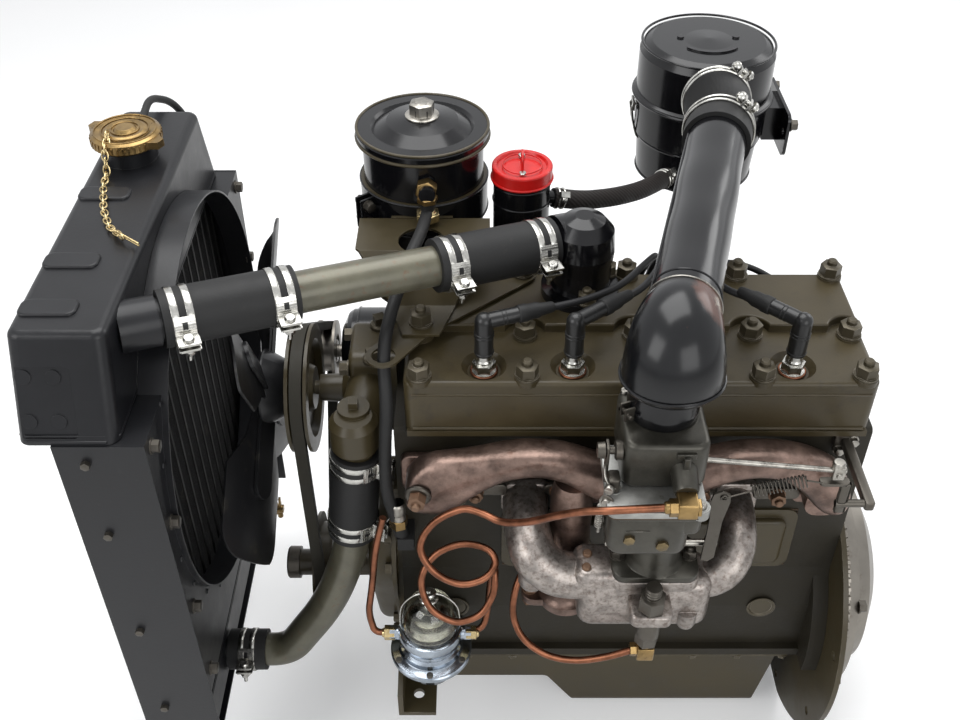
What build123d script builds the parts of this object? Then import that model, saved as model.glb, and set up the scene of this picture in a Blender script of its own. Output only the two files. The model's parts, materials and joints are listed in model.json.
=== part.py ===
from build123d import *

import os
from math import cos, hypot, pi, radians, sin, tan

# A four-cylinder side-valve engine from a light 4x4 army car, with its radiator, hoses, air cleaner,
# oil filter and fuel system, as it stands in the engine bay with the body taken away.
# Millimetres. X runs along the crankshaft, to the rear. Y is the car's right side and Z is up.
# The origin is the centre of the rear face, where the clutch housing bolts on, on the crank axis.

# Cylinders and head
BORE_PAIR_PITCH = 90.0
BORE_MIDDLE_PITCH = 133.0
FIRST_PLUG_X = -411.0
PLUG_Y = -85.0
HEAD_FRONT_X = -492.0
HEAD_REAR_X = -15.0
HEAD_NEAR_Y = -114.0
HEAD_FAR_Y = 64.0
DECK_Z = 340.0
HEAD_THICKNESS = 70.0
PLATEAU_HEIGHT = 10.0
PLATEAU_NEAR_Y = -31.0
PLUG_WELL_RADIUS = 23.0
PLUG_WELL_DEPTH = 8.0
STUD_BOSS_RADIUS = 13.0
STUD_BOSS_HEIGHT = 2.0
STUD_ROW_Y = (-104.0, -38.0, 54.0)
STUD_COLUMN_X = (-476.0, -368.0, -254.0, -133.0, -30.0)

# Block
BLOCK_FRONT_X = -505.0
BLOCK_REAR_X = -6.0
BLOCK_FAR_Y = 60.0
VALVE_FACE_Y = -106.0
CRANKCASE_HALF_WIDTH = 118.0
CRANKCASE_SHOULDER_Z = 62.0
CYLINDER_FOOT_Z = 118.0
PAN_RAIL_Z = -22.0
PAN_RAIL_HEIGHT = 12.0
PAN_RAIL_OVERHANG = 10.0
CRANK_BORE_RADIUS = 42.0
CRANK_BORE_DEPTH = 14.0
CRANK_FLANGE_CLEARANCE = 0.4
SIDE_COVER_LENGTH = 330.0
SIDE_COVER_HEIGHT = 96.0
SIDE_COVER_CENTRE_Z = 172.0
SIDE_COVER_DEPTH = 11.0

# Oil pan
PAN_DEPTH = 168.0
PAN_SHALLOW_DEPTH = 92.0
PAN_SUMP_LENGTH = 250.0
PAN_HALF_WIDTH = 104.0
PAN_DRAFT = 16.0
PAN_FLANGE = 3.0

# Plates and timing cover
FRONT_PLATE_THICKNESS = 6.0
REAR_PLATE_THICKNESS = 6.0
REAR_PLATE_RADIUS = 205.0
REAR_PLATE_FOOT_Z = -194.0
BELL_BOLT_CIRCLE = 372.0
BELL_BOLT_COUNT = 8
BELL_BOLT_START = 30.0
BELL_BOLT_HOLE_RADIUS = 5.5
MOUNT_SPACING = 360.0
MOUNT_STUD_X = -488.0
MOUNT_HOLE_RADIUS = 6.5
MOUNT_FLANGE_Z = -32.0
MOUNT_FLANGE_LENGTH = 44.0
TIMING_COVER_DEPTH = 34.0
TIMING_CRANK_RADIUS = 70.0
TIMING_CAM_RADIUS = 74.0
CAM_Y = -40.0
CAM_Z = 112.0

# Rotating parts
BELT_PLANE_X = -613.0
BELT_WIDTH = 13.0
BELT_HEIGHT = 10.0
BELT_CLEARANCE = 0.3
PULLEY_WIDTH = 24.0
GROOVE_DEPTH = 13.0
CRANK_PULLEY_RADIUS = 66.0
FAN_PULLEY_RADIUS = 73.0
GENERATOR_PULLEY_RADIUS = 40.0
FAN_AXIS_Z = 305.0
GENERATOR_Y = 176.0
GENERATOR_Z = 214.0
CRANK_NOSE_RADIUS = 17.0
WATER_SHAFT_RADIUS = 8.0
GENERATOR_SHAFT_RADIUS = 8.5
SHAFT_FIT = 0.3
FLYWHEEL_RADIUS = 158.0
FLYWHEEL_THICKNESS = 24.0
RING_GEAR_WIDTH = 11.0
RING_GEAR_RADIUS = 163.0
RING_GEAR_TEETH = 97
CLUTCH_RADIUS = 130.0
CLUTCH_DEPTH = 42.0
FLYWHEEL_CLEARANCE = 6.0
FAN_RADIUS = 198.0
FAN_BLADE_COUNT = 4
FAN_BLADE_CHORD = 108.0
FAN_BLADE_PITCH = 20.0
FAN_SHEET = 2.5
FAN_BLADE_START = 32.0
FAN_SPIDER_WIDTH = 30.0
FAN_SPIDER_SHEET = 2.0
FAN_SPIDER_REACH = 128.0
FAN_PLANE_X = -656.0

# Electrical machines
GENERATOR_RADIUS = 57.0
GENERATOR_FRONT_X = -592.0
GENERATOR_LENGTH = 165.0
STARTER_RADIUS = 52.0
STARTER_LENGTH = 250.0
STARTER_Y = 176.0
STARTER_Z = 18.0
DISTRIBUTOR_X = -205.0
DISTRIBUTOR_Y = 112.0
DISTRIBUTOR_CAP_Z = 300.0
DISTRIBUTOR_FOOT_Z = 112.0
DISTRIBUTOR_CAP_RADIUS = 40.0
COIL_X = -56.0
COIL_Y = 96.0
COIL_RADIUS = 28.0
COIL_BASE_Z = 190.0
COIL_LENGTH = 120.0

# Manifolds and fuel system
MANIFOLD_Y = -146.0
EXHAUST_RADIUS = 26.0
EXHAUST_WAIST_RADIUS = 21.0
EXHAUST_WAIST_Y = -140.0
EXHAUST_PEAK_Z = 328.0
EXHAUST_SADDLE_Z = 284.0
EXHAUST_TAIL_Z = 260.0
EXHAUST_FLANGE_Z = 112.0
EXHAUST_X = -318.0
EXHAUST_STUD_SPACING = 76.0
INTAKE_RADIUS = 19.0
INTAKE_Z = 204.0
INTAKE_PORT_X = (-366.0, -140.0)
INTAKE_PORT_Z = 246.0
CARBURETTOR_X = -235.0
CARBURETTOR_Y = -190.0
CARBURETTOR_BASE_Z = 232.0
CARBURETTOR_TOP_Z = 410.0
BARREL_RADIUS = 30.0
BOWL_RADIUS = 31.0
HORN_RADIUS = 51.0
HORN_Z = 500.0
HORN_NECK_RADIUS = 32.0
HORN_MOUTH = 34.0
AIR_TUBE_RADIUS = 32.5
AIR_TUBE_START = (-231.0, -143.0, 530.0)
AIR_TUBE_END = (-147.0, 178.0, 530.0)
FLEX_HOSE_RADIUS = 38.0
CLEANER_X = -131.0
CLEANER_Y = 365.0
CLEANER_RADIUS = 84.0
CLEANER_TOP_Z = 560.0
CLEANER_BEAD_Z = 489.0
CLEANER_BASE_Z = 372.0
CLEANER_NECK_RADIUS = 32.0
LID_ARC_RADIUS = 40.0
LID_ARC_WIDTH = 3.0
LID_ARC_HEIGHT = 2.0
CLEANER_NECK_Z = 520.0
FUEL_PUMP_X = -472.0
FUEL_PUMP_Y = -166.0
FUEL_PUMP_Z = 58.0
FUEL_PUMP_RADIUS = 47.0
GLASS_RADIUS = 29.0
GLASS_TOP_Z = 128.0
FUEL_LINE_RADIUS = 3.9

# Oil filter and filler
FILTER_X = -479.0
FILTER_Y = 170.0
FILTER_RADIUS = 68.0
FILTER_LID_Z = 545.0
FILTER_LID_RADIUS = 75.0
FILTER_BASE_Z = 322.0
FILLER_X = -368.0
FILLER_Y = 141.0
FILLER_RADIUS = 31.0
FILLER_WALL = 3.0
FILLER_TOP_Z = 494.0
FILLER_FOOT_Z = 70.0
FILLER_CAP_RADIUS = 34.0
FILLER_CAP_HEIGHT = 17.0
BREATHER_RADIUS = 11.0
DIPSTICK_RADIUS = 3.0
DIPSTICK_LENGTH = 300.0

# Cooling system
HOSE_RADIUS = 27.5
PIPE_RADIUS = 20.5
UPPER_RADIATOR_END = (-731.0, -153.0, 515.0)
UPPER_ENGINE_END = (-340.0, 24.0, 485.0)
OUTLET_X = -307.0
OUTLET_Y = 28.0
OUTLET_RADIUS = 34.0
OUTLET_TOP_Z = 517.0
PUMP_INLET_X = -547.0
PUMP_INLET_Y = -98.0
PUMP_ELBOW_Z = 328.0
PUMP_ARM_RADIUS = 23.5
PUMP_BODY_TOP_Z = 374.0
LOWER_HOSE_TOP_Z = 304.0
LOWER_HOSE_BOTTOM = (-560.0, -100.0, 178.0)
LOWER_HOSE_X = (-731.0, -684.0)
RADIATOR_OUTLET_Z = -50.0
TANK_REAR_X = -735.0
TANK_FRONT_X = -825.0
TANK_TOP_Z = 545.0
CORE_TOP_Z = 446.0
CORE_BOTTOM_Z = -16.0
RADIATOR_BOTTOM_Z = -92.0
RADIATOR_HALF_WIDTH = 240.0
TANK_TOP_HALF_WIDTH = 203.0
TANK_RIB_Y = (-168.0, -96.0, 22.0)
TANK_RIB_WIDTH = 24.0
TANK_PRESS_DEPTH = 1.8
TANK_END_PANEL = (50.0, 68.0)
TANK_DIMPLE_X = (14.0, 40.0)
CORE_REAR_X = -744.0
CORE_FRONT_X = -792.0
STRAP_THICKNESS = 3.0
SHROUD_RADIUS = 219.0
SHROUD_SHEET = 2.0
SHROUD_RING_REAR_X = -706.0
SHROUD_PANEL_X = -712.0
RADIATOR_CAP_X = -786.0
RADIATOR_CAP_Y = 100.0
RADIATOR_CAP_RADIUS = 37.0
OVERFLOW_RADIUS = 4.2
RADIATOR_FOOT_SPACING = 300.0
RADIATOR_STUD_RADIUS = 5.0
RADIATOR_STUD_LENGTH = 22.0

SEAT = 0.3

# Places worked out from the sizes above
HEAD_TOP_Z = DECK_Z + HEAD_THICKNESS
PLATEAU_Z = HEAD_TOP_Z + PLATEAU_HEIGHT
HEAD_CENTRE_X = (HEAD_FRONT_X + HEAD_REAR_X) / 2
PLUG_X = (
    FIRST_PLUG_X,
    FIRST_PLUG_X + BORE_PAIR_PITCH,
    FIRST_PLUG_X + BORE_PAIR_PITCH + BORE_MIDDLE_PITCH,
    FIRST_PLUG_X + 2 * BORE_PAIR_PITCH + BORE_MIDDLE_PITCH,
)
PLUG_SEAT_Z = HEAD_TOP_Z - PLUG_WELL_DEPTH
FRONT_PLATE_X = BLOCK_FRONT_X - FRONT_PLATE_THICKNESS
TIMING_FRONT_X = FRONT_PLATE_X - TIMING_COVER_DEPTH
BLOCK_LENGTH = BLOCK_REAR_X - BLOCK_FRONT_X
PAN_TOP_Z = PAN_RAIL_Z
GENERATOR_REAR_X = GENERATOR_FRONT_X + GENERATOR_LENGTH
SHELF_Z = 468.0
LIFTING_PLATE_THICKNESS = 2.5
LIFTING_EYE = (-512.0, -87.0)


def vector(point):
    """A point as a vector."""
    return Vector(*point)


def rod(radius, start, end):
    """A round bar from one point to another."""
    along = vector(end) - vector(start)
    section = Plane(origin=vector(start), z_dir=along) * Circle(radius)
    return extrude(section, amount=along.length)


def sleeve(outer, inner, start, end):
    """A round bar with a bore right through."""
    return rod(outer, start, end) - rod(inner, start, end)


def turned(profile, origin, along):
    """A turned piece: profile points are (distance along the axis, radius)."""
    axis = vector(along).normalized()
    side = Vector(0, 0, 1) if abs(axis.Z) < 0.9 else Vector(1, 0, 0)
    plane = Plane(origin=vector(origin), x_dir=axis, z_dir=axis.cross(side))
    points = [point for index, point in enumerate(profile) if point != profile[index - 1]]
    face = plane * make_face(Polyline(*points, close=True))
    return revolve(face, axis=Axis(vector(origin), axis), revolution_arc=360)


def plate_x(outline, x, thickness, corner=0.0):
    """A plate across the car: its outline is given as (y, z) points."""
    face = make_face(Polyline(*outline, close=True))
    if corner:
        face = fillet(face.vertices(), corner)
    return extrude(Plane.YZ.offset(x) * face, amount=thickness)


def plate_z(outline, z, thickness, corner=0.0):
    """A level plate: its outline is given as (x, y) points."""
    face = make_face(Polyline(*outline, close=True))
    if corner:
        face = fillet(face.vertices(), corner)
    return extrude(Plane.XY.offset(z) * face, amount=thickness)


def block_between(low, high):
    """A box between its lowest and highest corners."""
    size = [b - a for a, b in zip(low, high)]
    middle = [(a + b) / 2 for a, b in zip(low, high)]
    return Pos(*middle) * Box(*size)


def corner_radii(points, fraction=0.45):
    """The largest arc that each corner of a route has room for."""
    radii = []
    for before, corner, after in zip(points, points[1:], points[2:]):
        arriving = vector(corner) - vector(before)
        leaving = vector(after) - vector(corner)
        turn = radians(arriving.get_angle(leaving))
        radii.append(fraction * min(arriving.length, leaving.length) / tan(turn / 2))
    return radii


def bent_tube(points, radius, inner=0.0):
    """A tube along straight runs joined by tangent arcs."""
    path = FilletPolyline(*points, radius=corner_radii(points)) if len(points) > 2 else Line(*points)
    start = Plane(origin=path @ 0, z_dir=path % 0)
    section = start * Circle(radius)
    if inner:
        section = section - start * Circle(inner)
    return sweep(section, path=path)


def point_between(start, end, share):
    """The point a share of the way from start to end."""
    return tuple(a + (b - a) * share for a, b in zip(start, end))


def disc_hull(discs):
    """The outline of a belt around discs given as (y, z, radius)."""
    edges = []
    for y, z, radius in discs:
        edges += (Pos(y, z) * Circle(radius)).edges()
    return make_face(make_hull(edges))


def save(name, *solids):
    """Write one sub-part, as one or more solids."""
    shape = solids[0] if len(solids) == 1 else Compound(children=list(solids))
    shape.label = name
    export_step(shape, os.path.join("parts", name + ".step"))


def engine_block():
    """Cylinder block and crankcase in one casting, with its bosses and side ledges."""
    outline = [
        (VALVE_FACE_Y, DECK_Z), (BLOCK_FAR_Y, DECK_Z), (BLOCK_FAR_Y, CYLINDER_FOOT_Z),
        (CRANKCASE_HALF_WIDTH, CRANKCASE_SHOULDER_Z), (CRANKCASE_HALF_WIDTH, PAN_RAIL_Z),
        (-CRANKCASE_HALF_WIDTH, PAN_RAIL_Z), (-CRANKCASE_HALF_WIDTH, CRANKCASE_SHOULDER_Z),
        (VALVE_FACE_Y, CYLINDER_FOOT_Z),
    ]
    block = plate_x(outline, BLOCK_FRONT_X, BLOCK_LENGTH, 6.0)
    rail_half = CRANKCASE_HALF_WIDTH + PAN_RAIL_OVERHANG
    block += block_between(
        (BLOCK_FRONT_X, -rail_half, PAN_RAIL_Z),
        (BLOCK_REAR_X, rail_half, PAN_RAIL_Z + PAN_RAIL_HEIGHT),
    )
    rear_flange = Plane.YZ.offset(BLOCK_REAR_X - 18.0) * Circle(CRANKCASE_HALF_WIDTH + 34.0)
    lower_cut = block_between((-60.0, -300.0, -300.0), (10.0, 300.0, PAN_RAIL_Z))
    block += extrude(rear_flange, amount=18.0) - lower_cut
    core_plug_z = (DECK_Z + CYLINDER_FOOT_Z) / 2
    for plug_x in (PLUG_X[0], (PLUG_X[1] + PLUG_X[2]) / 2, PLUG_X[3]):
        cup = turned(
            [(-4.0, 0.0), (-4.0, 27.0), (4.0, 27.0), (4.0, 22.0), (1.0, 20.0), (1.0, 0.0)],
            (plug_x, BLOCK_FAR_Y, core_plug_z), (0, 1, 0),
        )
        block += cup
    for x, y, radius, low, top in (
        (DISTRIBUTOR_X, DISTRIBUTOR_Y, 24.0, 74.0, DISTRIBUTOR_FOOT_Z - SEAT),
        (FILLER_X, FILLER_Y, FILLER_RADIUS + 3.0, 10.0, FILLER_FOOT_Z - SEAT),
    ):
        block += rod(radius, (x, y, low), (x, y, top))
        block += block_between((x - radius, BLOCK_FAR_Y - 10.0, low), (x + radius, y, top))
    block += block_between(
        (FUEL_PUMP_X - 32.0, VALVE_FACE_Y - 16.0, FUEL_PUMP_Z - 54.0),
        (FUEL_PUMP_X + 36.0, VALVE_FACE_Y + 6.0, FUEL_PUMP_Z - 14.0),
    )
    front_bore = rod(CRANK_NOSE_RADIUS + SHAFT_FIT, (BLOCK_FRONT_X - 1.0, 0, 0), (BLOCK_FRONT_X + 30.0, 0, 0))
    rear_bore = rod(CRANK_BORE_RADIUS, (BLOCK_REAR_X - CRANK_BORE_DEPTH, 0, 0), (BLOCK_REAR_X + 1.0, 0, 0))
    starter_recess = rod(STARTER_RADIUS + 8.0, (-60.0, STARTER_Y, STARTER_Z), (1.0, STARTER_Y, STARTER_Z))
    block = block - front_bore - rear_bore - starter_recess
    save("engine_block", block)


def valve_cover():
    """The pressed cover over the valve chest, with a raised panel and a rolled edge."""
    half = SIDE_COVER_LENGTH / 2
    low_z = SIDE_COVER_CENTRE_Z - SIDE_COVER_HEIGHT / 2
    high_z = SIDE_COVER_CENTRE_Z + SIDE_COVER_HEIGHT / 2
    middle = HEAD_CENTRE_X + 28.0
    rim = Pos(middle, VALVE_FACE_Y - 1.5, SIDE_COVER_CENTRE_Z) * Box(2 * half, 3.0, high_z - low_z)
    panel = Pos(middle, VALVE_FACE_Y - SIDE_COVER_DEPTH / 2, SIDE_COVER_CENTRE_Z) * Box(
        2 * half - 24.0, SIDE_COVER_DEPTH, high_z - low_z - 24.0
    )
    panel = fillet(panel.edges().filter_by(Axis.Y), 12.0)
    panel = fillet(panel.faces().sort_by(Axis.Y)[0].edges(), 5.0)
    rim = fillet(rim.edges().filter_by(Axis.Y), 14.0)
    save("valve_chest_cover", rim + panel)


def cylinder_head():
    """The flat head: a lower shelf with plug wells and a raised back with round bays."""
    shelf = block_between(
        (HEAD_FRONT_X, HEAD_NEAR_Y, DECK_Z), (HEAD_REAR_X, HEAD_FAR_Y, HEAD_TOP_Z)
    )
    shelf = fillet(shelf.edges().filter_by(Axis.Z), 10.0)
    shelf = fillet(shelf.faces().sort_by(Axis.Z)[-1].edges(), 5.0)
    raised = block_between(
        (HEAD_FRONT_X + 4.0, PLATEAU_NEAR_Y, HEAD_TOP_Z - 10.0),
        (HEAD_REAR_X - 4.0, HEAD_FAR_Y - 4.0, PLATEAU_Z),
    )
    for stud_x in STUD_COLUMN_X[1:]:
        bay = rod(STUD_BOSS_RADIUS + 9.0, (stud_x, STUD_ROW_Y[1], HEAD_TOP_Z), (stud_x, STUD_ROW_Y[1], PLATEAU_Z + 1.0))
        raised -= bay
    raised = fillet(raised.faces().sort_by(Axis.Z)[-1].edges(), 2.5)
    head = shelf + raised
    for row, stud_y in enumerate(STUD_ROW_Y):
        for stud_x in STUD_COLUMN_X:
            tall = row == 2 or (row == 1 and stud_x == STUD_COLUMN_X[0])
            seat_z = PLATEAU_Z if tall else HEAD_TOP_Z
            head += rod(STUD_BOSS_RADIUS, (stud_x, stud_y, HEAD_TOP_Z - 4.0), (stud_x, stud_y, seat_z + STUD_BOSS_HEIGHT))
    for plug_x in PLUG_X:
        head -= turned(
            [(0.0, 0.0), (0.0, PLUG_WELL_RADIUS - 6.0), (PLUG_WELL_DEPTH, PLUG_WELL_RADIUS), (30.0, PLUG_WELL_RADIUS),
             (30.0, 0.0)],
            (plug_x, PLUG_Y, PLUG_SEAT_Z), (0, 0, 1),
        )
    ledge = block_between(
        (HEAD_FRONT_X + 2.0, HEAD_NEAR_Y - 2.0, DECK_Z), (HEAD_REAR_X - 2.0, HEAD_NEAR_Y + 6.0, DECK_Z + 7.0)
    )
    save("cylinder_head", head + ledge)


def oil_pan():
    """A pressed pan: shallow at the front and deep at the rear, on a flat flange."""
    rail_half = CRANKCASE_HALF_WIDTH + PAN_RAIL_OVERHANG
    front_x = BLOCK_FRONT_X + 8.0
    rear_x = BLOCK_REAR_X - 22.0
    side = make_face(Polyline(
        (front_x + 12.0, PAN_TOP_Z - PAN_FLANGE), (rear_x - 6.0, PAN_TOP_Z - PAN_FLANGE),
        (rear_x - 6.0 - PAN_DRAFT, PAN_TOP_Z - PAN_DEPTH),
        (rear_x - 6.0 - PAN_SUMP_LENGTH, PAN_TOP_Z - PAN_DEPTH),
        (rear_x - 50.0 - PAN_SUMP_LENGTH, PAN_TOP_Z - PAN_SHALLOW_DEPTH),
        (front_x + 12.0 + PAN_DRAFT, PAN_TOP_Z - PAN_SHALLOW_DEPTH), close=True,
    ))
    body = extrude(Plane.XZ * fillet(side.vertices(), 10.0), amount=PAN_HALF_WIDTH + 6.0, both=True)
    across = make_face(Polyline(
        (-PAN_HALF_WIDTH, PAN_TOP_Z), (PAN_HALF_WIDTH, PAN_TOP_Z),
        (PAN_HALF_WIDTH - PAN_DRAFT, PAN_TOP_Z - PAN_DEPTH - 1.0),
        (PAN_DRAFT - PAN_HALF_WIDTH, PAN_TOP_Z - PAN_DEPTH - 1.0), close=True,
    ))
    slab = extrude(Plane.YZ.offset(front_x) * fillet(across.vertices().sort_by(Axis.Y)[:2], 22.0), amount=rear_x - front_x)
    body = body & slab
    flange = block_between((front_x, -rail_half, PAN_TOP_Z - PAN_FLANGE), (rear_x, rail_half, PAN_TOP_Z))
    flange = fillet(flange.edges().filter_by(Axis.Z), 12.0)
    drain = rod(13.0, (rear_x - 90.0, 0, PAN_TOP_Z - PAN_DEPTH - 7.0), (rear_x - 90.0, 0, PAN_TOP_Z - PAN_DEPTH + 4.0))
    save("oil_pan", flange + body + drain)


def front_engine_plate():
    """The flat plate between block and timing cover, whose two arms carry the engine mounts."""
    arm_end = MOUNT_SPACING / 2 + 26.0
    half = [(arm_end, MOUNT_FLANGE_Z), (arm_end, 8.0), (134.0, 36.0), (106.0, 96.0), (92.0, 236.0)]
    mirrored = [(-y, z) for y, z in reversed(half)]
    plate = plate_x(half + mirrored, FRONT_PLATE_X, FRONT_PLATE_THICKNESS)
    for side in (-1, 1):
        inner_y = side * (MOUNT_SPACING / 2 - 26.0)
        outer_y = side * arm_end
        foot = block_between(
            (FRONT_PLATE_X, min(inner_y, outer_y), MOUNT_FLANGE_Z),
            (FRONT_PLATE_X + MOUNT_FLANGE_LENGTH, max(inner_y, outer_y), MOUNT_FLANGE_Z + FRONT_PLATE_THICKNESS),
        )
        hole_y = side * MOUNT_SPACING / 2
        foot -= rod(MOUNT_HOLE_RADIUS, (MOUNT_STUD_X, hole_y, MOUNT_FLANGE_Z - 1.0), (MOUNT_STUD_X, hole_y, MOUNT_FLANGE_Z + 20.0))
        plate += foot
    plate -= rod(CRANK_NOSE_RADIUS + 6.0, (FRONT_PLATE_X - 1.0, 0, 0), (BLOCK_FRONT_X + 1.0, 0, 0))
    save("front_engine_plate", plate)


def timing_cover():
    """The cover over the timing gears, drawn round crank and camshaft, with its flange."""
    def layer(grow, start_x, depth):
        face = disc_hull([(0.0, 0.0, TIMING_CRANK_RADIUS + grow), (CAM_Y, CAM_Z, TIMING_CAM_RADIUS + grow)])
        return extrude(Plane.YZ.offset(start_x) * face, amount=depth)

    flange = layer(12.0, FRONT_PLATE_X - 5.0, 5.0)
    dome = layer(0.0, TIMING_FRONT_X, TIMING_COVER_DEPTH)
    dome = fillet(dome.faces().sort_by(Axis.X)[0].edges(), 14.0)
    snout = rod(34.0, (TIMING_FRONT_X - 12.0, 0, 0), (TIMING_FRONT_X + 4.0, 0, 0))
    bore = rod(CRANK_NOSE_RADIUS + SHAFT_FIT, (TIMING_FRONT_X - 20.0, 0, 0), (FRONT_PLATE_X + 1.0, 0, 0))
    pan_cut = block_between(
        (TIMING_FRONT_X - 1.0, -2 * TIMING_CRANK_RADIUS, -2 * TIMING_CRANK_RADIUS),
        (FRONT_PLATE_X + 1.0, 2 * TIMING_CRANK_RADIUS, -TIMING_CRANK_RADIUS - 10.0),
    )
    save("timing_cover", flange + dome + snout - bore - pan_cut)


def rear_engine_plate():
    """The thin plate behind the block that the clutch housing bolts to."""
    face = Circle(REAR_PLATE_RADIUS) + Pos(STARTER_Y, STARTER_Z) * Circle(STARTER_RADIUS + 14.0)
    plate = extrude(Plane.YZ.offset(-REAR_PLATE_THICKNESS) * face, amount=REAR_PLATE_THICKNESS)
    below = block_between((-30.0, -300.0, -400.0), (10.0, 300.0, REAR_PLATE_FOOT_Z))
    plate = plate - below - rod(CRANK_BORE_RADIUS, (-20.0, 0, 0), (5.0, 0, 0))
    for index in range(BELL_BOLT_COUNT):
        turn = Rot(BELL_BOLT_START + 360.0 * index / BELL_BOLT_COUNT, 0, 0)
        hole = turn * rod(BELL_BOLT_HOLE_RADIUS, (-20.0, BELL_BOLT_CIRCLE / 2, 0), (5.0, BELL_BOLT_CIRCLE / 2, 0))
        plate -= hole
    save("rear_engine_plate", plate)


def flywheel():
    """Flywheel, ring gear and the domed clutch cover, turning with the crank."""
    face_x = FLYWHEEL_CLEARANCE
    wheel = turned(
        [(-FLYWHEEL_CLEARANCE - 8.0, 0.0), (-FLYWHEEL_CLEARANCE - 8.0, CRANK_BORE_RADIUS - CRANK_FLANGE_CLEARANCE),
         (0.0, CRANK_BORE_RADIUS - CRANK_FLANGE_CLEARANCE), (0.0, FLYWHEEL_RADIUS), (RING_GEAR_WIDTH, FLYWHEEL_RADIUS),
         (FLYWHEEL_THICKNESS, FLYWHEEL_RADIUS - 6.0), (FLYWHEEL_THICKNESS, 0.0)],
        (face_x, 0, 0), (1, 0, 0),
    )
    tooth_root = FLYWHEEL_RADIUS - 1.0
    pitch = 2 * pi / RING_GEAR_TEETH
    outline = [
        (radius * cos(pitch * (index + share)), radius * sin(pitch * (index + share)))
        for index in range(RING_GEAR_TEETH)
        for radius, share in ((tooth_root, -0.34), (RING_GEAR_RADIUS, -0.2), (RING_GEAR_RADIUS, 0.2), (tooth_root, 0.34))
    ]
    ring = make_face(Polyline(*outline, close=True))
    teeth = extrude(Plane.YZ.offset(face_x) * ring, amount=RING_GEAR_WIDTH)
    clutch = turned(
        [(0.0, 52.0), (0.0, CLUTCH_RADIUS + 14.0), (3.0, CLUTCH_RADIUS + 14.0), (4.0, CLUTCH_RADIUS),
         (24.0, CLUTCH_RADIUS - 10.0), (CLUTCH_DEPTH, 82.0), (CLUTCH_DEPTH, 52.0)],
        (face_x + FLYWHEEL_THICKNESS, 0, 0), (1, 0, 0),
    )
    save("flywheel", wheel + teeth + clutch)


def grooved_pulley(radius, bore, y, z, hub_front=0.0, hub_rear=0.0, hub_radius=24.0):
    """A belt pulley with a dished web and a hub."""
    half = PULLEY_WIDTH / 2
    groove_half = BELT_WIDTH / 2 + BELT_CLEARANCE
    floor = radius - GROOVE_DEPTH
    profile = [
        (-half - hub_front, bore), (-half - hub_front, hub_radius), (-half, hub_radius),
        (-half + 8.0, hub_radius + 4.0), (-half + 8.0, floor - 8.0), (-half, floor - 4.0), (-half, radius),
        (-groove_half - 1.5, radius), (-groove_half, floor), (groove_half, floor), (groove_half + 1.5, radius),
        (half, radius), (half, floor - 4.0), (half - 8.0, floor - 8.0), (half - 8.0, hub_radius + 4.0),
        (half, hub_radius), (half + hub_rear, hub_radius), (half + hub_rear, bore),
    ]
    return turned(profile, (BELT_PLANE_X, y, z), (1, 0, 0))


def crank_pulley():
    """The crank pulley with the crank's nose and its starting-handle nut."""
    pulley = grooved_pulley(CRANK_PULLEY_RADIUS, 0.0, 0.0, 0.0, hub_front=6.0, hub_rear=20.0)
    nose = rod(CRANK_NOSE_RADIUS, (BELT_PLANE_X, 0, 0), (BLOCK_FRONT_X + 20.0, 0, 0))
    nut_start = BELT_PLANE_X - PULLEY_WIDTH / 2 - 28.0
    nut = turned(
        [(0.0, 0.0), (0.0, 13.0), (4.0, 17.0), (20.0, 17.0), (24.0, 22.0), (24.0, 0.0)],
        (nut_start, 0, 0), (1, 0, 0),
    )
    save("crank_pulley", pulley + nose + nut)


def fan_pulley():
    """The fan pulley on the water pump's shaft."""
    pulley = grooved_pulley(FAN_PULLEY_RADIUS, 0.0, 0.0, FAN_AXIS_Z, hub_front=5.0)
    shaft = rod(WATER_SHAFT_RADIUS, (BELT_PLANE_X, 0, FAN_AXIS_Z), (BELT_PLANE_X + 46.0, 0, FAN_AXIS_Z))
    save("fan_pulley", pulley + shaft)


def fan_blade(turn):
    """One cambered blade of rolled sheet with a rounded tip."""
    root = 34.0
    chord = FAN_BLADE_CHORD
    plan = make_face(Polyline(
        (-23.0, root), (23.0, root), (30.0, 62.0), (chord / 2, 96.0), (chord / 2, FAN_RADIUS),
        (-chord / 2, FAN_RADIUS), (-chord / 2, 96.0), (-30.0, 62.0), close=True,
    ))
    tip_corners = plan.vertices().sort_by(Axis.Y)[-2:]
    plan = fillet(tip_corners, 34.0)
    reach = Circle(FAN_RADIUS)
    plan = plan & reach
    tall = extrude(plan, amount=60.0, both=True)
    camber_radius = 150.0
    wide = Plane.XZ * (Pos(0, camber_radius) * (Circle(camber_radius) - Circle(camber_radius - FAN_SHEET)))
    sheet = extrude(wide, amount=-FAN_RADIUS - 10.0)
    lower_half = block_between((-FAN_RADIUS, 0.0, -1.0), (FAN_RADIUS, FAN_RADIUS + 10.0, camber_radius * 0.6))
    blade = (sheet & lower_half) & tall
    pitched = Rot(0, FAN_BLADE_PITCH, 0) * blade
    facing = Plane(origin=(FAN_PLANE_X, 0, FAN_AXIS_Z), x_dir=(0, 1, 0), z_dir=(-1, 0, 0))
    return Pos(0, 0, FAN_AXIS_Z) * Rot(turn, 0, 0) * Pos(0, 0, -FAN_AXIS_Z) * (facing.location * pitched)


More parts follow.
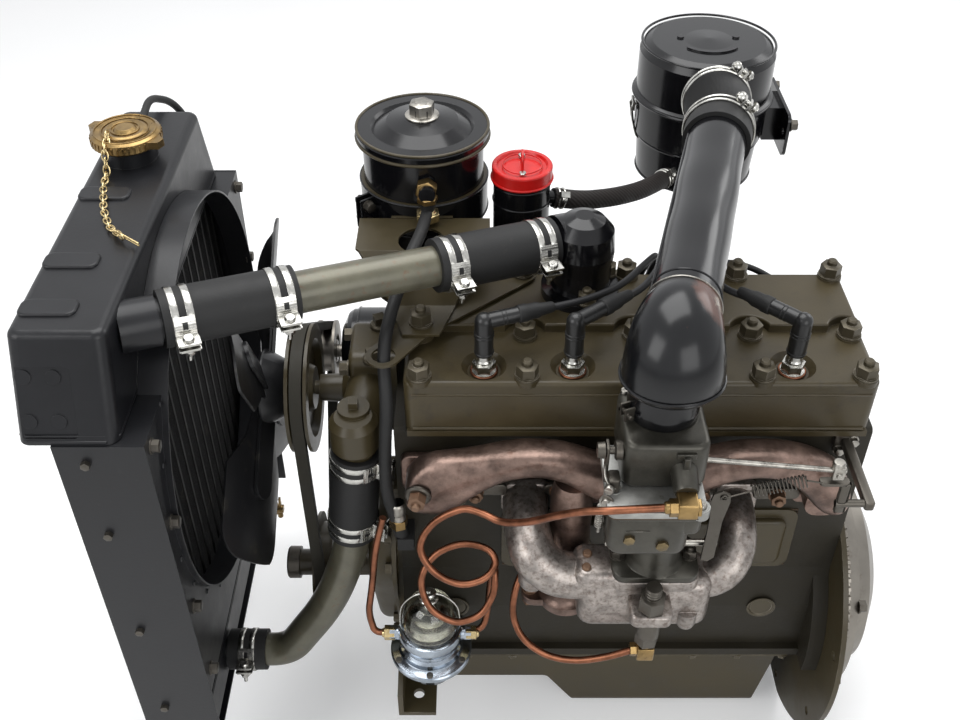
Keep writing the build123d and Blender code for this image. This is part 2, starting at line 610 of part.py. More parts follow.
def spider_arm(turn):
    """One bar of the spider: it leaves the hub flat and carries a blade's back."""
    bar = Pos(0, FAN_SPIDER_REACH / 2 + 10.0, -FAN_SPIDER_SHEET - 0.2) * Box(
        FAN_SPIDER_WIDTH, FAN_SPIDER_REACH - 20.0, 2 * FAN_SPIDER_SHEET
    )
    bar = fillet(bar.edges().filter_by(Axis.Z).group_by(Axis.Y)[-1], FAN_SPIDER_WIDTH / 2 - 1.0)
    pitched = Rot(0, FAN_BLADE_PITCH, 0) * bar
    facing = Plane(origin=(FAN_PLANE_X, 0, FAN_AXIS_Z), x_dir=(0, 1, 0), z_dir=(-1, 0, 0))
    return Pos(0, 0, FAN_AXIS_Z) * Rot(turn, 0, 0) * Pos(0, 0, -FAN_AXIS_Z) * (facing.location * pitched)


def fan():
    """Four pressed blades on a spider, bolted to the pulley's face."""
    front_x = BELT_PLANE_X - PULLEY_WIDTH / 2 - 5.0
    hub = turned(
        [(0.0, 0.0), (0.0, 40.0), (4.0, 44.0), (6.0, 44.0), (front_x - FAN_PLANE_X + 6.0, 30.0),
         (front_x - FAN_PLANE_X + 6.0, 0.0)],
        (FAN_PLANE_X - 6.0, 0, FAN_AXIS_Z), (1, 0, 0),
    )
    wheel = hub
    for index in range(FAN_BLADE_COUNT):
        turn = 360.0 * index / FAN_BLADE_COUNT + FAN_BLADE_START
        wheel += fan_blade(turn)
        wheel += spider_arm(turn)
    save("fan", wheel)


def belt_discs(inset):
    """The three pulleys that the belt runs on, less an inset."""
    return [
        (0.0, 0.0, CRANK_PULLEY_RADIUS - inset),
        (0.0, FAN_AXIS_Z, FAN_PULLEY_RADIUS - inset),
        (GENERATOR_Y, GENERATOR_Z, GENERATOR_PULLEY_RADIUS - inset),
    ]


def fan_belt():
    """The wedge belt round crank, fan and generator pulleys."""
    outer = disc_hull(belt_discs(1.0))
    inner = disc_hull(belt_discs(1.0 + BELT_HEIGHT))
    plane = Plane.YZ.offset(BELT_PLANE_X)
    loop = extrude(plane * (outer - inner), amount=BELT_WIDTH / 2, both=True)
    save("fan_belt", loop)


def generator():
    """The generator's frame with end plates, through bolts and its swinging bracket."""
    centre = (GENERATOR_FRONT_X, GENERATOR_Y, GENERATOR_Z)
    frame = turned(
        [(0.0, 0.0), (0.0, 34.0), (8.0, GENERATOR_RADIUS - 6.0), (14.0, GENERATOR_RADIUS - 2.0),
         (20.0, GENERATOR_RADIUS - 2.0), (20.0, GENERATOR_RADIUS),
         (GENERATOR_LENGTH - 34.0, GENERATOR_RADIUS), (GENERATOR_LENGTH - 34.0, GENERATOR_RADIUS + 1.5),
         (GENERATOR_LENGTH - 12.0, GENERATOR_RADIUS + 1.5), (GENERATOR_LENGTH - 12.0, GENERATOR_RADIUS - 3.0),
         (GENERATOR_LENGTH, GENERATOR_RADIUS - 9.0), (GENERATOR_LENGTH, 0.0)],
        centre, (1, 0, 0),
    )
    bore = rod(GENERATOR_SHAFT_RADIUS + SHAFT_FIT, (GENERATOR_FRONT_X - 1.0, GENERATOR_Y, GENERATOR_Z),
               (GENERATOR_FRONT_X + 40.0, GENERATOR_Y, GENERATOR_Z))
    ear_z = GENERATOR_Z - GENERATOR_RADIUS - 10.0
    ears = [
        block_between((x, GENERATOR_Y - 16.0, ear_z - 10.0), (x + 12.0, GENERATOR_Y + 4.0, GENERATOR_Z - 40.0))
        for x in (GENERATOR_FRONT_X + 14.0, GENERATOR_REAR_X - 34.0)
    ]
    terminal = rod(5.0, (GENERATOR_REAR_X - 24.0, GENERATOR_Y, GENERATOR_Z + 50.0),
                   (GENERATOR_REAR_X - 24.0, GENERATOR_Y, GENERATOR_Z + GENERATOR_RADIUS + 14.0))
    pin_y = GENERATOR_Y - 6.0
    pin_hole = rod(5.0 + SEAT, (GENERATOR_FRONT_X - 1.0, pin_y, ear_z), (GENERATOR_REAR_X + 1.0, pin_y, ear_z))
    save("generator", frame - bore + (ears[0] + ears[1] - pin_hole) + terminal)


def generator_bracket():
    """The bracket on the crankcase that the generator's ears hang on, and its slotted stay."""
    ear_z = GENERATOR_Z - GENERATOR_RADIUS - 10.0
    shelf = block_between(
        (BLOCK_FRONT_X + 4.0, CRANKCASE_HALF_WIDTH, CRANKCASE_SHOULDER_Z - 60.0),
        (GENERATOR_REAR_X - 34.0 - SEAT, CRANKCASE_HALF_WIDTH + 10.0, CRANKCASE_SHOULDER_Z + 4.0),
    )
    arm = plate_x(
        [(CRANKCASE_HALF_WIDTH + 8.0, CRANKCASE_SHOULDER_Z - 50.0), (CRANKCASE_HALF_WIDTH + 10.0, CRANKCASE_SHOULDER_Z + 4.0),
         (GENERATOR_Y - 22.0, ear_z + 7.0), (GENERATOR_Y + 6.0, ear_z + 7.0), (GENERATOR_Y + 6.0, ear_z - 8.0)],
        GENERATOR_REAR_X - 46.0 - SEAT, 12.0,
    )
    pin = rod(5.0, (GENERATOR_FRONT_X + 12.0, GENERATOR_Y - 6.0, ear_z), (GENERATOR_REAR_X - 16.0, GENERATOR_Y - 6.0, ear_z))
    save("generator_bracket", shelf + arm + pin)


def generator_pulley():
    """The generator's pulley with its cooling fan disc and shaft."""
    pulley = grooved_pulley(GENERATOR_PULLEY_RADIUS, 0.0, GENERATOR_Y, GENERATOR_Z, hub_radius=14.0)
    shaft = rod(GENERATOR_SHAFT_RADIUS, (BELT_PLANE_X - 16.0, GENERATOR_Y, GENERATOR_Z),
                (GENERATOR_FRONT_X + 24.0, GENERATOR_Y, GENERATOR_Z))
    save("generator_pulley", pulley + shaft)


def starter_motor():
    """The starter on the right side, flanged to the rear plate, with its switch on top."""
    rear_x = -REAR_PLATE_THICKNESS
    body = turned(
        [(0.0, 0.0), (0.0, STARTER_RADIUS + 6.0), (10.0, STARTER_RADIUS + 6.0), (10.0, STARTER_RADIUS - 10.0),
         (58.0, STARTER_RADIUS - 10.0), (62.0, STARTER_RADIUS), (STARTER_LENGTH - 44.0, STARTER_RADIUS),
         (STARTER_LENGTH - 44.0, STARTER_RADIUS + 1.5), (STARTER_LENGTH - 16.0, STARTER_RADIUS + 1.5),
         (STARTER_LENGTH - 16.0, STARTER_RADIUS - 2.0), (STARTER_LENGTH, STARTER_RADIUS - 8.0), (STARTER_LENGTH, 0.0)],
        (rear_x, STARTER_Y, STARTER_Z), (-1, 0, 0),
    )
    switch = block_between(
        (rear_x - 150.0, STARTER_Y - 18.0, STARTER_Z + STARTER_RADIUS - 14.0),
        (rear_x - 96.0, STARTER_Y + 18.0, STARTER_Z + STARTER_RADIUS + 20.0),
    )
    switch = fillet(switch.edges().filter_by(Axis.Z), 8.0)
    button = rod(8.0, (rear_x - 123.0, STARTER_Y, STARTER_Z + STARTER_RADIUS + 18.0),
                 (rear_x - 123.0, STARTER_Y, STARTER_Z + STARTER_RADIUS + 34.0))
    save("starter_motor", body + switch + button)


def water_pump():
    """The water pump casting on the block's face, its shaft housing and its inlet elbow."""
    front_x = PUMP_INLET_X - 10.0
    body = block_between((front_x, -34.0, FAN_AXIS_Z - 42.0), (BLOCK_FRONT_X, 40.0, PUMP_BODY_TOP_Z))
    body = fillet(body.edges().filter_by(Axis.X), 14.0)
    body = fillet(body.faces().sort_by(Axis.X)[0].edges(), 6.0)
    housing = turned(
        [(0.0, 0.0), (0.0, 15.0), (26.0, 16.5), (34.0, 26.0), (50.0, 30.0), (50.0, 0.0)],
        (BELT_PLANE_X + PULLEY_WIDTH / 2 + 6.0, 0, FAN_AXIS_Z), (1, 0, 0),
    )
    arm = rod(
        PUMP_ARM_RADIUS, (PUMP_INLET_X + 14.0, 0.0, PUMP_ELBOW_Z + 6.0),
        (PUMP_INLET_X + 2.0, PUMP_INLET_Y, PUMP_ELBOW_Z),
    )
    hose_top = (PUMP_INLET_X, PUMP_INLET_Y, LOWER_HOSE_TOP_Z)
    elbow = turned(
        [(3.0, 0.0), (3.0, PIPE_RADIUS + 2.0), (9.0, 26.0), (40.0, 26.0), (48.0, 20.0), (48.0, 0.0)], hose_top, (0, 0, 1)
    )
    neck = elbow + rod(PIPE_RADIUS, lower_point(-0.1), lower_point(0.22))
    boss_y = PUMP_INLET_Y + 10.0
    boss_top_z = PUMP_ELBOW_Z + 28.0
    boss = rod(17.0, (PUMP_INLET_X, boss_y, PUMP_ELBOW_Z), (PUMP_INLET_X, boss_y, boss_top_z))
    plug = Pos(PUMP_INLET_X, boss_y, boss_top_z + 3.0) * Box(10.0, 10.0, 10.0)
    bore = rod(WATER_SHAFT_RADIUS + SHAFT_FIT, (BELT_PLANE_X, 0, FAN_AXIS_Z), (BELT_PLANE_X + 50.0, 0, FAN_AXIS_Z))
    save("water_pump", body + housing + arm + neck + boss + plug - bore)


def exhaust_manifold():
    """The exhaust casting: two humped branches, four port flanges and a downward outlet."""
    start_x = HEAD_FRONT_X + 14.0
    end_x = HEAD_REAR_X - 32.0
    waist = (CARBURETTOR_X - 62.0, CARBURETTOR_X + 49.0)
    front_route = [
        (start_x, MANIFOLD_Y, EXHAUST_SADDLE_Z), (PLUG_X[0] - 20.0, MANIFOLD_Y, EXHAUST_PEAK_Z - 6.0),
        (PLUG_X[0] + 50.0, MANIFOLD_Y, EXHAUST_PEAK_Z - 4.0), (waist[0], MANIFOLD_Y, EXHAUST_SADDLE_Z),
    ]
    rear_route = [
        (waist[1], MANIFOLD_Y, EXHAUST_SADDLE_Z), (PLUG_X[2] + 24.0, MANIFOLD_Y, EXHAUST_PEAK_Z - 4.0),
        (PLUG_X[3] - 14.0, MANIFOLD_Y, EXHAUST_PEAK_Z - 6.0), (end_x, MANIFOLD_Y, EXHAUST_TAIL_Z),
    ]
    casting = bent_tube(front_route, EXHAUST_RADIUS) + bent_tube(rear_route, EXHAUST_RADIUS)
    casting += rod(
        EXHAUST_WAIST_RADIUS, (waist[0] - 12.0, EXHAUST_WAIST_Y, EXHAUST_SADDLE_Z),
        (waist[1] + 12.0, EXHAUST_WAIST_Y, EXHAUST_SADDLE_Z),
    )
    face_y = VALVE_FACE_Y - SEAT
    for port_x, port_z in (
        (start_x + 4.0, EXHAUST_SADDLE_Z), (waist[0], EXHAUST_SADDLE_Z), (waist[1] - 30.0, EXHAUST_SADDLE_Z),
        (end_x - 4.0, EXHAUST_TAIL_Z + 4.0),
    ):
        casting += rod(18.0, (port_x, face_y - 10.0, port_z - 4.0), (port_x, EXHAUST_WAIST_Y, port_z - 2.0))
        flange = block_between((port_x - 24.0, face_y - 10.0, port_z - 32.0), (port_x + 24.0, face_y, port_z + 26.0))
        casting += fillet(flange.edges().filter_by(Axis.Y), 12.0)
    downpipe = (EXHAUST_X, EXHAUST_WAIST_Y)
    casting += rod(EXHAUST_WAIST_RADIUS, (*downpipe, EXHAUST_FLANGE_Z), (*downpipe, EXHAUST_SADDLE_Z + 14.0))
    outlet = rod(29.0, (*downpipe, EXHAUST_FLANGE_Z), (*downpipe, EXHAUST_FLANGE_Z + 10.0))
    for side in (-1, 1):
        lug = (EXHAUST_X + side * EXHAUST_STUD_SPACING / 2, EXHAUST_WAIST_Y)
        outlet += rod(12.0, (*lug, EXHAUST_FLANGE_Z), (*lug, EXHAUST_FLANGE_Z + 10.0))
        outlet -= rod(5.0, (*lug, EXHAUST_FLANGE_Z - 1.0), (*lug, EXHAUST_FLANGE_Z + 11.0))
    casting += outlet
    casting -= rod(EXHAUST_WAIST_RADIUS - 4.0, (*downpipe, EXHAUST_FLANGE_Z - 1.0), (*downpipe, EXHAUST_FLANGE_Z + 120.0))
    save("exhaust_manifold", casting)


def intake_manifold():
    """The intake casting under the carburettor, with two arms up to the block and its heat box."""
    port_z = INTAKE_PORT_Z
    run_y = CARBURETTOR_Y + 4.0
    face_y = VALVE_FACE_Y - SEAT
    casting = bent_tube(
        [(INTAKE_PORT_X[0], face_y - 6.0, port_z), (INTAKE_PORT_X[0], run_y, port_z - 10.0),
         (CARBURETTOR_X - 20.0, run_y, INTAKE_Z)],
        INTAKE_RADIUS,
    )
    casting += bent_tube(
        [(CARBURETTOR_X + 20.0, run_y, INTAKE_Z), (INTAKE_PORT_X[1], run_y, INTAKE_Z + 8.0),
         (INTAKE_PORT_X[1], face_y - 9.0, port_z - 4.0)],
        INTAKE_RADIUS,
    )
    for port_x in INTAKE_PORT_X:
        flange = block_between((port_x - 26.0, face_y - 10.0, port_z - 22.0), (port_x + 26.0, face_y, port_z + 22.0))
        casting += fillet(flange.edges().filter_by(Axis.Y), 10.0)
    hot_box = block_between(
        (CARBURETTOR_X - 44.0, CARBURETTOR_Y - 28.0, INTAKE_Z - 50.0),
        (CARBURETTOR_X + 50.0, CARBURETTOR_Y + 28.0, CARBURETTOR_BASE_Z - 8.0),
    )
    casting += fillet(hot_box.edges(), 12.0)
    top = Pos(CARBURETTOR_X, CARBURETTOR_Y, CARBURETTOR_BASE_Z - 5.0 - SEAT) * Box(92.0, 60.0, 10.0)
    casting += fillet(top.edges().filter_by(Axis.Z), 14.0)
    save("intake_manifold", casting)


def carburettor():
    """The carburettor: flange, barrel, float bowl, pump housing, top casting and levers."""
    x, y = CARBURETTOR_X, CARBURETTOR_Y
    base = Pos(x, y, CARBURETTOR_BASE_Z + 4.0) * Box(90.0, 60.0, 8.0)
    base = fillet(base.edges().filter_by(Axis.Z), 14.0)
    throttle = rod(26.0, (x, y, CARBURETTOR_BASE_Z + 6.0), (x, y, CARBURETTOR_BASE_Z + 60.0))
    waist = block_between((x - 44.0, y - 30.0, CARBURETTOR_BASE_Z + 46.0), (x + 44.0, y + 20.0, CARBURETTOR_TOP_Z - 62.0))
    waist = fillet(waist.edges().filter_by(Axis.Z), 12.0)
    bowl = rod(BOWL_RADIUS, (x - 26.0, y - 6.0, CARBURETTOR_BASE_Z + 30.0), (x - 26.0, y - 6.0, CARBURETTOR_TOP_Z - 60.0))
    bowl = fillet(bowl.faces().sort_by(Axis.Z)[0].edges(), 8.0)
    cover = block_between((x - 50.0, y - 34.0, CARBURETTOR_TOP_Z - 64.0), (x + 40.0, y + 24.0, CARBURETTOR_TOP_Z - 28.0))
    cover = fillet(cover.edges().filter_by(Axis.Z), 14.0)
    barrel = rod(BARREL_RADIUS, (x, y, CARBURETTOR_TOP_Z - 40.0), (x, y, CARBURETTOR_TOP_Z))
    pump = rod(11.0, (x + 37.0, y - 6.0, CARBURETTOR_BASE_Z + 60.0), (x + 37.0, y - 6.0, CARBURETTOR_TOP_Z - 44.0))
    shaft = rod(4.0, (x - 52.0, y, CARBURETTOR_BASE_Z + 28.0), (x + 52.0, y, CARBURETTOR_BASE_Z + 28.0))
    save("carburettor", base + throttle + waist + bowl + cover + barrel + pump + shaft)


def throttle_linkage():
    """The throttle rod from the carburettor's lever back to its bell crank on the block."""
    x, y = CARBURETTOR_X + 56.0, CARBURETTOR_Y
    low_z = CARBURETTOR_BASE_Z + 28.0
    lever = block_between((x - 4.0 + SEAT, y - 9.0, low_z - 10.0), (x, y + 9.0, CARBURETTOR_TOP_Z - 24.0))
    lever -= rod(4.0 + SEAT, (x - 10.0, y, low_z), (x + 10.0, y, low_z))
    rod_end_x = HEAD_REAR_X - 46.0
    bar = rod(2.6, (x - 2.0, y - 6.0, CARBURETTOR_TOP_Z - 30.0), (rod_end_x, y - 6.0, CARBURETTOR_TOP_Z - 46.0))
    crank = block_between((rod_end_x - 5.0, y - 12.0, CARBURETTOR_TOP_Z - 74.0), (rod_end_x + 5.0, y - 4.0, CARBURETTOR_TOP_Z - 36.0))
    post_z = CARBURETTOR_TOP_Z - 70.0
    arm = plate_z(
        [(rod_end_x - 7.0, y - 12.0), (rod_end_x + 7.0, y - 12.0), (rod_end_x + 34.0, VALVE_FACE_Y),
         (rod_end_x + 14.0, VALVE_FACE_Y)],
        post_z - 4.0, 4.0,
    )
    save("throttle_linkage", lever + bar + crank + arm)


def horn_mouth(back=0.0):
    """The mouth of the air horn, on the crossover tube's axis, or a point that far behind it."""
    along = (vector(AIR_TUBE_END) - vector(AIR_TUBE_START)).normalized()
    return vector(AIR_TUBE_START) + along * (HORN_MOUTH - back)


def air_horn():
    """The pressed air horn: a round elbow over the carburettor with its clamp neck and mouth."""
    x, y = CARBURETTOR_X, CARBURETTOR_Y
    neck = rod(HORN_NECK_RADIUS, (x, y, CARBURETTOR_TOP_Z + SEAT), (x, y, HORN_Z - 22.0))
    bulb = Pos(x - 3.0, y + 18.0, HORN_Z) * scale(Sphere(HORN_RADIUS), by=(1.0, 0.98, 1.1))
    mouth = rod(AIR_TUBE_RADIUS + 3.5, (x - 3.0, y + 20.0, HORN_Z + 12.0), horn_mouth())
    socket = rod(AIR_TUBE_RADIUS + SEAT, horn_mouth(14.0), horn_mouth(-24.0))
    save("air_horn", neck + bulb + mouth - socket)


def crossover_tube():
    """The straight air tube from the horn over the head."""
    save("crossover_tube", rod(AIR_TUBE_RADIUS, horn_mouth(14.0 - SEAT), AIR_TUBE_END))


def hose_corner():
    """Where the crossover hose turns from the tube's axis towards the cleaner's neck."""
    return point_between(AIR_TUBE_START, AIR_TUBE_END, 1.0 + 44.0 / 331.8)


def cleaner_neck(share):
    """A point on the axis of the cleaner's neck, from the hose's corner to the cleaner's middle."""
    return point_between(hose_corner(), (CLEANER_X, CLEANER_Y, CLEANER_NECK_Z), share)


def crossover_hose():
    """The short flexible hose between air tube and cleaner."""
    start = point_between(AIR_TUBE_START, AIR_TUBE_END, 1.0 - 24.0 / 331.8)
    route = [start, hose_corner(), cleaner_neck(0.36)]
    save("crossover_hose", bent_tube(route, FLEX_HOSE_RADIUS, AIR_TUBE_RADIUS + SEAT))


def lid_arc():
    """The arc and two dimples pressed up in the cleaner's lid."""
    low_z = CLEANER_TOP_Z - 6.0
    ring = Circle(LID_ARC_RADIUS + LID_ARC_WIDTH / 2) - Circle(LID_ARC_RADIUS - LID_ARC_WIDTH / 2)
    sector = Pos(0, -LID_ARC_RADIUS) * Rectangle(1.55 * LID_ARC_RADIUS, LID_ARC_RADIUS)
    arc = extrude(Pos(CLEANER_X, CLEANER_Y, low_z) * (ring & sector), amount=LID_ARC_HEIGHT + 4.0)
    for side in (-1, 1):
        centre_x = CLEANER_X + side * LID_ARC_RADIUS * 0.86
        arc += rod(4.5, (centre_x, CLEANER_Y + 6.0, low_z), (centre_x, CLEANER_Y + 6.0, low_z + LID_ARC_HEIGHT + 4.0))
    return arc


def air_cleaner():
    """The oil-bath air cleaner: upper can, rolled bead, oil cup and its mounting strap."""
    height = CLEANER_TOP_Z - CLEANER_BASE_Z
    bead = CLEANER_BEAD_Z - CLEANER_BASE_Z
    can = turned(
        [(0.0, 0.0), (0.0, CLEANER_RADIUS - 22.0), (10.0, CLEANER_RADIUS - 9.0), (62.0, CLEANER_RADIUS - 6.0),
         (66.0, CLEANER_RADIUS - 2.0), (bead - 5.0, CLEANER_RADIUS), (bead - 3.0, CLEANER_RADIUS + 4.0),
         (bead + 3.0, CLEANER_RADIUS + 4.0), (bead + 5.0, CLEANER_RADIUS), (height - 15.0, CLEANER_RADIUS),
         (height - 6.0, CLEANER_RADIUS - 5.0), (height - 2.0, CLEANER_RADIUS - 14.0), (height - 2.0, 30.0),
         (height, 0.0)],
        (CLEANER_X, CLEANER_Y, CLEANER_BASE_Z), (0, 0, 1),
    )
    can = can + lid_arc()
    can = can + rod(CLEANER_NECK_RADIUS, cleaner_neck(0.28), cleaner_neck(0.8))
    can = can + rod(BREATHER_RADIUS - 3.0, breather_end(-14.0), breather_end(30.0))
    bracket = block_between(
        (CLEANER_X + CLEANER_RADIUS - 4.0, CLEANER_Y - 24.0, CLEANER_BASE_Z + 60.0),
        (CLEANER_X + CLEANER_RADIUS + 20.0, CLEANER_Y + 24.0, CLEANER_BEAD_Z - 12.0),
    )
    plate = block_between(
        (CLEANER_X + CLEANER_RADIUS + 16.0, CLEANER_Y - 60.0, CLEANER_BASE_Z + 54.0),
        (CLEANER_X + CLEANER_RADIUS + 20.0, CLEANER_Y + 60.0, CLEANER_BEAD_Z - 6.0),
    )
    plate = fillet(plate.edges().filter_by(Axis.X), 10.0)
    for side in (-1, 1):
        hole = (CLEANER_X + CLEANER_RADIUS, CLEANER_Y + side * 44.0, (CLEANER_BASE_Z + 54.0 + CLEANER_BEAD_Z - 6.0) / 2)
        plate -= rod(5.0, hole, (hole[0] + 40.0, hole[1], hole[2]))
    save("air_cleaner", can + bracket + plate)


def oil_filter():
    """The oil filter: a deep can with a rolled lid, its dome and centre bolt."""
    height = FILTER_LID_Z - FILTER_BASE_Z
    can = turned(
        [(0.0, 0.0), (0.0, FILTER_RADIUS - 14.0), (12.0, FILTER_RADIUS - 2.0), (16.0, FILTER_RADIUS),
         (height - 14.0, FILTER_RADIUS), (height - 12.0, FILTER_LID_RADIUS - 1.0), (height - 3.0, FILTER_LID_RADIUS),
         (height, FILTER_LID_RADIUS - 3.0), (height, FILTER_RADIUS - 10.0), (height - 3.0, FILTER_RADIUS - 13.0),
         (height + 6.0, 40.0), (height + 11.0, 16.0), (height + 11.0, 0.0)],
        (FILTER_X, FILTER_Y, FILTER_BASE_Z), (0, 0, 1),
    )
    bolt = Plane.XY.offset(FILTER_LID_Z + 10.0) * Pos(FILTER_X, FILTER_Y) * RegularPolygon(13.0, 6)
    collar = rod(9.0, (-472.0, FILTER_Y - FILTER_RADIUS + 6.0, 508.0), (-472.0, 79.0, 508.0))
    save("oil_filter", can + extrude(bolt, amount=11.0) + collar)


def oil_filter_bracket():
    """The pressed bracket from the head's studs up to the shelf and clamp of the oil filter."""
    foot_z = PLATEAU_Z + STUD_BOSS_HEIGHT + LIFTING_PLATE_THICKNESS + 2 * SEAT
    side = make_face(Polyline(
        (-58.0, foot_z), (-8.0, foot_z), (36.0, SHELF_Z - 3.0), (FILTER_Y - FILTER_RADIUS - 4.0, SHELF_Z - 3.0),
        (FILTER_Y - FILTER_RADIUS - 4.0, SHELF_Z), (34.6, SHELF_Z), (-9.4, foot_z + 3.0), (-58.0, foot_z + 3.0), close=True,
    ))
    sheet = extrude(Plane.YZ.offset(-560.0) * side, amount=180.0)
    plan = make_face(Polyline(
        (-494.0, -60.0), (-457.0, -60.0), (-440.0, -6.0), (-404.0, 40.0), (-404.0, 130.0), (-548.0, 130.0),
        (-548.0, 40.0), (-510.0, -6.0), close=True,
    ))
    plan = plan - Pos(-478.0, 54.0) * Circle(25.0)
    sheet = sheet & extrude(Plane.XY.offset(foot_z - 5.0) * plan, amount=80.0)
    clamp_low = SHELF_Z - 26.0
    clamp_high = SHELF_Z + 16.0
    clamp = sleeve(FILTER_RADIUS + 4.0, FILTER_RADIUS + SEAT, (FILTER_X, FILTER_Y, clamp_low), (FILTER_X, FILTER_Y, clamp_high))
    tab = block_between(
        (FILTER_X - 34.0, FILTER_Y - FILTER_RADIUS - 6.0, SHELF_Z - 3.0), (FILTER_X + 34.0, FILTER_Y - FILTER_RADIUS - 2.0, SHELF_Z + 2.0)
    )
    save("oil_filter_bracket", sheet + clamp + tab)


def lifting_plate():
    """The flat plate with an eye, held by a head stud in front and the water outlet behind."""
    level = PLATEAU_Z + STUD_BOSS_HEIGHT + SEAT
    strip = make_hull((Pos(STUD_COLUMN_X[0], STUD_ROW_Y[1]) * Circle(16.0)).edges() + (Pos(STUD_COLUMN_X[1], STUD_ROW_Y[2] - 2.0) * Circle(14.0)).edges())
    eye = make_hull((Pos(STUD_COLUMN_X[0], STUD_ROW_Y[1]) * Circle(16.0)).edges() + (Pos(*LIFTING_EYE) * Circle(18.0)).edges())
    plan = make_face(strip) + make_face(eye) - Pos(*LIFTING_EYE) * Circle(12.0)
    save("lifting_plate", extrude(Plane.XY.offset(level) * plan, amount=LIFTING_PLATE_THICKNESS))


def oil_filter_hoses():
    """The filter's feed hose, down through the bracket and the eye, with its brass fitting."""
    route = [
        (-472.0, 88.0, 484.0), (-478.0, 58.0, 476.0), (-490.0, 18.0, 469.0), (-506.0, -40.0, 444.0),
        (-511.0, -72.0, 433.0), (-512.0, -90.0, 418.0), (-509.0, -116.0, 384.0), (-513.0, -128.0, 330.0),
        (-515.0, -130.0, 268.0), (-504.0, -127.0, 214.0),
    ]
    hose = bent_tube(route, 6.6)
    fitting = rod(7.5, (-472.0, 88.0, 498.4), (-472.0, 88.0, 486.0)) + Pos(-472.0, 88.0, 485.0) * Sphere(7.5)
    low = route[-1]
    union = rod(8.0, (low[0] - 1.0, low[1], low[2] + 4.0), (low[0] + 3.0, low[1], low[2] - 14.0))
    elbow = block_between((low[0] - 2.0, low[1] - 9.0, low[2] - 30.0), (low[0] + 16.0, VALVE_FACE_Y - SEAT, low[2] - 12.0))
    save("oil_filter_hoses", hose + fitting + union + elbow)


def oil_filler_tube():
    """The filler and breather tube up the engine's right side, open for its dipstick."""
    foot = FILLER_FOOT_Z
    outer = turned(
        [(0.0, 0.0), (0.0, FILLER_RADIUS - 1.0), (250.0, FILLER_RADIUS - 1.0), (270.0, FILLER_RADIUS + 1.0),
         (FILLER_TOP_Z - foot, FILLER_RADIUS + 1.0), (FILLER_TOP_Z - foot, 0.0)],
        (FILLER_X, FILLER_Y, foot), (0, 0, 1),
    )
    bore = rod(FILLER_RADIUS - FILLER_WALL - 1.0, (FILLER_X, FILLER_Y, foot + 6.0), (FILLER_X, FILLER_Y, FILLER_TOP_Z + 1.0))
    spout_root = point_between(BREATHER_ROUTE[0], BREATHER_ROUTE[1], -0.3)
    spout = rod(BREATHER_RADIUS - 3.0, spout_root, point_between(BREATHER_ROUTE[0], BREATHER_ROUTE[1], 0.45))
    strap = block_between(
        (FILLER_X - 10.0, BLOCK_FAR_Y + SEAT, 250.0), (FILLER_X + 10.0, FILLER_Y - FILLER_RADIUS + 8.0, 266.0)
    )
    tube = outer + spout + strap - bore
    save("oil_filler_tube", tube)


def oil_filler_cap():
    """The red filler cap with the dipstick under it and a wire handle."""
    rim = FILLER_TOP_Z + SEAT
    cap = turned(
        [(0.0, 0.0), (0.0, FILLER_CAP_RADIUS - 1.0), (2.0, FILLER_CAP_RADIUS), (FILLER_CAP_HEIGHT - 2.0, FILLER_CAP_RADIUS),
         (FILLER_CAP_HEIGHT, FILLER_CAP_RADIUS - 2.0), (FILLER_CAP_HEIGHT, FILLER_CAP_RADIUS - 5.0),
         (FILLER_CAP_HEIGHT - 3.0, FILLER_CAP_RADIUS - 7.0), (FILLER_CAP_HEIGHT - 3.0, 0.0)],
        (FILLER_X, FILLER_Y, rim), (0, 0, 1),
    )
    plug = rod(FILLER_RADIUS - FILLER_WALL - 7.0, (FILLER_X, FILLER_Y, rim - 10.0), (FILLER_X, FILLER_Y, rim + 1.0))
    stick = rod(DIPSTICK_RADIUS, (FILLER_X, FILLER_Y, rim - DIPSTICK_LENGTH), (FILLER_X, FILLER_Y, rim))
    top = rim + FILLER_CAP_HEIGHT
    handle = bent_tube(
        [(FILLER_X, FILLER_Y - 9.0, top - 4.0), (FILLER_X, FILLER_Y - 9.0, top + 14.0),
         (FILLER_X, FILLER_Y + 9.0, top + 16.0), (FILLER_X, FILLER_Y + 9.0, top - 4.0)],
        1.6,
    )
    save("oil_filler_cap", cap + plug + stick + handle)


BREATHER_ROUTE = [
    (FILLER_X + 36.0, FILLER_Y + 5.0, 465.0), (-296.0, 156.0, 455.0), (-256.0, 186.0, 441.0),
    (-218.0, 226.0, 426.0), (-176.0, 283.0, 412.0),
]


def breather_end(beyond):
    """A point on the last run of the breather hose, that far beyond its end."""
    along = (vector(BREATHER_ROUTE[-1]) - vector(BREATHER_ROUTE[-2])).normalized()
    return vector(BREATHER_ROUTE[-1]) + along * beyond


def breather_hose():
    """The breather hose from the filler tube to the air cleaner."""
    save("breather_hose", bent_tube(BREATHER_ROUTE, BREATHER_RADIUS, BREATHER_RADIUS - 3.0 + SEAT))


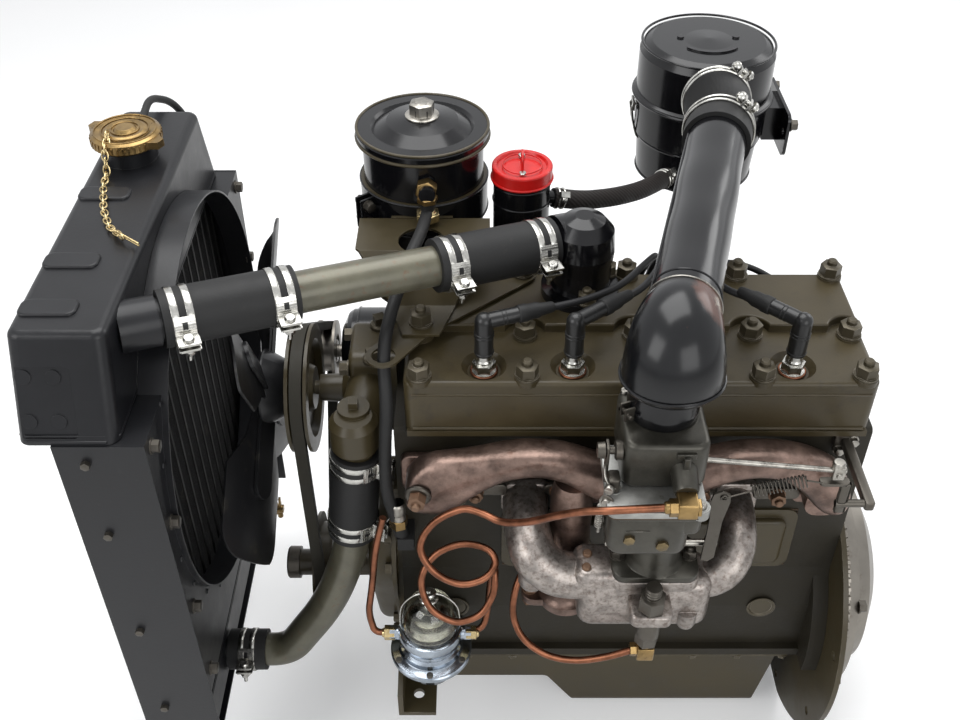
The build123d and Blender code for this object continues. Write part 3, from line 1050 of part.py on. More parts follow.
def fuel_pump():
    """The fuel pump: flanged body with its arm on the block, and the pressed lower cup."""
    x, y, z = FUEL_PUMP_X, FUEL_PUMP_Y, FUEL_PUMP_Z
    body = turned(
        [(-58.0, 0.0), (-58.0, 20.0), (-50.0, 26.0), (-22.0, 30.0), (-14.0, FUEL_PUMP_RADIUS - 3.0),
         (-12.0, FUEL_PUMP_RADIUS), (0.0, FUEL_PUMP_RADIUS), (2.0, FUEL_PUMP_RADIUS - 2.0), (8.0, 38.0),
         (22.0, 34.0), (26.0, GLASS_RADIUS + 4.0), (29.0, GLASS_RADIUS + 3.0), (29.0, 0.0)],
        (x, y, z), (0, 0, 1),
    )
    arm = block_between((x - 20.0, y, z - 46.0), (x + 20.0, VALVE_FACE_Y - 16.0, z - 16.0))
    body += fillet(arm.edges().filter_by(Axis.Y), 8.0)
    for side in (-1, 1):
        body += rod(7.5, (x + side * 20.0, y, z + 17.0), (x + side * 47.0, y, z + 17.0))
    save("fuel_pump", body)


def fuel_bowl():
    """The glass bowl on the fuel pump and the screw of its wire bail."""
    z = FUEL_PUMP_Z + 29.0 + SEAT
    height = GLASS_TOP_Z - z
    bowl = turned(
        [(0.0, 0.0), (0.0, GLASS_RADIUS), (height * 0.45, GLASS_RADIUS), (height * 0.75, GLASS_RADIUS - 6.0),
         (height * 0.95, 12.0), (height, 8.0), (height + 6.0, 8.0), (height + 6.0, 0.0)],
        (FUEL_PUMP_X, FUEL_PUMP_Y, z), (0, 0, 1),
    )
    save("fuel_bowl", bowl)


def fuel_line():
    """The copper fuel line: two open coils over the pump, then back along to the carburettor."""
    port = (FUEL_PUMP_X + 47.0 + SEAT, FUEL_PUMP_Y, FUEL_PUMP_Z + 17.0)
    route = [
        port, (-410.0, FUEL_PUMP_Y, 76.0), (-400.0, -168.0, 104.0), (-399.0, -178.0, 136.0),
        (-414.0, -194.0, 143.0), (-444.0, -202.0, 144.0), (-469.0, -196.0, 161.0), (-478.0, -182.0, 189.0),
        (-464.0, -168.0, 213.0), (-435.0, -163.0, 226.0), (-407.0, -170.0, 226.0), (-399.0, -184.0, 219.0),
        (-411.0, -198.0, 212.0), (-436.0, -205.0, 212.0), (-463.0, -200.0, 226.0), (-476.0, -188.0, 250.0),
        (-463.0, -179.0, 274.0), (-434.0, -178.0, 289.0), (-406.0, -188.0, 292.0), (-380.0, -199.0, 293.0),
        (-346.0, -208.0, 304.0), (-302.0, -220.0, 322.0), (-256.0, -235.0, 332.0), (-222.0, -235.0, 335.0),
    ]
    line = bent_tube(route, FUEL_LINE_RADIUS)
    x, y, z = route[-1]
    union = rod(6.5, (x - 12.0, y, z - 1.0), (x + 4.0, y, z))
    elbow = block_between((x + 1.0, y - 8.0, z - 9.0), (x + 18.0, CARBURETTOR_Y - 30.0 - SEAT, z + 9.0))
    save("fuel_line", line + union + elbow)


def pump_inlet_line():
    """The copper line that brings fuel up behind the hose to the pump's front port."""
    route = [
        (FUEL_PUMP_X - 47.0 - SEAT, FUEL_PUMP_Y, FUEL_PUMP_Z + 17.0), (-536.0, FUEL_PUMP_Y, 76.0), (-542.0, -160.0, 104.0),
        (-535.0, -155.0, 150.0), (-529.0, -152.0, 205.0), (-518.0, -149.0, 252.0),
    ]
    save("fuel_inlet_line", bent_tube(route, FUEL_LINE_RADIUS))


def vent_line():
    """The copper line from the valve chest round to the vent valve under the carburettor."""
    route = [
        (-362.0, VALVE_FACE_Y - SIDE_COVER_DEPTH - SEAT, 190.0), (-362.0, -150.0, 190.0), (-379.0, -178.0, 168.0), (-378.0, -180.0, 122.0),
        (-362.0, -180.0, 74.0), (-330.0, -180.0, 46.0), (-290.0, -180.0, 46.0), (-252.0, -180.0, 60.0),
        (-226.0, -180.0, 70.0),
    ]
    line = bent_tube(route, FUEL_LINE_RADIUS)
    end = route[-1]
    elbow = block_between((end[0] - 2.0, end[1] - 8.0, end[2] - 8.0), (end[0] + 16.0, end[1] + 8.0, end[2] + 10.0))
    valve = turned(
        [(0.0, 0.0), (0.0, 8.0), (10.0, 8.0), (12.0, 12.0), (34.0, 12.0), (38.0, 9.0), (62.0, 9.0), (62.0, 0.0)],
        (end[0] + 7.0, end[1], end[2] + 8.0), (0, 0, 1),
    )
    save("vent_line", line + elbow + valve)


def spark_plugs():
    """Four spark plugs: hexagon, shell and insulator."""
    plugs = []
    for plug_x in PLUG_X:
        shell = turned(
            [(0.0, 0.0), (0.0, 12.5), (3.0, 12.5), (3.0, 9.0), (16.0, 9.0), (18.0, 8.0), (24.0, 6.5), (24.0, 0.0)],
            (plug_x, PLUG_Y, PLUG_SEAT_Z), (0, 0, 1),
        )
        hexagon = Plane.XY.offset(PLUG_SEAT_Z + 3.0) * Pos(plug_x, PLUG_Y) * RegularPolygon(12.0, 6)
        plugs.append(shell + extrude(hexagon, amount=10.0))
    save("spark_plugs", *plugs)


PLUG_CAP_ARMS = (
    (34.0, 12.0, 0.0),
    (31.0, 24.0, 0.0),
    (-10.0, 38.0, 2.0),
    (-29.0, 27.0, 0.0),
)
CAP_LOW_Z = PLUG_SEAT_Z + 24.0
CAP_ELBOW_Z = 466.0
CAP_RADIUS = 9.5
PLUG_CAP_REACH = 38.0


def cap_arm_end(index, beyond=0.0):
    """The open end of one plug cap's side arm, or a point a little beyond it."""
    dx, dy, dz = PLUG_CAP_ARMS[index]
    reach = (PLUG_CAP_REACH + beyond) / hypot(dx, dy)
    return (PLUG_X[index] + dx * reach, PLUG_Y + dy * reach, CAP_ELBOW_Z + dz)


def plug_caps():
    """Four elbow caps on the plugs, their arms turned towards the distributor."""
    caps = []
    for index, plug_x in enumerate(PLUG_X):
        end = cap_arm_end(index)
        stem = rod(CAP_RADIUS, (plug_x, PLUG_Y, CAP_LOW_Z), (plug_x, PLUG_Y, CAP_ELBOW_Z))
        arm = rod(CAP_RADIUS - 1.5, (plug_x, PLUG_Y, CAP_ELBOW_Z), end)
        knee = Pos(plug_x, PLUG_Y, CAP_ELBOW_Z) * Sphere(CAP_RADIUS)
        caps.append(stem + arm + knee)
    save("plug_caps", *caps)


def ignition_leads():
    """Four plug leads and the coil lead, held between caps, distributor and coil."""
    tower_z = DISTRIBUTOR_CAP_Z + 46.0 + SEAT
    routes = []
    crossing = (
        [(-310.0, -46.0, 462.0), (-268.0, -12.0, 456.0), (-232.0, 42.0, 452.0), (-216.0, 84.0, 430.0)],
        [(-250.0, -30.0, 464.0), (-230.0, 4.0, 464.0), (-214.0, 46.0, 462.0), (-202.0, 84.0, 432.0)],
        [(-198.0, 6.0, 470.0), (-195.0, 46.0, 470.0), (-190.0, 82.0, 440.0)],
        [(-168.0, -24.0, 462.0), (-180.0, 14.0, 462.0), (-184.0, 56.0, 452.0), (-186.0, 92.0, 418.0)],
    )
    towers = ((-20.0, -16.0), (-20.0, 14.0), (18.0, 12.0), (18.0, -16.0))
    leads = []
    for index, middle in enumerate(crossing):
        dx, dy = towers[index]
        tower = (DISTRIBUTOR_X + dx, DISTRIBUTOR_Y + dy, tower_z)
        leads.append([cap_arm_end(index, 1.2), *middle, (tower[0], tower[1], tower_z + 34.0), tower])
    leads = [bent_tube(route, 3.7) for route in leads]
    coil_top = (COIL_X, COIL_Y, COIL_BASE_Z + COIL_LENGTH + 22.0 + SEAT)
    centre = (DISTRIBUTOR_X, DISTRIBUTOR_Y, tower_z)
    coil_lead = bent_tube(
        [centre, (DISTRIBUTOR_X, DISTRIBUTOR_Y, tower_z + 26.0), (-160.0, 124.0, tower_z + 46.0),
         (-104.0, 122.0, tower_z + 44.0), (COIL_X, COIL_Y, tower_z + 26.0), coil_top],
        3.7,
    )
    save("ignition_leads", *leads, coil_lead)


def distributor():
    """The distributor: shank, housing, vacuum-free body and moulded cap with five towers."""
    x, y = DISTRIBUTOR_X, DISTRIBUTOR_Y
    low_z = DISTRIBUTOR_FOOT_Z
    body = turned(
        [(0.0, 0.0), (0.0, 15.0), (80.0, 15.0), (96.0, 30.0), (124.0, DISTRIBUTOR_CAP_RADIUS - 3.0),
         (DISTRIBUTOR_CAP_Z - 22.0 - low_z, DISTRIBUTOR_CAP_RADIUS - 3.0), (DISTRIBUTOR_CAP_Z - 22.0 - low_z, DISTRIBUTOR_CAP_RADIUS),
         (DISTRIBUTOR_CAP_Z + 8.0 - low_z, DISTRIBUTOR_CAP_RADIUS), (DISTRIBUTOR_CAP_Z + 18.0 - low_z, 33.0),
         (DISTRIBUTOR_CAP_Z + 22.0 - low_z, 0.0)],
        (x, y, low_z), (0, 0, 1),
    )
    for dx, dy in ((0.0, 0.0), (-20.0, -16.0), (-20.0, 14.0), (18.0, 12.0), (18.0, -16.0)):
        body += rod(7.5, (x + dx, y + dy, DISTRIBUTOR_CAP_Z + 4.0), (x + dx, y + dy, DISTRIBUTOR_CAP_Z + 46.0))
    save("distributor", body)


def ignition_coil():
    """The coil in its strap on the block's right side."""
    can = turned(
        [(0.0, 0.0), (0.0, COIL_RADIUS - 4.0), (4.0, COIL_RADIUS), (COIL_LENGTH - 14.0, COIL_RADIUS),
         (COIL_LENGTH - 8.0, COIL_RADIUS - 3.0), (COIL_LENGTH, 12.0), (COIL_LENGTH + 22.0, 9.0), (COIL_LENGTH + 22.0, 0.0)],
        (COIL_X, COIL_Y, COIL_BASE_Z), (0, 0, 1),
    )
    strap = block_between(
        (COIL_X - 10.0, BLOCK_FAR_Y + SEAT, COIL_BASE_Z + 30.0), (COIL_X + 10.0, COIL_Y - COIL_RADIUS + 6.0, COIL_BASE_Z + 74.0)
    )
    save("ignition_coil", can + strap)


def water_outlet():
    """The domed outlet elbow on the head that the upper hose leaves from."""
    along = (vector(UPPER_RADIATOR_END) - vector(UPPER_ENGINE_END)).normalized()
    stem = turned(
        [(0.0, 0.0), (0.0, OUTLET_RADIUS + 8.0), (10.0, OUTLET_RADIUS + 8.0), (12.0, OUTLET_RADIUS - 2.0),
         (36.0, OUTLET_RADIUS - 2.0), (56.0, OUTLET_RADIUS), (80.0, OUTLET_RADIUS - 2.0), (92.0, OUTLET_RADIUS - 12.0),
         (OUTLET_TOP_Z - PLATEAU_Z, 10.0), (OUTLET_TOP_Z - PLATEAU_Z, 0.0)],
        (OUTLET_X, OUTLET_Y, PLATEAU_Z), (0, 0, 1),
    )
    start = upper_point(OUTLET_X - 12.0)
    tip = vector(UPPER_ENGINE_END) + along * 26.0
    neck = rod(PIPE_RADIUS, start, tip)
    shoulder = rod(PIPE_RADIUS + 8.0, start, vector(UPPER_ENGINE_END) - along * 4.0)
    save("water_outlet", stem + neck + shoulder)


def upper_point(x):
    """The point of the upper hose line at a given X."""
    share = (x - UPPER_RADIATOR_END[0]) / (UPPER_ENGINE_END[0] - UPPER_RADIATOR_END[0])
    return point_between(UPPER_RADIATOR_END, UPPER_ENGINE_END, share)


HOSE_A_X = (-707.0, -592.0)
HOSE_B_X = (-461.0, -341.0)
PIPE_X = (-628.0, -430.0)


def upper_line():
    """The two upper hoses and the steel pipe between them."""
    hoses = []
    for start_x, end_x in (HOSE_A_X, HOSE_B_X):
        hoses.append(sleeve(HOSE_RADIUS, PIPE_RADIUS + SEAT, upper_point(start_x), upper_point(end_x)))
    save("upper_hoses", *hoses)
    save("upper_pipe", sleeve(PIPE_RADIUS, PIPE_RADIUS - 2.5, upper_point(PIPE_X[0]), upper_point(PIPE_X[1])))


def lower_point(share):
    """A point on the straight axis of the hose under the pump."""
    return point_between((PUMP_INLET_X, PUMP_INLET_Y, LOWER_HOSE_TOP_Z), LOWER_HOSE_BOTTOM, share)


def lower_line():
    """The lower hose at the pump, the bent steel pipe and the hose at the radiator."""
    inner = PIPE_RADIUS + SEAT
    upper_hose = sleeve(HOSE_RADIUS, inner, lower_point(0.0), lower_point(1.0))
    start, end = [(x, LOWER_HOSE_BOTTOM[1], RADIATOR_OUTLET_Z) for x in LOWER_HOSE_X]
    save("lower_hoses", upper_hose, sleeve(HOSE_RADIUS - 2.0, inner, start, end))
    route = [
        lower_point(0.78), lower_point(1.25), (-595.0, LOWER_HOSE_BOTTOM[1], 49.0),
        (-656.0, LOWER_HOSE_BOTTOM[1], RADIATOR_OUTLET_Z), (-704.0, LOWER_HOSE_BOTTOM[1], RADIATOR_OUTLET_Z),
    ]
    save("lower_pipe", bent_tube(route, PIPE_RADIUS, PIPE_RADIUS - 2.5))


def clamp(centre, along, radius, worm):
    """A double-band hose clamp with its screw block."""
    axis = vector(along).normalized()
    middle = vector(centre)
    bands = []
    for shift in (-6.5, 6.5):
        at = middle + axis * shift
        bands.append(sleeve(radius + 1.6, radius + 0.1, at - axis * 3.2, at + axis * 3.2))
    out = vector(worm).normalized()
    block_centre = middle + out * (radius + 7.8)
    plane = Plane(origin=block_centre, x_dir=axis, z_dir=out)
    block = plane.location * Box(20.0, 9.0, 12.0)
    return [bands[0] + bands[1] + block]


def hose_clamps():
    """Clamps on every hose end: two bands each, screw block hanging below."""
    along = vector(UPPER_ENGINE_END) - vector(UPPER_RADIATOR_END)
    down = Vector(0, -0.35, -1)
    pieces = []
    for clamp_x in (HOSE_A_X[0] + 16.0, HOSE_A_X[1] - 14.0, HOSE_B_X[0] + 16.0, HOSE_B_X[1] - 15.0):
        pieces += clamp(upper_point(clamp_x), along, HOSE_RADIUS, down)
    lower_along = vector(lower_point(0.0)) - vector(lower_point(1.0))
    for share in (0.12, 0.86):
        pieces += clamp(lower_point(share), lower_along, HOSE_RADIUS, Vector(1, -0.25, 0))
    centre = (sum(LOWER_HOSE_X) / 2, LOWER_HOSE_BOTTOM[1], RADIATOR_OUTLET_Z)
    pieces += clamp(centre, Vector(1, 0, 0), HOSE_RADIUS - 2.0, Vector(0, -1, 0.2))
    save("hose_clamps", *pieces)


def tank_section(half_y, front_x, rear_x, z, corner):
    """One level outline of the top tank."""
    face = Rectangle(rear_x - front_x, 2 * half_y)
    face = fillet(face.vertices(), corner)
    return Plane.XY.offset(z) * Pos((rear_x + front_x) / 2, 0) * face


def tank_end_plane(side):
    """The middle of a sloped end of the top tank, facing out."""
    rise = TANK_TOP_Z - CORE_TOP_Z
    lean = RADIATOR_HALF_WIDTH - 2.0 - TANK_TOP_HALF_WIDTH
    middle = (TANK_FRONT_X, side * (TANK_TOP_HALF_WIDTH + lean / 2), CORE_TOP_Z + rise / 2)
    return Plane(origin=middle, x_dir=(1, 0, 0), z_dir=(0, side * rise, lean))


def tank_end_panel(side):
    """The shallow pocket pressed into the front two thirds of a sloped end."""
    width = TANK_END_PANEL[0] + 20.0
    pocket = Pos(width / 2 - 14.0, -12.0) * Rectangle(width, TANK_END_PANEL[1])
    pocket = fillet(pocket.vertices(), 4.0)
    plane = tank_end_plane(side)
    return extrude(plane * pocket, amount=10.0) + extrude(plane * pocket, amount=-TANK_PRESS_DEPTH)


def tank_end_dimples(side):
    """Four round studs that stand in the pocket of an end."""
    plane = tank_end_plane(side)
    studs = []
    for across in TANK_DIMPLE_X:
        for up in (-30.0, 12.0):
            stud = extrude(plane.offset(-TANK_PRESS_DEPTH - 1.0) * (Pos(across, up) * Circle(7.0)), amount=2.2)
            studs.append(stud)
    return studs


def radiator_top_tank():
    """The soldered top tank: sloped ends, rounded edges, pressed ribs, inlet neck and filler."""
    tank = loft([
        tank_section(RADIATOR_HALF_WIDTH - 2.0, TANK_FRONT_X, TANK_REAR_X, CORE_TOP_Z + SEAT, 12.0),
        tank_section(TANK_TOP_HALF_WIDTH, TANK_FRONT_X + 3.0, TANK_REAR_X, TANK_TOP_Z, 12.0),
    ])
    tank = fillet(tank.faces().sort_by(Axis.Z)[-1].edges(), 8.0)
    for rib_y in TANK_RIB_Y:
        rib = block_between(
            (TANK_FRONT_X + 6.0, rib_y - TANK_RIB_WIDTH / 2, TANK_TOP_Z - 4.0),
            (TANK_REAR_X - 32.0, rib_y + TANK_RIB_WIDTH / 2, TANK_TOP_Z + 3.0),
        )
        rib = fillet(rib.edges().filter_by(Axis.Z), 8.0)
        tank += fillet(rib.faces().sort_by(Axis.Z)[-1].edges(), 2.5)
    for side in (-1, 1):
        tank -= tank_end_panel(side)
        for dimple in tank_end_dimples(side):
            tank += dimple
    inlet = vector(UPPER_RADIATOR_END)
    along = (vector(UPPER_ENGINE_END) - inlet).normalized()
    tank += rod(PIPE_RADIUS + 3.5, inlet - along * 12.0, inlet + along * 24.0)
    tank += rod(PIPE_RADIUS, inlet, inlet + along * 56.0)
    tank += rod(29.0, (RADIATOR_CAP_X, RADIATOR_CAP_Y, TANK_TOP_Z - 4.0), (RADIATOR_CAP_X, RADIATOR_CAP_Y, TANK_TOP_Z + 18.0))
    tank += rod(4.5, (RADIATOR_CAP_X, RADIATOR_CAP_Y + 20.0, TANK_TOP_Z + 12.0), (RADIATOR_CAP_X, RADIATOR_CAP_Y + 38.0, TANK_TOP_Z + 12.0))
    save("radiator_top_tank", tank)


def radiator_cap():
    """The brass filler cap: fluted skirt, stepped top and two ears."""
    base = TANK_TOP_Z + 18.0 + SEAT
    cap = turned(
        [(0.0, 0.0), (0.0, RADIATOR_CAP_RADIUS - 2.0), (2.0, RADIATOR_CAP_RADIUS), (11.0, RADIATOR_CAP_RADIUS - 1.0),
         (13.0, RADIATOR_CAP_RADIUS - 4.0), (12.0, 26.0), (14.0, 20.0), (13.0, 12.0), (16.0, 9.0), (16.0, 0.0)],
        (RADIATOR_CAP_X, RADIATOR_CAP_Y, base), (0, 0, 1),
    )
    for side in (-1, 1):
        ear = plate_z(
            [(side * (RADIATOR_CAP_RADIUS - 8.0), -12.0), (side * (RADIATOR_CAP_RADIUS - 8.0), 12.0),
             (side * (RADIATOR_CAP_RADIUS + 8.0), 5.0), (side * (RADIATOR_CAP_RADIUS + 8.0), -5.0)],
            base + 2.0, 8.0,
        )
        cap += Pos(RADIATOR_CAP_X, RADIATOR_CAP_Y, 0) * Rot(0, 0, -25.0) * ear
    save("radiator_cap", cap)


def radiator_core():
    """The core: flat water tubes between headers, with the fin stack set back."""
    half = RADIATOR_HALF_WIDTH - 14.0
    stack = block_between((CORE_FRONT_X + 4.0, -half, CORE_BOTTOM_Z), (CORE_REAR_X - 4.0, half, CORE_TOP_Z))
    ribs = []
    count = 18
    for index in range(count):
        y = -half + (index + 0.5) * 2 * half / count
        ribs.append(block_between((CORE_FRONT_X, y - 2.5, CORE_BOTTOM_Z), (CORE_REAR_X, y + 2.5, CORE_TOP_Z)))
    core = stack
    for rib in ribs:
        core += rib
    save("radiator_core", core)


def radiator_bottom_tank():
    """The bottom tank with its outlet neck and drain tap."""
    body = block_between(
        (CORE_FRONT_X - 8.0, -RADIATOR_HALF_WIDTH + 15.0, RADIATOR_BOTTOM_Z + 12.0),
        (CORE_REAR_X + 10.0, RADIATOR_HALF_WIDTH - 15.0, CORE_BOTTOM_Z - SEAT),
    )
    body = fillet(body.edges().filter_by(Axis.Z), 14.0)
    body = fillet(body.faces().sort_by(Axis.Z)[0].edges(), 12.0)
    body += rod(PIPE_RADIUS, (CORE_REAR_X, -100.0, RADIATOR_OUTLET_Z), (CORE_REAR_X + 36.0, -100.0, RADIATOR_OUTLET_Z))
    body += rod(7.0, (CORE_REAR_X, 150.0, RADIATOR_OUTLET_Z - 12.0), (CORE_REAR_X + 34.0, 150.0, RADIATOR_OUTLET_Z - 12.0))
    save("radiator_bottom_tank", body)


def radiator_straps():
    """The two side channels and the bottom rail that carry the core, with their studs."""
    channels = []
    for side in (-1, 1):
        wall = side * RADIATOR_HALF_WIDTH
        inner = side * (RADIATOR_HALF_WIDTH - STRAP_THICKNESS)
        deep = side * (RADIATOR_HALF_WIDTH - 13.0)
        web = block_between(
            (CORE_FRONT_X - 3.0, min(wall, inner), RADIATOR_BOTTOM_Z + 3.0), (SHROUD_PANEL_X, max(wall, inner), CORE_TOP_Z)
        )
        front = block_between(
            (CORE_FRONT_X - 3.0, min(wall, deep), RADIATOR_BOTTOM_Z + 3.0), (CORE_FRONT_X - SEAT, max(wall, deep), CORE_TOP_Z)
        )
        channels.append(web + front)
    rail = block_between(
        (CORE_FRONT_X - 3.0, -RADIATOR_HALF_WIDTH, RADIATOR_BOTTOM_Z), (CORE_REAR_X + 12.0, RADIATOR_HALF_WIDTH, RADIATOR_BOTTOM_Z + 3.0)
    )
    frame = channels[0] + channels[1] + rail
    for side in (-1, 1):
        y = side * RADIATOR_FOOT_SPACING / 2
        x = (CORE_FRONT_X + CORE_REAR_X) / 2
        frame += rod(RADIATOR_STUD_RADIUS, (x, y, RADIATOR_BOTTOM_Z - RADIATOR_STUD_LENGTH), (x, y, RADIATOR_BOTTOM_Z + 1.0))
        frame += rod(16.0, (x, y, RADIATOR_BOTTOM_Z - 6.0), (x, y, RADIATOR_BOTTOM_Z + 1.0))
        frame += rod(10.0, (x, y, RADIATOR_BOTTOM_Z), (x, y, RADIATOR_BOTTOM_Z + 12.0 - SEAT))
    save("radiator_side_straps", frame)


def fan_shroud():
    """The sheet shroud: a flat panel with folded edges and a short ring round the fan."""
    low_z = 66.0
    half = RADIATOR_HALF_WIDTH - STRAP_THICKNESS - SEAT
    front_x = CORE_REAR_X + SEAT
    outer = block_between((front_x, -half, low_z), (SHROUD_PANEL_X, half, CORE_TOP_Z - SEAT))
    inner = block_between(
        (front_x - 1.0, -half + SHROUD_SHEET, low_z + SHROUD_SHEET),
        (SHROUD_PANEL_X - SHROUD_SHEET, half - SHROUD_SHEET, CORE_TOP_Z - SHROUD_SHEET),
    )
    ring_front_x = TANK_REAR_X + SEAT
    box = outer - inner
    ring = rod(SHROUD_RADIUS + SHROUD_SHEET, (ring_front_x, 0, FAN_AXIS_Z), (SHROUD_RING_REAR_X, 0, FAN_AXIS_Z))
    hole = rod(SHROUD_RADIUS, (ring_front_x - 20.0, 0, FAN_AXIS_Z), (SHROUD_RING_REAR_X + 5.0, 0, FAN_AXIS_Z))
    save("fan_shroud", box + ring - hole)


def overflow_hose():
    """The overflow hose from the filler neck over the tank's far end and down the strap."""
    spout_z = TANK_TOP_Z + 12.0
    strap_y = RADIATOR_HALF_WIDTH + OVERFLOW_RADIUS + 0.4
    route = [
        (RADIATOR_CAP_X, RADIATOR_CAP_Y + 38.0 + SEAT, spout_z), (RADIATOR_CAP_X, RADIATOR_CAP_Y + 66.0, spout_z),
        (RADIATOR_CAP_X, TANK_TOP_HALF_WIDTH - 3.0, TANK_TOP_Z + 17.0),
        (RADIATOR_CAP_X + 14.0, RADIATOR_HALF_WIDTH - 4.0, TANK_TOP_Z - 5.0),
        (RADIATOR_CAP_X + 26.0, strap_y + 7.4, TANK_TOP_Z - 45.0), (RADIATOR_CAP_X + 30.0, strap_y + 7.4, TANK_TOP_Z - 105.0),
        (RADIATOR_CAP_X + 29.0, strap_y + 1.4, TANK_TOP_Z - 173.0), (RADIATOR_CAP_X + 26.0, strap_y, TANK_TOP_Z - 245.0),
        (RADIATOR_CAP_X + 26.0, strap_y, TANK_TOP_Z - 345.0),
    ]
    save("overflow_hose", bent_tube(route, OVERFLOW_RADIUS))


def main():
    """Build every sub-part and write it."""
    os.makedirs("parts", exist_ok=True)
    for build in (
        engine_block, valve_cover, cylinder_head, oil_pan, front_engine_plate, timing_cover, rear_engine_plate,
        flywheel, crank_pulley, fan_pulley, fan, fan_belt, generator, generator_bracket, generator_pulley,
        starter_motor, water_pump, exhaust_manifold, intake_manifold, carburettor, throttle_linkage, air_horn,
        crossover_tube, crossover_hose, air_cleaner, oil_filter, oil_filter_bracket, lifting_plate,
        oil_filter_hoses, oil_filler_tube, oil_filler_cap, breather_hose, fuel_pump, fuel_bowl, fuel_line,
        pump_inlet_line, vent_line, spark_plugs, plug_caps, ignition_leads, distributor, ignition_coil,
        water_outlet, upper_line, lower_line, hose_clamps, radiator_top_tank, radiator_cap, radiator_core,
        radiator_bottom_tank, radiator_straps, fan_shroud, overflow_hose,
    ):
        build()


main()
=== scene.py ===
"""Looks of a side-valve car engine with its radiator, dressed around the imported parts.

Lengths are metres in the engine's own frame: +X to the rear, +Y to the car's right, +Z up.
"""

import json
import logging
import math
from collections.abc import Iterable
from dataclasses import dataclass
from enum import Enum

import bmesh
import bpy
from mathutils import Matrix, Vector
from mathutils.bvhtree import BVHTree


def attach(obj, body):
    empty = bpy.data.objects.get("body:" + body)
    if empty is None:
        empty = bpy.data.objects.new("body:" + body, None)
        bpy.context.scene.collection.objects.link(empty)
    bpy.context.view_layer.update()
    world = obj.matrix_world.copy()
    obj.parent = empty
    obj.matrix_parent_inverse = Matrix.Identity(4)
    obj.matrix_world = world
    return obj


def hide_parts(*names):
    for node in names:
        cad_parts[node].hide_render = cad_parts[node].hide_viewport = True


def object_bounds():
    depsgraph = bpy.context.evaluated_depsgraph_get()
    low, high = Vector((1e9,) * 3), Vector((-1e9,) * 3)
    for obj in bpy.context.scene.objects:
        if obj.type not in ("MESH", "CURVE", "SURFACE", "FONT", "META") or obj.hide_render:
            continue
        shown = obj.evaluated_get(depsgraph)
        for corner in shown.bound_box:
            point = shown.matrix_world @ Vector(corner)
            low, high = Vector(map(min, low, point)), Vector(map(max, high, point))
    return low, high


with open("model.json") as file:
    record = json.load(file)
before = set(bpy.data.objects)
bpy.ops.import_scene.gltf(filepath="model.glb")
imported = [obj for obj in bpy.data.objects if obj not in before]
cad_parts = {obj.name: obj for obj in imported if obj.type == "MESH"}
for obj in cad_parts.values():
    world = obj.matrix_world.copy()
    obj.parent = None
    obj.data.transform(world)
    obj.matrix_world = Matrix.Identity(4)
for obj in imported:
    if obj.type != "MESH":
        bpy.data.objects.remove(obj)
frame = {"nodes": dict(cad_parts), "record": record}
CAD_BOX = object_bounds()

log = logging.getLogger("engine")

MM = 0.001
UP = Vector((0.0, 0.0, 1.0))
RIGHT = Vector((0.0, 1.0, 0.0))
REAR = Vector((1.0, 0.0, 0.0))
ENGINE = "engine"
FIRST_NUMBER, SECOND_NUMBER = 2, 3
FIRST_COLOUR, SECOND_COLOUR, MIXED_COLOUR = 6, 7, 2
Point = tuple[float, float, float]
Spot = tuple[float, float]
Ring = list[bmesh.types.BMVert]
Colour = tuple[float, float, float]
Socket = bpy.types.NodeSocket


class Surface(Enum):
    """How a finish breaks up up close."""

    SMOOTH = "smooth"
    CAST = "cast"
    GRAINED = "grained"
    MESHED = "meshed"


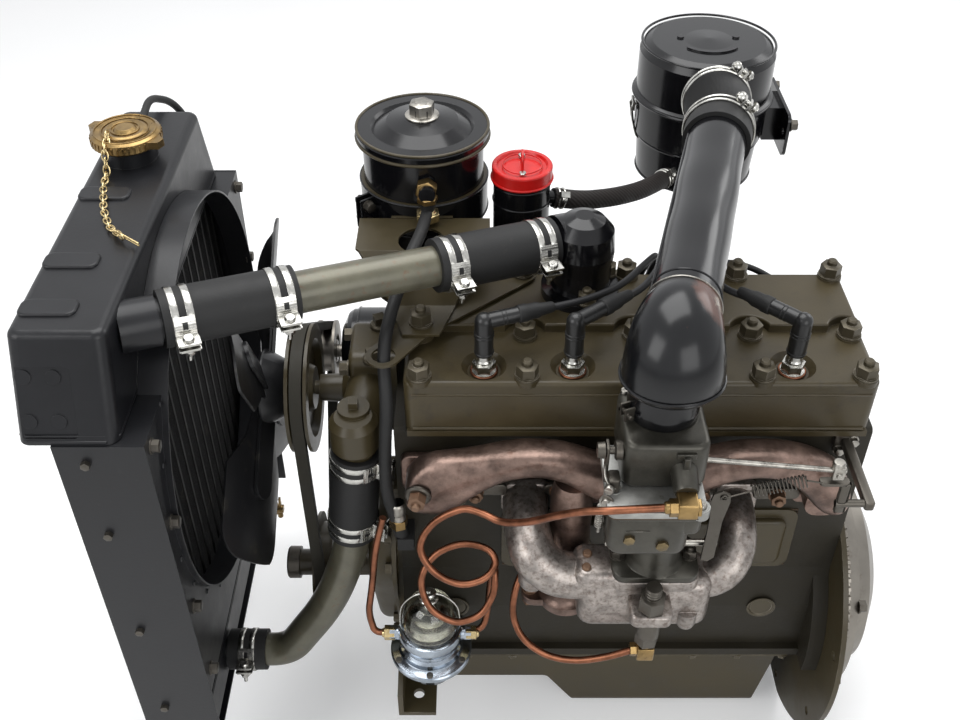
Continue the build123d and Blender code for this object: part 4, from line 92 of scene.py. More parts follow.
@dataclass(frozen=True)
class Finish:
    """One finish of the engine: a colour with its wear, dirt and grain."""

    name: str
    colour: Colour
    roughness: float = 0.5
    metallic: float = 0.0
    coat: float = 0.0
    surface: Surface = Surface.SMOOTH
    grain_mm: float = 2.0
    grain_depth_mm: float = 0.08
    patch_mm: float = 60.0
    patch_dark: float = 0.75
    dirt: Colour = (0.05, 0.045, 0.035)
    dirt_share: float = 0.3
    bare: Colour = (0.3, 0.27, 0.22)
    bare_share: float = 0.0
    bare_metallic: float = 0.6
    edge_mm: float = 0.7
    worn_at: Point | None = None
    worn_reach_mm: float = 30.0

    def material(self) -> bpy.types.Material:
        """Make the node material.

        Returns:
            The material, with its colour, roughness and bump worked out from object coordinates.
        """
        made = bpy.data.materials.new(self.name)
        made.use_nodes = True
        bench = NodeBench(made.node_tree)
        shader = made.node_tree.nodes["Principled BSDF"]
        for name, value in (
            ("Coat Weight", self.coat), ("Coat Roughness", 0.2),
            ("Specular IOR Level", 0.5 if self.metallic else 0.28),
        ):
            shader.inputs[name].default_value = value
        place = bench.node("ShaderNodeTexCoord").outputs["Object"]
        patches = bench.noise(place, 1000.0 / self.patch_mm, detail=5.0)
        fine = bench.noise(place, 1000.0 / self.grain_mm, detail=3.0)
        dark = tuple(channel * self.patch_dark for channel in self.colour)
        colour = bench.mix(bench.ramp(patches, 0.35, 0.65), dark, self.colour)
        colour = bench.mix(bench.scaled(bench.ramp(fine, 0.45, 0.75), 0.25), colour, dark)
        stain = bench.noise(place, 1000.0 / (self.patch_mm * 0.35), detail=8.0)
        stained = bench.scaled(
            bench.ramp(stain, 0.72 - 0.3 * self.dirt_share, 0.8), min(1.0, 0.35 + self.dirt_share),
        )
        colour = bench.mix(stained, colour, self.dirt)
        edge = bench.edges(self.edge_mm * 2.2)
        chips = bench.multiply(edge, bench.ramp(stain, 0.62 - 0.35 * self.bare_share, 0.66))
        chips = bench.scaled(chips, min(1.0, self.bare_share * 2.0))
        colour = bench.mix(chips, colour, self.bare)
        if self.worn_at:
            near = bench.node("ShaderNodeVectorMath", operation="DISTANCE")
            bench.link(place, near.inputs[0])
            near.inputs[1].default_value = self.worn_at
            reach = self.worn_reach_mm * MM
            spot = bench.range(near.outputs["Value"], 1.0, 0.0, 0.2 * reach, reach)
            rubbed = bench.ramp(bench.multiply(spot, bench.math("ADD", stain, 0.45)), 0.26, 0.42)
            colour = bench.mix(bench.scaled(rubbed, 0.85), colour, self.dirt)
            bright = bench.ramp(bench.multiply(spot, bench.math("ADD", fine, 0.3)), 0.66, 0.72)
            colour = bench.mix(bright, colour, self.bare)
        bench.link(colour, shader.inputs["Base Color"])
        rough = bench.range(patches, self.roughness * 0.82, min(1.0, self.roughness * 1.2))
        bench.link(rough, shader.inputs["Roughness"])
        if self.bare_share and not self.metallic:
            bench.link(bench.scaled(chips, self.bare_metallic), shader.inputs["Metallic"])
        else:
            shader.inputs["Metallic"].default_value = self.metallic
        soft = bench.node("ShaderNodeBevel", samples=4)
        soft.inputs["Radius"].default_value = self.edge_mm * MM
        relief = self._relief(bench, place, fine)
        bump = bench.node("ShaderNodeBump")
        bump.inputs["Strength"].default_value = 0.9
        bump.inputs["Distance"].default_value = self.grain_depth_mm * MM
        bench.link(relief, bump.inputs["Height"])
        bench.link(soft.outputs["Normal"], bump.inputs["Normal"])
        bench.link(bump.outputs["Normal"], shader.inputs["Normal"])
        return made

    def _relief(self, bench: "NodeBench", place: Socket, fine: Socket) -> Socket:
        """Choose the height that the bump reads.

        Args:
            bench: The node bench of this material.
            place: The object coordinates.
            fine: The fine noise that the colour uses too.

        Returns:
            The socket that holds the height.
        """
        if self.surface is Surface.CAST:
            pits = bench.node("ShaderNodeTexVoronoi")
            pits.inputs["Scale"].default_value = 1000.0 / (self.grain_mm * 1.6)
            bench.link(place, pits.inputs["Vector"])
            return bench.mix_value(0.5, pits.outputs["Distance"], fine)
        if self.surface is Surface.GRAINED:
            weave = bench.node("ShaderNodeTexVoronoi", distance="CHEBYCHEV")
            weave.inputs["Scale"].default_value = 1000.0 / self.grain_mm
            bench.link(place, weave.inputs["Vector"])
            return weave.outputs["Distance"]
        if self.surface is Surface.MESHED:
            braid = bench.node("ShaderNodeTexWave", wave_type="BANDS", bands_direction="DIAGONAL")
            braid.inputs["Scale"].default_value = 320.0 / self.grain_mm
            braid.inputs["Distortion"].default_value = 1.0
            bench.link(place, braid.inputs["Vector"])
            return braid.outputs["Fac"]
        return fine


class NodeBench:
    """A short way to lay shader nodes and join them."""

    def __init__(self, tree: bpy.types.NodeTree) -> None:
        """Keep the node tree to work on."""
        self.tree = tree

    def node(self, kind: str, **settings: object) -> bpy.types.Node:
        """Add a node.

        Args:
            kind: The node's type name.
            **settings: Values for the node's own properties.

        Returns:
            The new node.
        """
        made = self.tree.nodes.new(kind)
        for name, value in settings.items():
            setattr(made, name, value)
        return made

    def link(self, source: Socket, target: Socket) -> None:
        """Join an output to an input."""
        self.tree.links.new(source, target)

    def feed(self, socket: Socket, value: object) -> None:
        """Give a socket a link, a number or a colour, whichever the value is."""
        if isinstance(value, Socket):
            self.link(value, socket)
        elif isinstance(value, tuple):
            socket.default_value = (*value, 1.0)
        else:
            socket.default_value = value

    def noise(self, place: Socket, scale: float, detail: float) -> Socket:
        """Noise of a given scale, in waves a metre."""
        made = self.node("ShaderNodeTexNoise")
        made.inputs["Scale"].default_value = scale
        made.inputs["Detail"].default_value = detail
        made.inputs["Roughness"].default_value = 0.6
        self.link(place, made.inputs["Vector"])
        return made.outputs["Fac"]

    def ramp(self, value: Socket, low: float, high: float) -> Socket:
        """Stretch the values between two marks over nought to one."""
        return self.range(value, 0.0, 1.0, low, high)

    def range(
        self, value: Socket, to_low: float, to_high: float, low: float = 0.3, high: float = 0.7,
    ) -> Socket:
        """Map one range of values on to another, clamped.

        Args:
            value: The value to map.
            to_low: The result at the low mark.
            to_high: The result at the high mark.
            low: The low mark.
            high: The high mark.

        Returns:
            The mapped value.
        """
        made = self.node("ShaderNodeMapRange")
        for name, number in (("From Min", low), ("From Max", high), ("To Min", to_low), ("To Max", to_high)):
            made.inputs[name].default_value = number
        self.link(value, made.inputs["Value"])
        return made.outputs["Result"]

    def math(self, kind: str, first: object, second: object) -> Socket:
        """One sum on two values."""
        made = self.node("ShaderNodeMath", operation=kind)
        self.feed(made.inputs[0], first)
        self.feed(made.inputs[1], second)
        return made.outputs[0]

    def multiply(self, first: object, second: object) -> Socket:
        """The product of two values."""
        return self.math("MULTIPLY", first, second)

    def scaled(self, value: Socket, share: float) -> Socket:
        """A value times a fixed share."""
        return self.math("MULTIPLY", value, share)

    def mix(self, share: object, first: object, second: object) -> Socket:
        """Mix two colours by a share."""
        made = self.node("ShaderNodeMix", data_type="RGBA")
        self.feed(made.inputs["Factor"], share)
        self.feed(made.inputs[FIRST_COLOUR], first)
        self.feed(made.inputs[SECOND_COLOUR], second)
        return made.outputs[MIXED_COLOUR]

    def mix_value(self, share: object, first: object, second: object) -> Socket:
        """Mix two numbers by a share."""
        made = self.node("ShaderNodeMix", data_type="FLOAT")
        self.feed(made.inputs["Factor"], share)
        self.feed(made.inputs[FIRST_NUMBER], first)
        self.feed(made.inputs[SECOND_NUMBER], second)
        return made.outputs["Result"]

    def edges(self, radius_mm: float) -> Socket:
        """How near a point is to a sharp edge: nought on a flat, one at the edge."""
        bevel = self.node("ShaderNodeBevel", samples=4)
        bevel.inputs["Radius"].default_value = radius_mm * MM
        flat = self.node("ShaderNodeNewGeometry")
        dot = self.node("ShaderNodeVectorMath", operation="DOT_PRODUCT")
        self.link(bevel.outputs["Normal"], dot.inputs[0])
        self.link(flat.outputs["Normal"], dot.inputs[1])
        return self.range(dot.outputs["Value"], 1.0, 0.0, 0.8, 0.98)


OLIVE = (0.054, 0.042, 0.0195)
BRIGHT = (0.62, 0.61, 0.57)
RUST = (0.13, 0.048, 0.02)
FINISHES = {
    finish.name: finish
    for finish in (
        Finish(
            "olive_paint", OLIVE, 0.4, coat=0.15, dirt_share=0.35, bare_share=0.3, grain_mm=3.0,
            grain_depth_mm=0.06,
        ),
        Finish(
            "head_paint", (0.056, 0.043, 0.02), 0.42, coat=0.12, surface=Surface.CAST, grain_mm=2.2,
            grain_depth_mm=0.12, dirt=(0.022, 0.018, 0.012), dirt_share=0.45, bare=(0.2, 0.15, 0.1),
            bare_share=0.3,
        ),
        # The block's paint is darkened to near black: painted shade, standing for the shade over the block's
        # side.
        Finish(
            "shaded_block_paint", (0.021, 0.0175, 0.0105), 0.55, surface=Surface.CAST, grain_mm=3.5,
            grain_depth_mm=0.22, dirt=(0.018, 0.016, 0.012), dirt_share=0.6,
        ),
        Finish(
            "gloss_black", (0.005, 0.005, 0.006), 0.17, coat=0.2, grain_mm=9.0, grain_depth_mm=0.03,
            dirt_share=0.1,
        ),
        Finish(
            "fan_black", (0.01, 0.01, 0.011), 0.34, coat=0.25, grain_mm=5.0, dirt=(0.045, 0.04, 0.03),
            dirt_share=0.35, bare=(0.2, 0.19, 0.17), bare_share=0.2,
        ),
        Finish(
            "radiator_black", (0.0085, 0.0088, 0.0105), 0.36, coat=0.1, grain_mm=4.0, grain_depth_mm=0.1,
            dirt_share=0.2, dirt=(0.03, 0.029, 0.028), bare=(0.1, 0.1, 0.1), bare_share=0.2,
        ),
        Finish("core_black", (0.01, 0.01, 0.01), 0.6, grain_mm=2.0, dirt_share=0.4),
        Finish(
            "hose_rubber", (0.016, 0.016, 0.016), 0.55, surface=Surface.GRAINED, grain_mm=1.6,
            grain_depth_mm=0.14, dirt=(0.055, 0.05, 0.042), dirt_share=0.25,
        ),
        Finish("belt_rubber", (0.035, 0.032, 0.024), 0.7, grain_mm=1.2, dirt_share=0.3),
        Finish(
            "manifold_iron", (0.29, 0.2, 0.165), 0.36, metallic=0.9, surface=Surface.CAST, grain_mm=2.4,
            grain_depth_mm=0.22, patch_dark=0.32, patch_mm=34.0, dirt=(0.07, 0.032, 0.02), dirt_share=0.5,
        ),
        Finish(
            "intake_metal", (0.4, 0.36, 0.33), 0.36, metallic=0.85, surface=Surface.CAST, grain_mm=2.2,
            grain_depth_mm=0.2, patch_dark=0.55, patch_mm=12.0, dirt=(0.085, 0.052, 0.036), dirt_share=0.8,
        ),
        Finish(
            "carburettor_metal", (0.07, 0.066, 0.054), 0.34, metallic=0.6, surface=Surface.CAST, grain_mm=1.6,
            grain_depth_mm=0.07, patch_dark=0.6, patch_mm=26.0, dirt=(0.035, 0.028, 0.018), dirt_share=0.45,
            bare=(0.4, 0.38, 0.34), bare_share=0.3,
        ),
        Finish(
            "pale_alloy", (0.4, 0.4, 0.38), 0.4, metallic=0.8, surface=Surface.CAST, grain_mm=1.8,
            grain_depth_mm=0.06, patch_dark=0.65, patch_mm=22.0, dirt=(0.1, 0.08, 0.055), dirt_share=0.35,
        ),
        Finish(
            "horn_paint", (0.0065, 0.0068, 0.0078), 0.22, coat=0.15, grain_mm=8.0, grain_depth_mm=0.03,
            patch_mm=34.0, dirt=(0.1, 0.046, 0.033), dirt_share=0.12, bare=(0.24, 0.2, 0.16), bare_share=0.3,
            worn_at=(-0.214, -0.166, 0.543), worn_reach_mm=38.0,
        ),
        Finish(
            "bright_zinc", BRIGHT, 0.22, metallic=1.0, grain_mm=1.5, grain_depth_mm=0.02, patch_dark=0.6,
            patch_mm=12.0, dirt=(0.16, 0.14, 0.11), dirt_share=0.25,
        ),
        Finish(
            "raw_steel", (0.26, 0.24, 0.21), 0.36, metallic=1.0, grain_mm=1.2, dirt_share=0.45,
            dirt=(0.09, 0.06, 0.04),
        ),
        Finish(
            "worn_steel", (0.42, 0.4, 0.36), 0.3, metallic=1.0, grain_mm=1.5, patch_dark=0.5, patch_mm=14.0,
            dirt=(0.14, 0.1, 0.07), dirt_share=0.4,
        ),
        Finish(
            "dark_steel", (0.11, 0.1, 0.085), 0.38, metallic=0.85, grain_mm=1.2, dirt=(0.05, 0.035, 0.025),
            dirt_share=0.45,
        ),
        Finish(
            "rusty_nut", (0.2, 0.12, 0.075), 0.5, metallic=0.6, surface=Surface.CAST, grain_mm=1.2, dirt=RUST,
            dirt_share=0.7,
        ),
        Finish(
            "pipe_steel", (0.125, 0.118, 0.082), 0.34, metallic=0.3, coat=0.15, dirt=RUST, dirt_share=0.45,
            patch_mm=24.0, bare_share=0.5,
        ),
        Finish(
            "copper_tube", (0.29, 0.118, 0.066), 0.36, metallic=1.0, grain_mm=6.0, grain_depth_mm=0.02,
            patch_dark=0.5, patch_mm=18.0, dirt=(0.12, 0.05, 0.03), dirt_share=0.35,
        ),
        Finish(
            "brass", (0.36, 0.24, 0.1), 0.3, metallic=1.0, patch_dark=0.55, patch_mm=16.0,
            dirt=(0.12, 0.075, 0.03), dirt_share=0.35,
        ),
        Finish(
            "pump_zinc", (0.42, 0.47, 0.53), 0.2, metallic=1.0, patch_dark=0.6, patch_mm=16.0,
            dirt=(0.09, 0.09, 0.1), dirt_share=0.35,
        ),
        Finish(
            "aged_brass", (0.25, 0.19, 0.1), 0.38, metallic=0.9, patch_dark=0.55, patch_mm=10.0,
            dirt=(0.06, 0.045, 0.03), dirt_share=0.45,
        ),
        Finish(
            "pale_brass", (0.66, 0.52, 0.27), 0.24, metallic=1.0, patch_dark=0.6, patch_mm=9.0,
            dirt_share=0.15,
        ),
        Finish("cork", (0.09, 0.062, 0.04), 0.85, grain_mm=1.2, grain_depth_mm=0.1, dirt_share=0.4),
        Finish(
            "red_enamel", (0.62, 0.012, 0.01), 0.3, coat=0.4, grain_mm=6.0, grain_depth_mm=0.02,
            dirt_share=0.05,
        ),
        Finish("moulded_black", (0.014, 0.014, 0.014), 0.3, coat=0.2, grain_mm=3.0, dirt_share=0.2),
        Finish("wire_rubber", (0.016, 0.016, 0.017), 0.45, grain_mm=2.0, dirt_share=0.2),
        Finish(
            "braided_hose", (0.02, 0.0165, 0.015), 0.7, surface=Surface.MESHED, grain_mm=3.2,
            grain_depth_mm=0.4, patch_mm=30.0, dirt_share=0.3,
        ),
        Finish(
            "dark_nut", (0.075, 0.062, 0.038), 0.4, metallic=0.45, dirt_share=0.5, bare_share=0.5,
            grain_mm=1.5, dirt=(0.03, 0.022, 0.014),
        ),
    )
}
GLASS_TINT = (0.93, 0.94, 0.88)
SLOTS = {
    "dark_steel": "raw_steel", "worn_steel": "raw_steel", "rusty_nut": "raw_steel", "dark_nut": "olive_paint",
    "cork": "moulded_black", "pale_brass": "brass", "aged_brass": "brass", "pump_zinc": "bright_zinc",
    "pale_alloy": "carburettor_metal", "intake_metal": "manifold_iron", "horn_paint": "gloss_black",
    "fan_black": "gloss_black",
}


class FinishRack:
    """The finishes, each made once and handed out by name."""

    def __init__(self) -> None:
        """Start with an empty rack."""
        self.made: dict[str, bpy.types.Material] = {}

    def get(self, name: str) -> bpy.types.Material:
        """The material of that name.

        Args:
            name: A key of FINISHES, or bowl_glass.

        Returns:
            The material, made on first use.
        """
        if name not in self.made:
            self.made[name] = self._glass() if name == "bowl_glass" else FINISHES[name].material()
        return self.made[name]

    def _glass(self) -> bpy.types.Material:
        """The clear glass of the fuel bowl."""
        made = bpy.data.materials.new("bowl_glass")
        made.use_nodes = True
        bench = NodeBench(made.node_tree)
        shader = made.node_tree.nodes["Principled BSDF"]
        shader.inputs["Transmission Weight"].default_value = 1.0
        shader.inputs["Roughness"].default_value = 0.02
        shader.inputs["IOR"].default_value = 1.45
        place = bench.node("ShaderNodeTexCoord").outputs["Object"]
        haze = bench.ramp(bench.noise(place, 90.0, 4.0), 0.4, 0.8)
        bench.link(bench.mix(haze, GLASS_TINT, (0.8, 0.78, 0.66)), shader.inputs["Base Color"])
        return made


def mm(x: float, y: float, z: float) -> Vector:
    """A point given in millimetres, as a vector in metres."""
    return Vector((x, y, z)) * MM


def at(x: float, y: float, z: float) -> Matrix:
    """A frame with the engine's axes, at a point given in millimetres."""
    return Matrix.Translation(mm(x, y, z))


def along(origin: Vector, axis: Vector) -> Matrix:
    """A frame whose Z runs along an axis.

    Args:
        origin: Where the frame sits.
        axis: The direction of its Z.

    Returns:
        The matrix from that frame to the engine's.
    """
    turn = Vector(axis).normalized().to_track_quat("Z", "Y")
    return Matrix.Translation(Vector(origin)) @ turn.to_matrix().to_4x4()


def frame_axes(axis: Vector, out: Vector, origin: Vector) -> Matrix:
    """A frame with Z out and X along an axis.

    Args:
        axis: The direction of X.
        out: About where Z points.
        origin: The frame's origin.

    Returns:
        The matrix of that frame.
    """
    first = Vector(axis).normalized()
    third = (Vector(out) - first * Vector(out).dot(first)).normalized()
    second = third.cross(first)
    turn = Matrix((first, second, third)).transposed().to_4x4()
    return Matrix.Translation(Vector(origin)) @ turn


def around(count: int, offset: float = 0.0) -> list[float]:
    """Equal turns of a circle in radians, the first one a share of a step from nought."""
    return [math.tau * (index + offset) / count for index in range(count)]


def eased(points: Iterable[Point], steps: int = 8) -> list[Vector]:
    """A smooth line through points.

    Args:
        points: The points in millimetres.
        steps: Pieces between two points.

    Returns:
        The line's points in metres.
    """
    marks = [Vector(point) * MM for point in points]
    ends = [marks[0] * 2 - marks[1], *marks, marks[-1] * 2 - marks[-2]]
    line = []
    for index in range(1, len(ends) - 2):
        before, start, end, after = ends[index - 1:index + 3]
        for step in range(steps):
            share = step / steps
            square, cube = share ** 2, share ** 3
            bend = (2 * before - 5 * start + 4 * end - after) * square
            twist = (3 * start - before - 3 * end + after) * cube
            line.append(0.5 * (2 * start + (end - before) * share + bend + twist))
    line.append(marks[-1])
    return line


class Workpiece:
    """One mesh under construction: places are vectors and frames in metres, sizes are millimetres."""

    def __init__(self) -> None:
        """Start an empty mesh."""
        self.mesh = bmesh.new()

    def corners(self, points: Iterable[Vector]) -> Ring:
        """Add a corner at each point."""
        return [self.mesh.verts.new(point) for point in points]

    def join(self, lower: Ring, upper: Ring) -> None:
        """Join two rings of the same count, or a ring and a point, with faces."""
        count = max(len(lower), len(upper))
        if count == 1:
            return
        for index in range(count):
            after = (index + 1) % count
            if len(lower) == 1:
                corners = [lower[0], upper[index], upper[after]]
            elif len(upper) == 1:
                corners = [lower[index], upper[0], lower[after]]
            else:
                corners = [lower[index], upper[index], upper[after], lower[after]]
            self.mesh.faces.new(corners)

    def loft(self, rings: list[Ring], first: bool = True, last: bool = True) -> None:
        """Join rings in order, and close the first and the last with a face where asked."""
        for lower, upper in zip(rings, rings[1:]):
            self.join(lower, upper)
        for wanted, ring in ((first, rings[0]), (last, rings[-1])):
            if wanted:
                self.mesh.faces.new(ring)

    def lathe(self, profile: Iterable[Spot], place: Matrix, sides: int = 24, phase: float = 0.0) -> None:
        """Turn a profile round Z.

        Args:
            profile: Points of (radius, height).
            place: Where the turned piece goes.
            sides: Facets round the axis.
            phase: Turn of the first facet, in radians.
        """
        rings = []
        for radius, height in profile:
            reach, level = radius * MM, height * MM
            if radius == 0.0:
                spots = [Vector((0.0, 0.0, level))]
            else:
                turns = [phase + turn for turn in around(sides)]
                spots = [Vector((reach * math.cos(turn), reach * math.sin(turn), level)) for turn in turns]
            rings.append(self.corners(place @ spot for spot in spots))
        self.loft(rings, first=False, last=False)

    def disc(self, radius: float, height: float, place: Matrix, sides: int) -> None:
        """A flat round piece, such as a washer or a pad."""
        self.lathe([(0.0, 0.0), (radius, 0.0), (radius, height), (0.0, height)], place, sides)

    def button(self, foot: float, rim: Spot, height: float, place: Matrix, sides: int) -> None:
        """A low domed head, such as a rivet's.

        Args:
            foot: Radius at its foot.
            rim: Radius and height where its top begins.
            height: Height of its middle.
            place: Where it sits, Z outward.
            sides: Facets round it.
        """
        self.lathe([(0.0, 0.0), (foot, 0.0), rim, (0.0, height)], place, sides)

    def slab(self, low: Point, high: Point, corner: float, edge: float, place: Matrix | None = None) -> None:
        """A block with rounded upright corners and eased upper and lower edges.

        Args:
            low: Its lowest corner.
            high: Its highest corner.
            corner: Radius of the upright corners.
            edge: Easing of the other edges.
            place: A frame that it goes through, or none.
        """
        place = place or Matrix.Identity(4)
        ease_steps, corner_steps, least_radius = 3, 5, 0.4
        middle = [(first + last) / 2 for first, last in zip(low, high)]
        half_x, half_y = (high[0] - low[0]) / 2, (high[1] - low[1]) / 2
        lower = []
        for step in range(ease_steps + 1):
            turn = math.radians(90.0 / ease_steps * step)
            lower.append((low[2] + edge * (1.0 - math.cos(turn)), edge * (1.0 - math.sin(turn))))
        upper = [(high[2] - (z - low[2]), inset) for z, inset in reversed(lower)]
        rings = []
        for z, inset in lower + upper:
            radius = max(corner - inset, least_radius)
            spots = []
            for quarter, (side_x, side_y) in enumerate(((1, 1), (-1, 1), (-1, -1), (1, -1))):
                centre_x = middle[0] + side_x * (half_x - inset - radius)
                centre_y = middle[1] + side_y * (half_y - inset - radius)
                for step in range(corner_steps + 1):
                    turn = math.radians(90.0 * quarter + 90.0 / corner_steps * step)
                    spots.append(
                        mm(centre_x + radius * math.cos(turn), centre_y + radius * math.sin(turn), z)
                    )
            rings.append(self.corners(place @ spot for spot in spots))
        self.loft(rings)

    def slab_y(self, low: Point, high: Point, corner: float, edge: float) -> None:
        """A block like slab, with the rounded corners seen along Y."""
        turn = Matrix.Rotation(math.pi / 2, 4, "X")
        self.slab((low[0], low[2], -high[1]), (high[0], high[2], -low[1]), corner, edge, turn)

    def plate(self, outline: Iterable[Spot], place: Matrix, thickness: float) -> None:
        """A flat plate of any outline in the frame's XY plane."""
        faces = [[place @ mm(x, y, side * thickness / 2) for x, y in outline] for side in (-1, 1)]
        self.loft([self.corners(face) for face in faces])

    def box(self, size: Vector, place: Matrix) -> None:
        """A plain box of a size in metres, centred on the frame's origin."""
        made = bmesh.ops.create_cube(self.mesh, size=1.0)
        bmesh.ops.transform(self.mesh, matrix=place @ Matrix.Diagonal((*size, 1.0)), verts=made["verts"])

    def hexagon(self, across: float, height: float, place: Matrix, phase: float = 0.0) -> None:
        """A chamfered hexagon, as a nut or bolt head, standing on the frame's XY plane."""
        corner = across / math.sqrt(3.0)
        lip = corner * 0.1
        profile = [
            (0.0, 0.0), (corner, 0.0), (corner, height - lip * 0.6), (corner - lip, height), (0.0, height),
        ]
        self.lathe(profile, place, 6, phase)

    def bolt(
        self, across: float, place: Matrix, washer: float = 0.0, stud: float = 0.0, phase: float = 0.0,
    ) -> None:
        """A washer, a hexagon and the stud's end above it.

        Args:
            across: Size across the flats.
            place: Where the bolt sits, Z outward.
            washer: Radius of the washer, or nought for none.
            stud: Radius of the stud's end, or nought for a plain head.
            phase: Turn of the hexagon, in radians.
        """
        height, lift = across * 0.62, across * 0.12 if washer else 0.0
        if washer:
            self.disc(washer, lift, place, 20)
        self.hexagon(across, height, place @ at(0.0, 0.0, lift), phase)
        if stud:
            top = lift + height
            end = top + stud * 1.1
            self.lathe(
                [(stud, top - 1.0), (stud, top + stud * 0.8), (stud * 0.7, end), (0.0, end)], place, 12,
            )

    def screw(self, radius: float, place: Matrix, height: float) -> None:
        """A slotted round-head screw, standing on the frame's XY plane."""
        self.lathe([(radius, 0.0), (radius, height * 0.55), (radius * 0.8, height), (0.0, height)], place, 16)
        self.box(mm(radius * 1.5, radius * 0.22, radius * 0.06), place @ at(0.0, 0.0, height + radius * 0.02))

    def tube(self, points: Iterable[Vector], radius: float, sides: int = 12, close: bool = False) -> None:
        """A round bar along points, capped unless it is closed on itself.

        Args:
            points: The centre line.
            radius: The bar's radius.
            sides: Facets round it.
            close: Whether the last point joins the first.
        """
        points = list(points)
        count = len(points)
        side = None
        rings = []
        for index, point in enumerate(points):
            before = points[index - 1] if index or close else point
            after = points[(index + 1) % count] if index < count - 1 or close else point
            heading = (after - before).normalized()
            side = side or heading.orthogonal().normalized()
            side = (side - heading * side.dot(heading)).normalized()
            across = heading.cross(side)
            spots = [
                (side * math.cos(turn) + across * math.sin(turn)) * (radius * MM) for turn in around(sides)
            ]
            rings.append(self.corners(point + spot for spot in spots))
        self.loft(rings, first=not close, last=not close)
        if close:
            self.join(rings[-1], rings[0])

    def ring(
        self, centre: Vector, axis: Vector, radius: float, thickness: float, steps: int, sides: int = 6,
    ) -> None:
        """A round wire bent into a circle."""
        place = along(centre, axis)
        turns = around(steps)
        self.tube(
            [place @ mm(radius * math.cos(turn), radius * math.sin(turn), 0.0) for turn in turns], thickness,
            sides, True,
        )

    def beads(self, x: float, y: float, rows: Iterable[Point], steps: int, sides: int = 6) -> None:
        """Round beads on an upright axis, from rows of (height, radius, thickness)."""
        for z, radius, thickness in rows:
            self.ring(mm(x, y, z), UP, radius, thickness, steps, sides)

    def coil(self, start: Vector, end: Vector, radius: float, wire: float, turns: int) -> None:
        """A coil spring between two points.

        Args:
            start: One end.
            end: The other end.
            radius: Mean radius.
            wire: Radius of the wire.
            turns: Number of turns.
        """
        place, length = along(start, end - start), (end - start).length
        steps, reach = turns * 14, radius * MM
        points = []
        for step in range(steps + 1):
            turn = math.tau * turns * step / steps
            points.append(
                place @ Vector((reach * math.cos(turn), reach * math.sin(turn), length * step / steps))
            )
        self.tube(points, wire, 6)

    def finish(
        self, name: str, material: bpy.types.Material, body: str, slot: str, smooth: float,
    ) -> bpy.types.Object:
        """Turn the mesh into an object that rides on a body.

        Args:
            name: The piece's name.
            material: Its material.
            body: The CAD body that it moves with.
            slot: The record's material slot; not used.
            smooth: Angle under which edges are smooth, in degrees.

        Returns:
            The new object.
        """
        bmesh.ops.recalc_face_normals(self.mesh, faces=self.mesh.faces)
        data = bpy.data.meshes.new(name)
        self.mesh.to_mesh(data)
        self.mesh.free()
        data.materials.append(material)
        data.polygons.foreach_set("use_smooth", [True] * len(data.polygons))
        data.set_sharp_from_angle(angle=math.radians(smooth))
        made = bpy.data.objects.new(name, data)
        bpy.context.scene.collection.objects.link(made)
        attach(made, body)
        log.info("%s: %d faces on %s", name, len(data.polygons), body)
        return made


class Gauge:
    """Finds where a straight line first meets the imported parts."""

    def __init__(self) -> None:
        """Keep one search tree a node, each made on first use."""
        self.trees: dict[str, BVHTree] = {}

    def tree(self, node: str) -> BVHTree:
        """The search tree of a node."""
        if node not in self.trees:
            thing = frame["nodes"][node]
            place = thing.matrix_world
            corners = [place @ vertex.co for vertex in thing.data.vertices]
            faces = [tuple(face.vertices) for face in thing.data.polygons]
            self.trees[node] = BVHTree.FromPolygons(corners, faces)
        return self.trees[node]

    def meet(self, start: Vector, heading: Vector, *nodes: str) -> Vector | None:
        """The nearest point of some nodes along a line.

        Args:
            start: Where the line starts.
            heading: The way it goes.
            *nodes: The nodes that it may meet.

        Returns:
            The point met, or none.
        """
        best, nearest = None, 1.0
        for node in nodes:
            point, _, _, distance = self.tree(node).ray_cast(start, Vector(heading).normalized(), nearest)
            if point is not None and distance < nearest:
                best, nearest = point, distance
        return best


@dataclass
class SubAssembly:
    """What every sub-assembly works with: the finishes and the gauge."""

    rack: FinishRack
    gauge: Gauge

    def piece(
        self, work: Workpiece, name: str, finish: str, slot: str = "", body: str = ENGINE,
        smooth: float = 35.0,
    ) -> bpy.types.Object:
        """Turn a mesh into a piece that wears a finish.

        Args:
            work: The mesh.
            name: The piece's name.
            finish: Name of its finish.
            slot: The record's material slot, or nothing for the one that goes with the finish.
            body: The CAD body that it moves with.
            smooth: Angle under which edges are smooth, in degrees.

        Returns:
            The new object.
        """
        slot = slot or SLOTS.get(finish, finish)
        return work.finish(name, self.rack.get(finish), body, slot, smooth)

    def bolt_row(
        self, work: Workpiece, starts: list[Vector], axis: Vector, nodes: tuple[str, ...], across: float,
        washer: float = 0.0, stud: float = 0.0,
    ) -> None:
        """Seat a bolt or nut under each start point, where the part has a seat there.

        Args:
            work: The mesh that the bolts go into.
            starts: Points outside the part, in metres.
            axis: The way the heads face.
            nodes: What they may sit on.
            across: Size across the flats.
            washer: Radius of the washer, or nought.
            stud: Radius of the stud, or nought.
        """
        for index, start in enumerate(starts):
            seat = self.gauge.meet(start, -axis, *nodes)
            if seat:
                work.bolt(across, along(seat, axis), washer, stud, 0.4 + 1.3 * index)


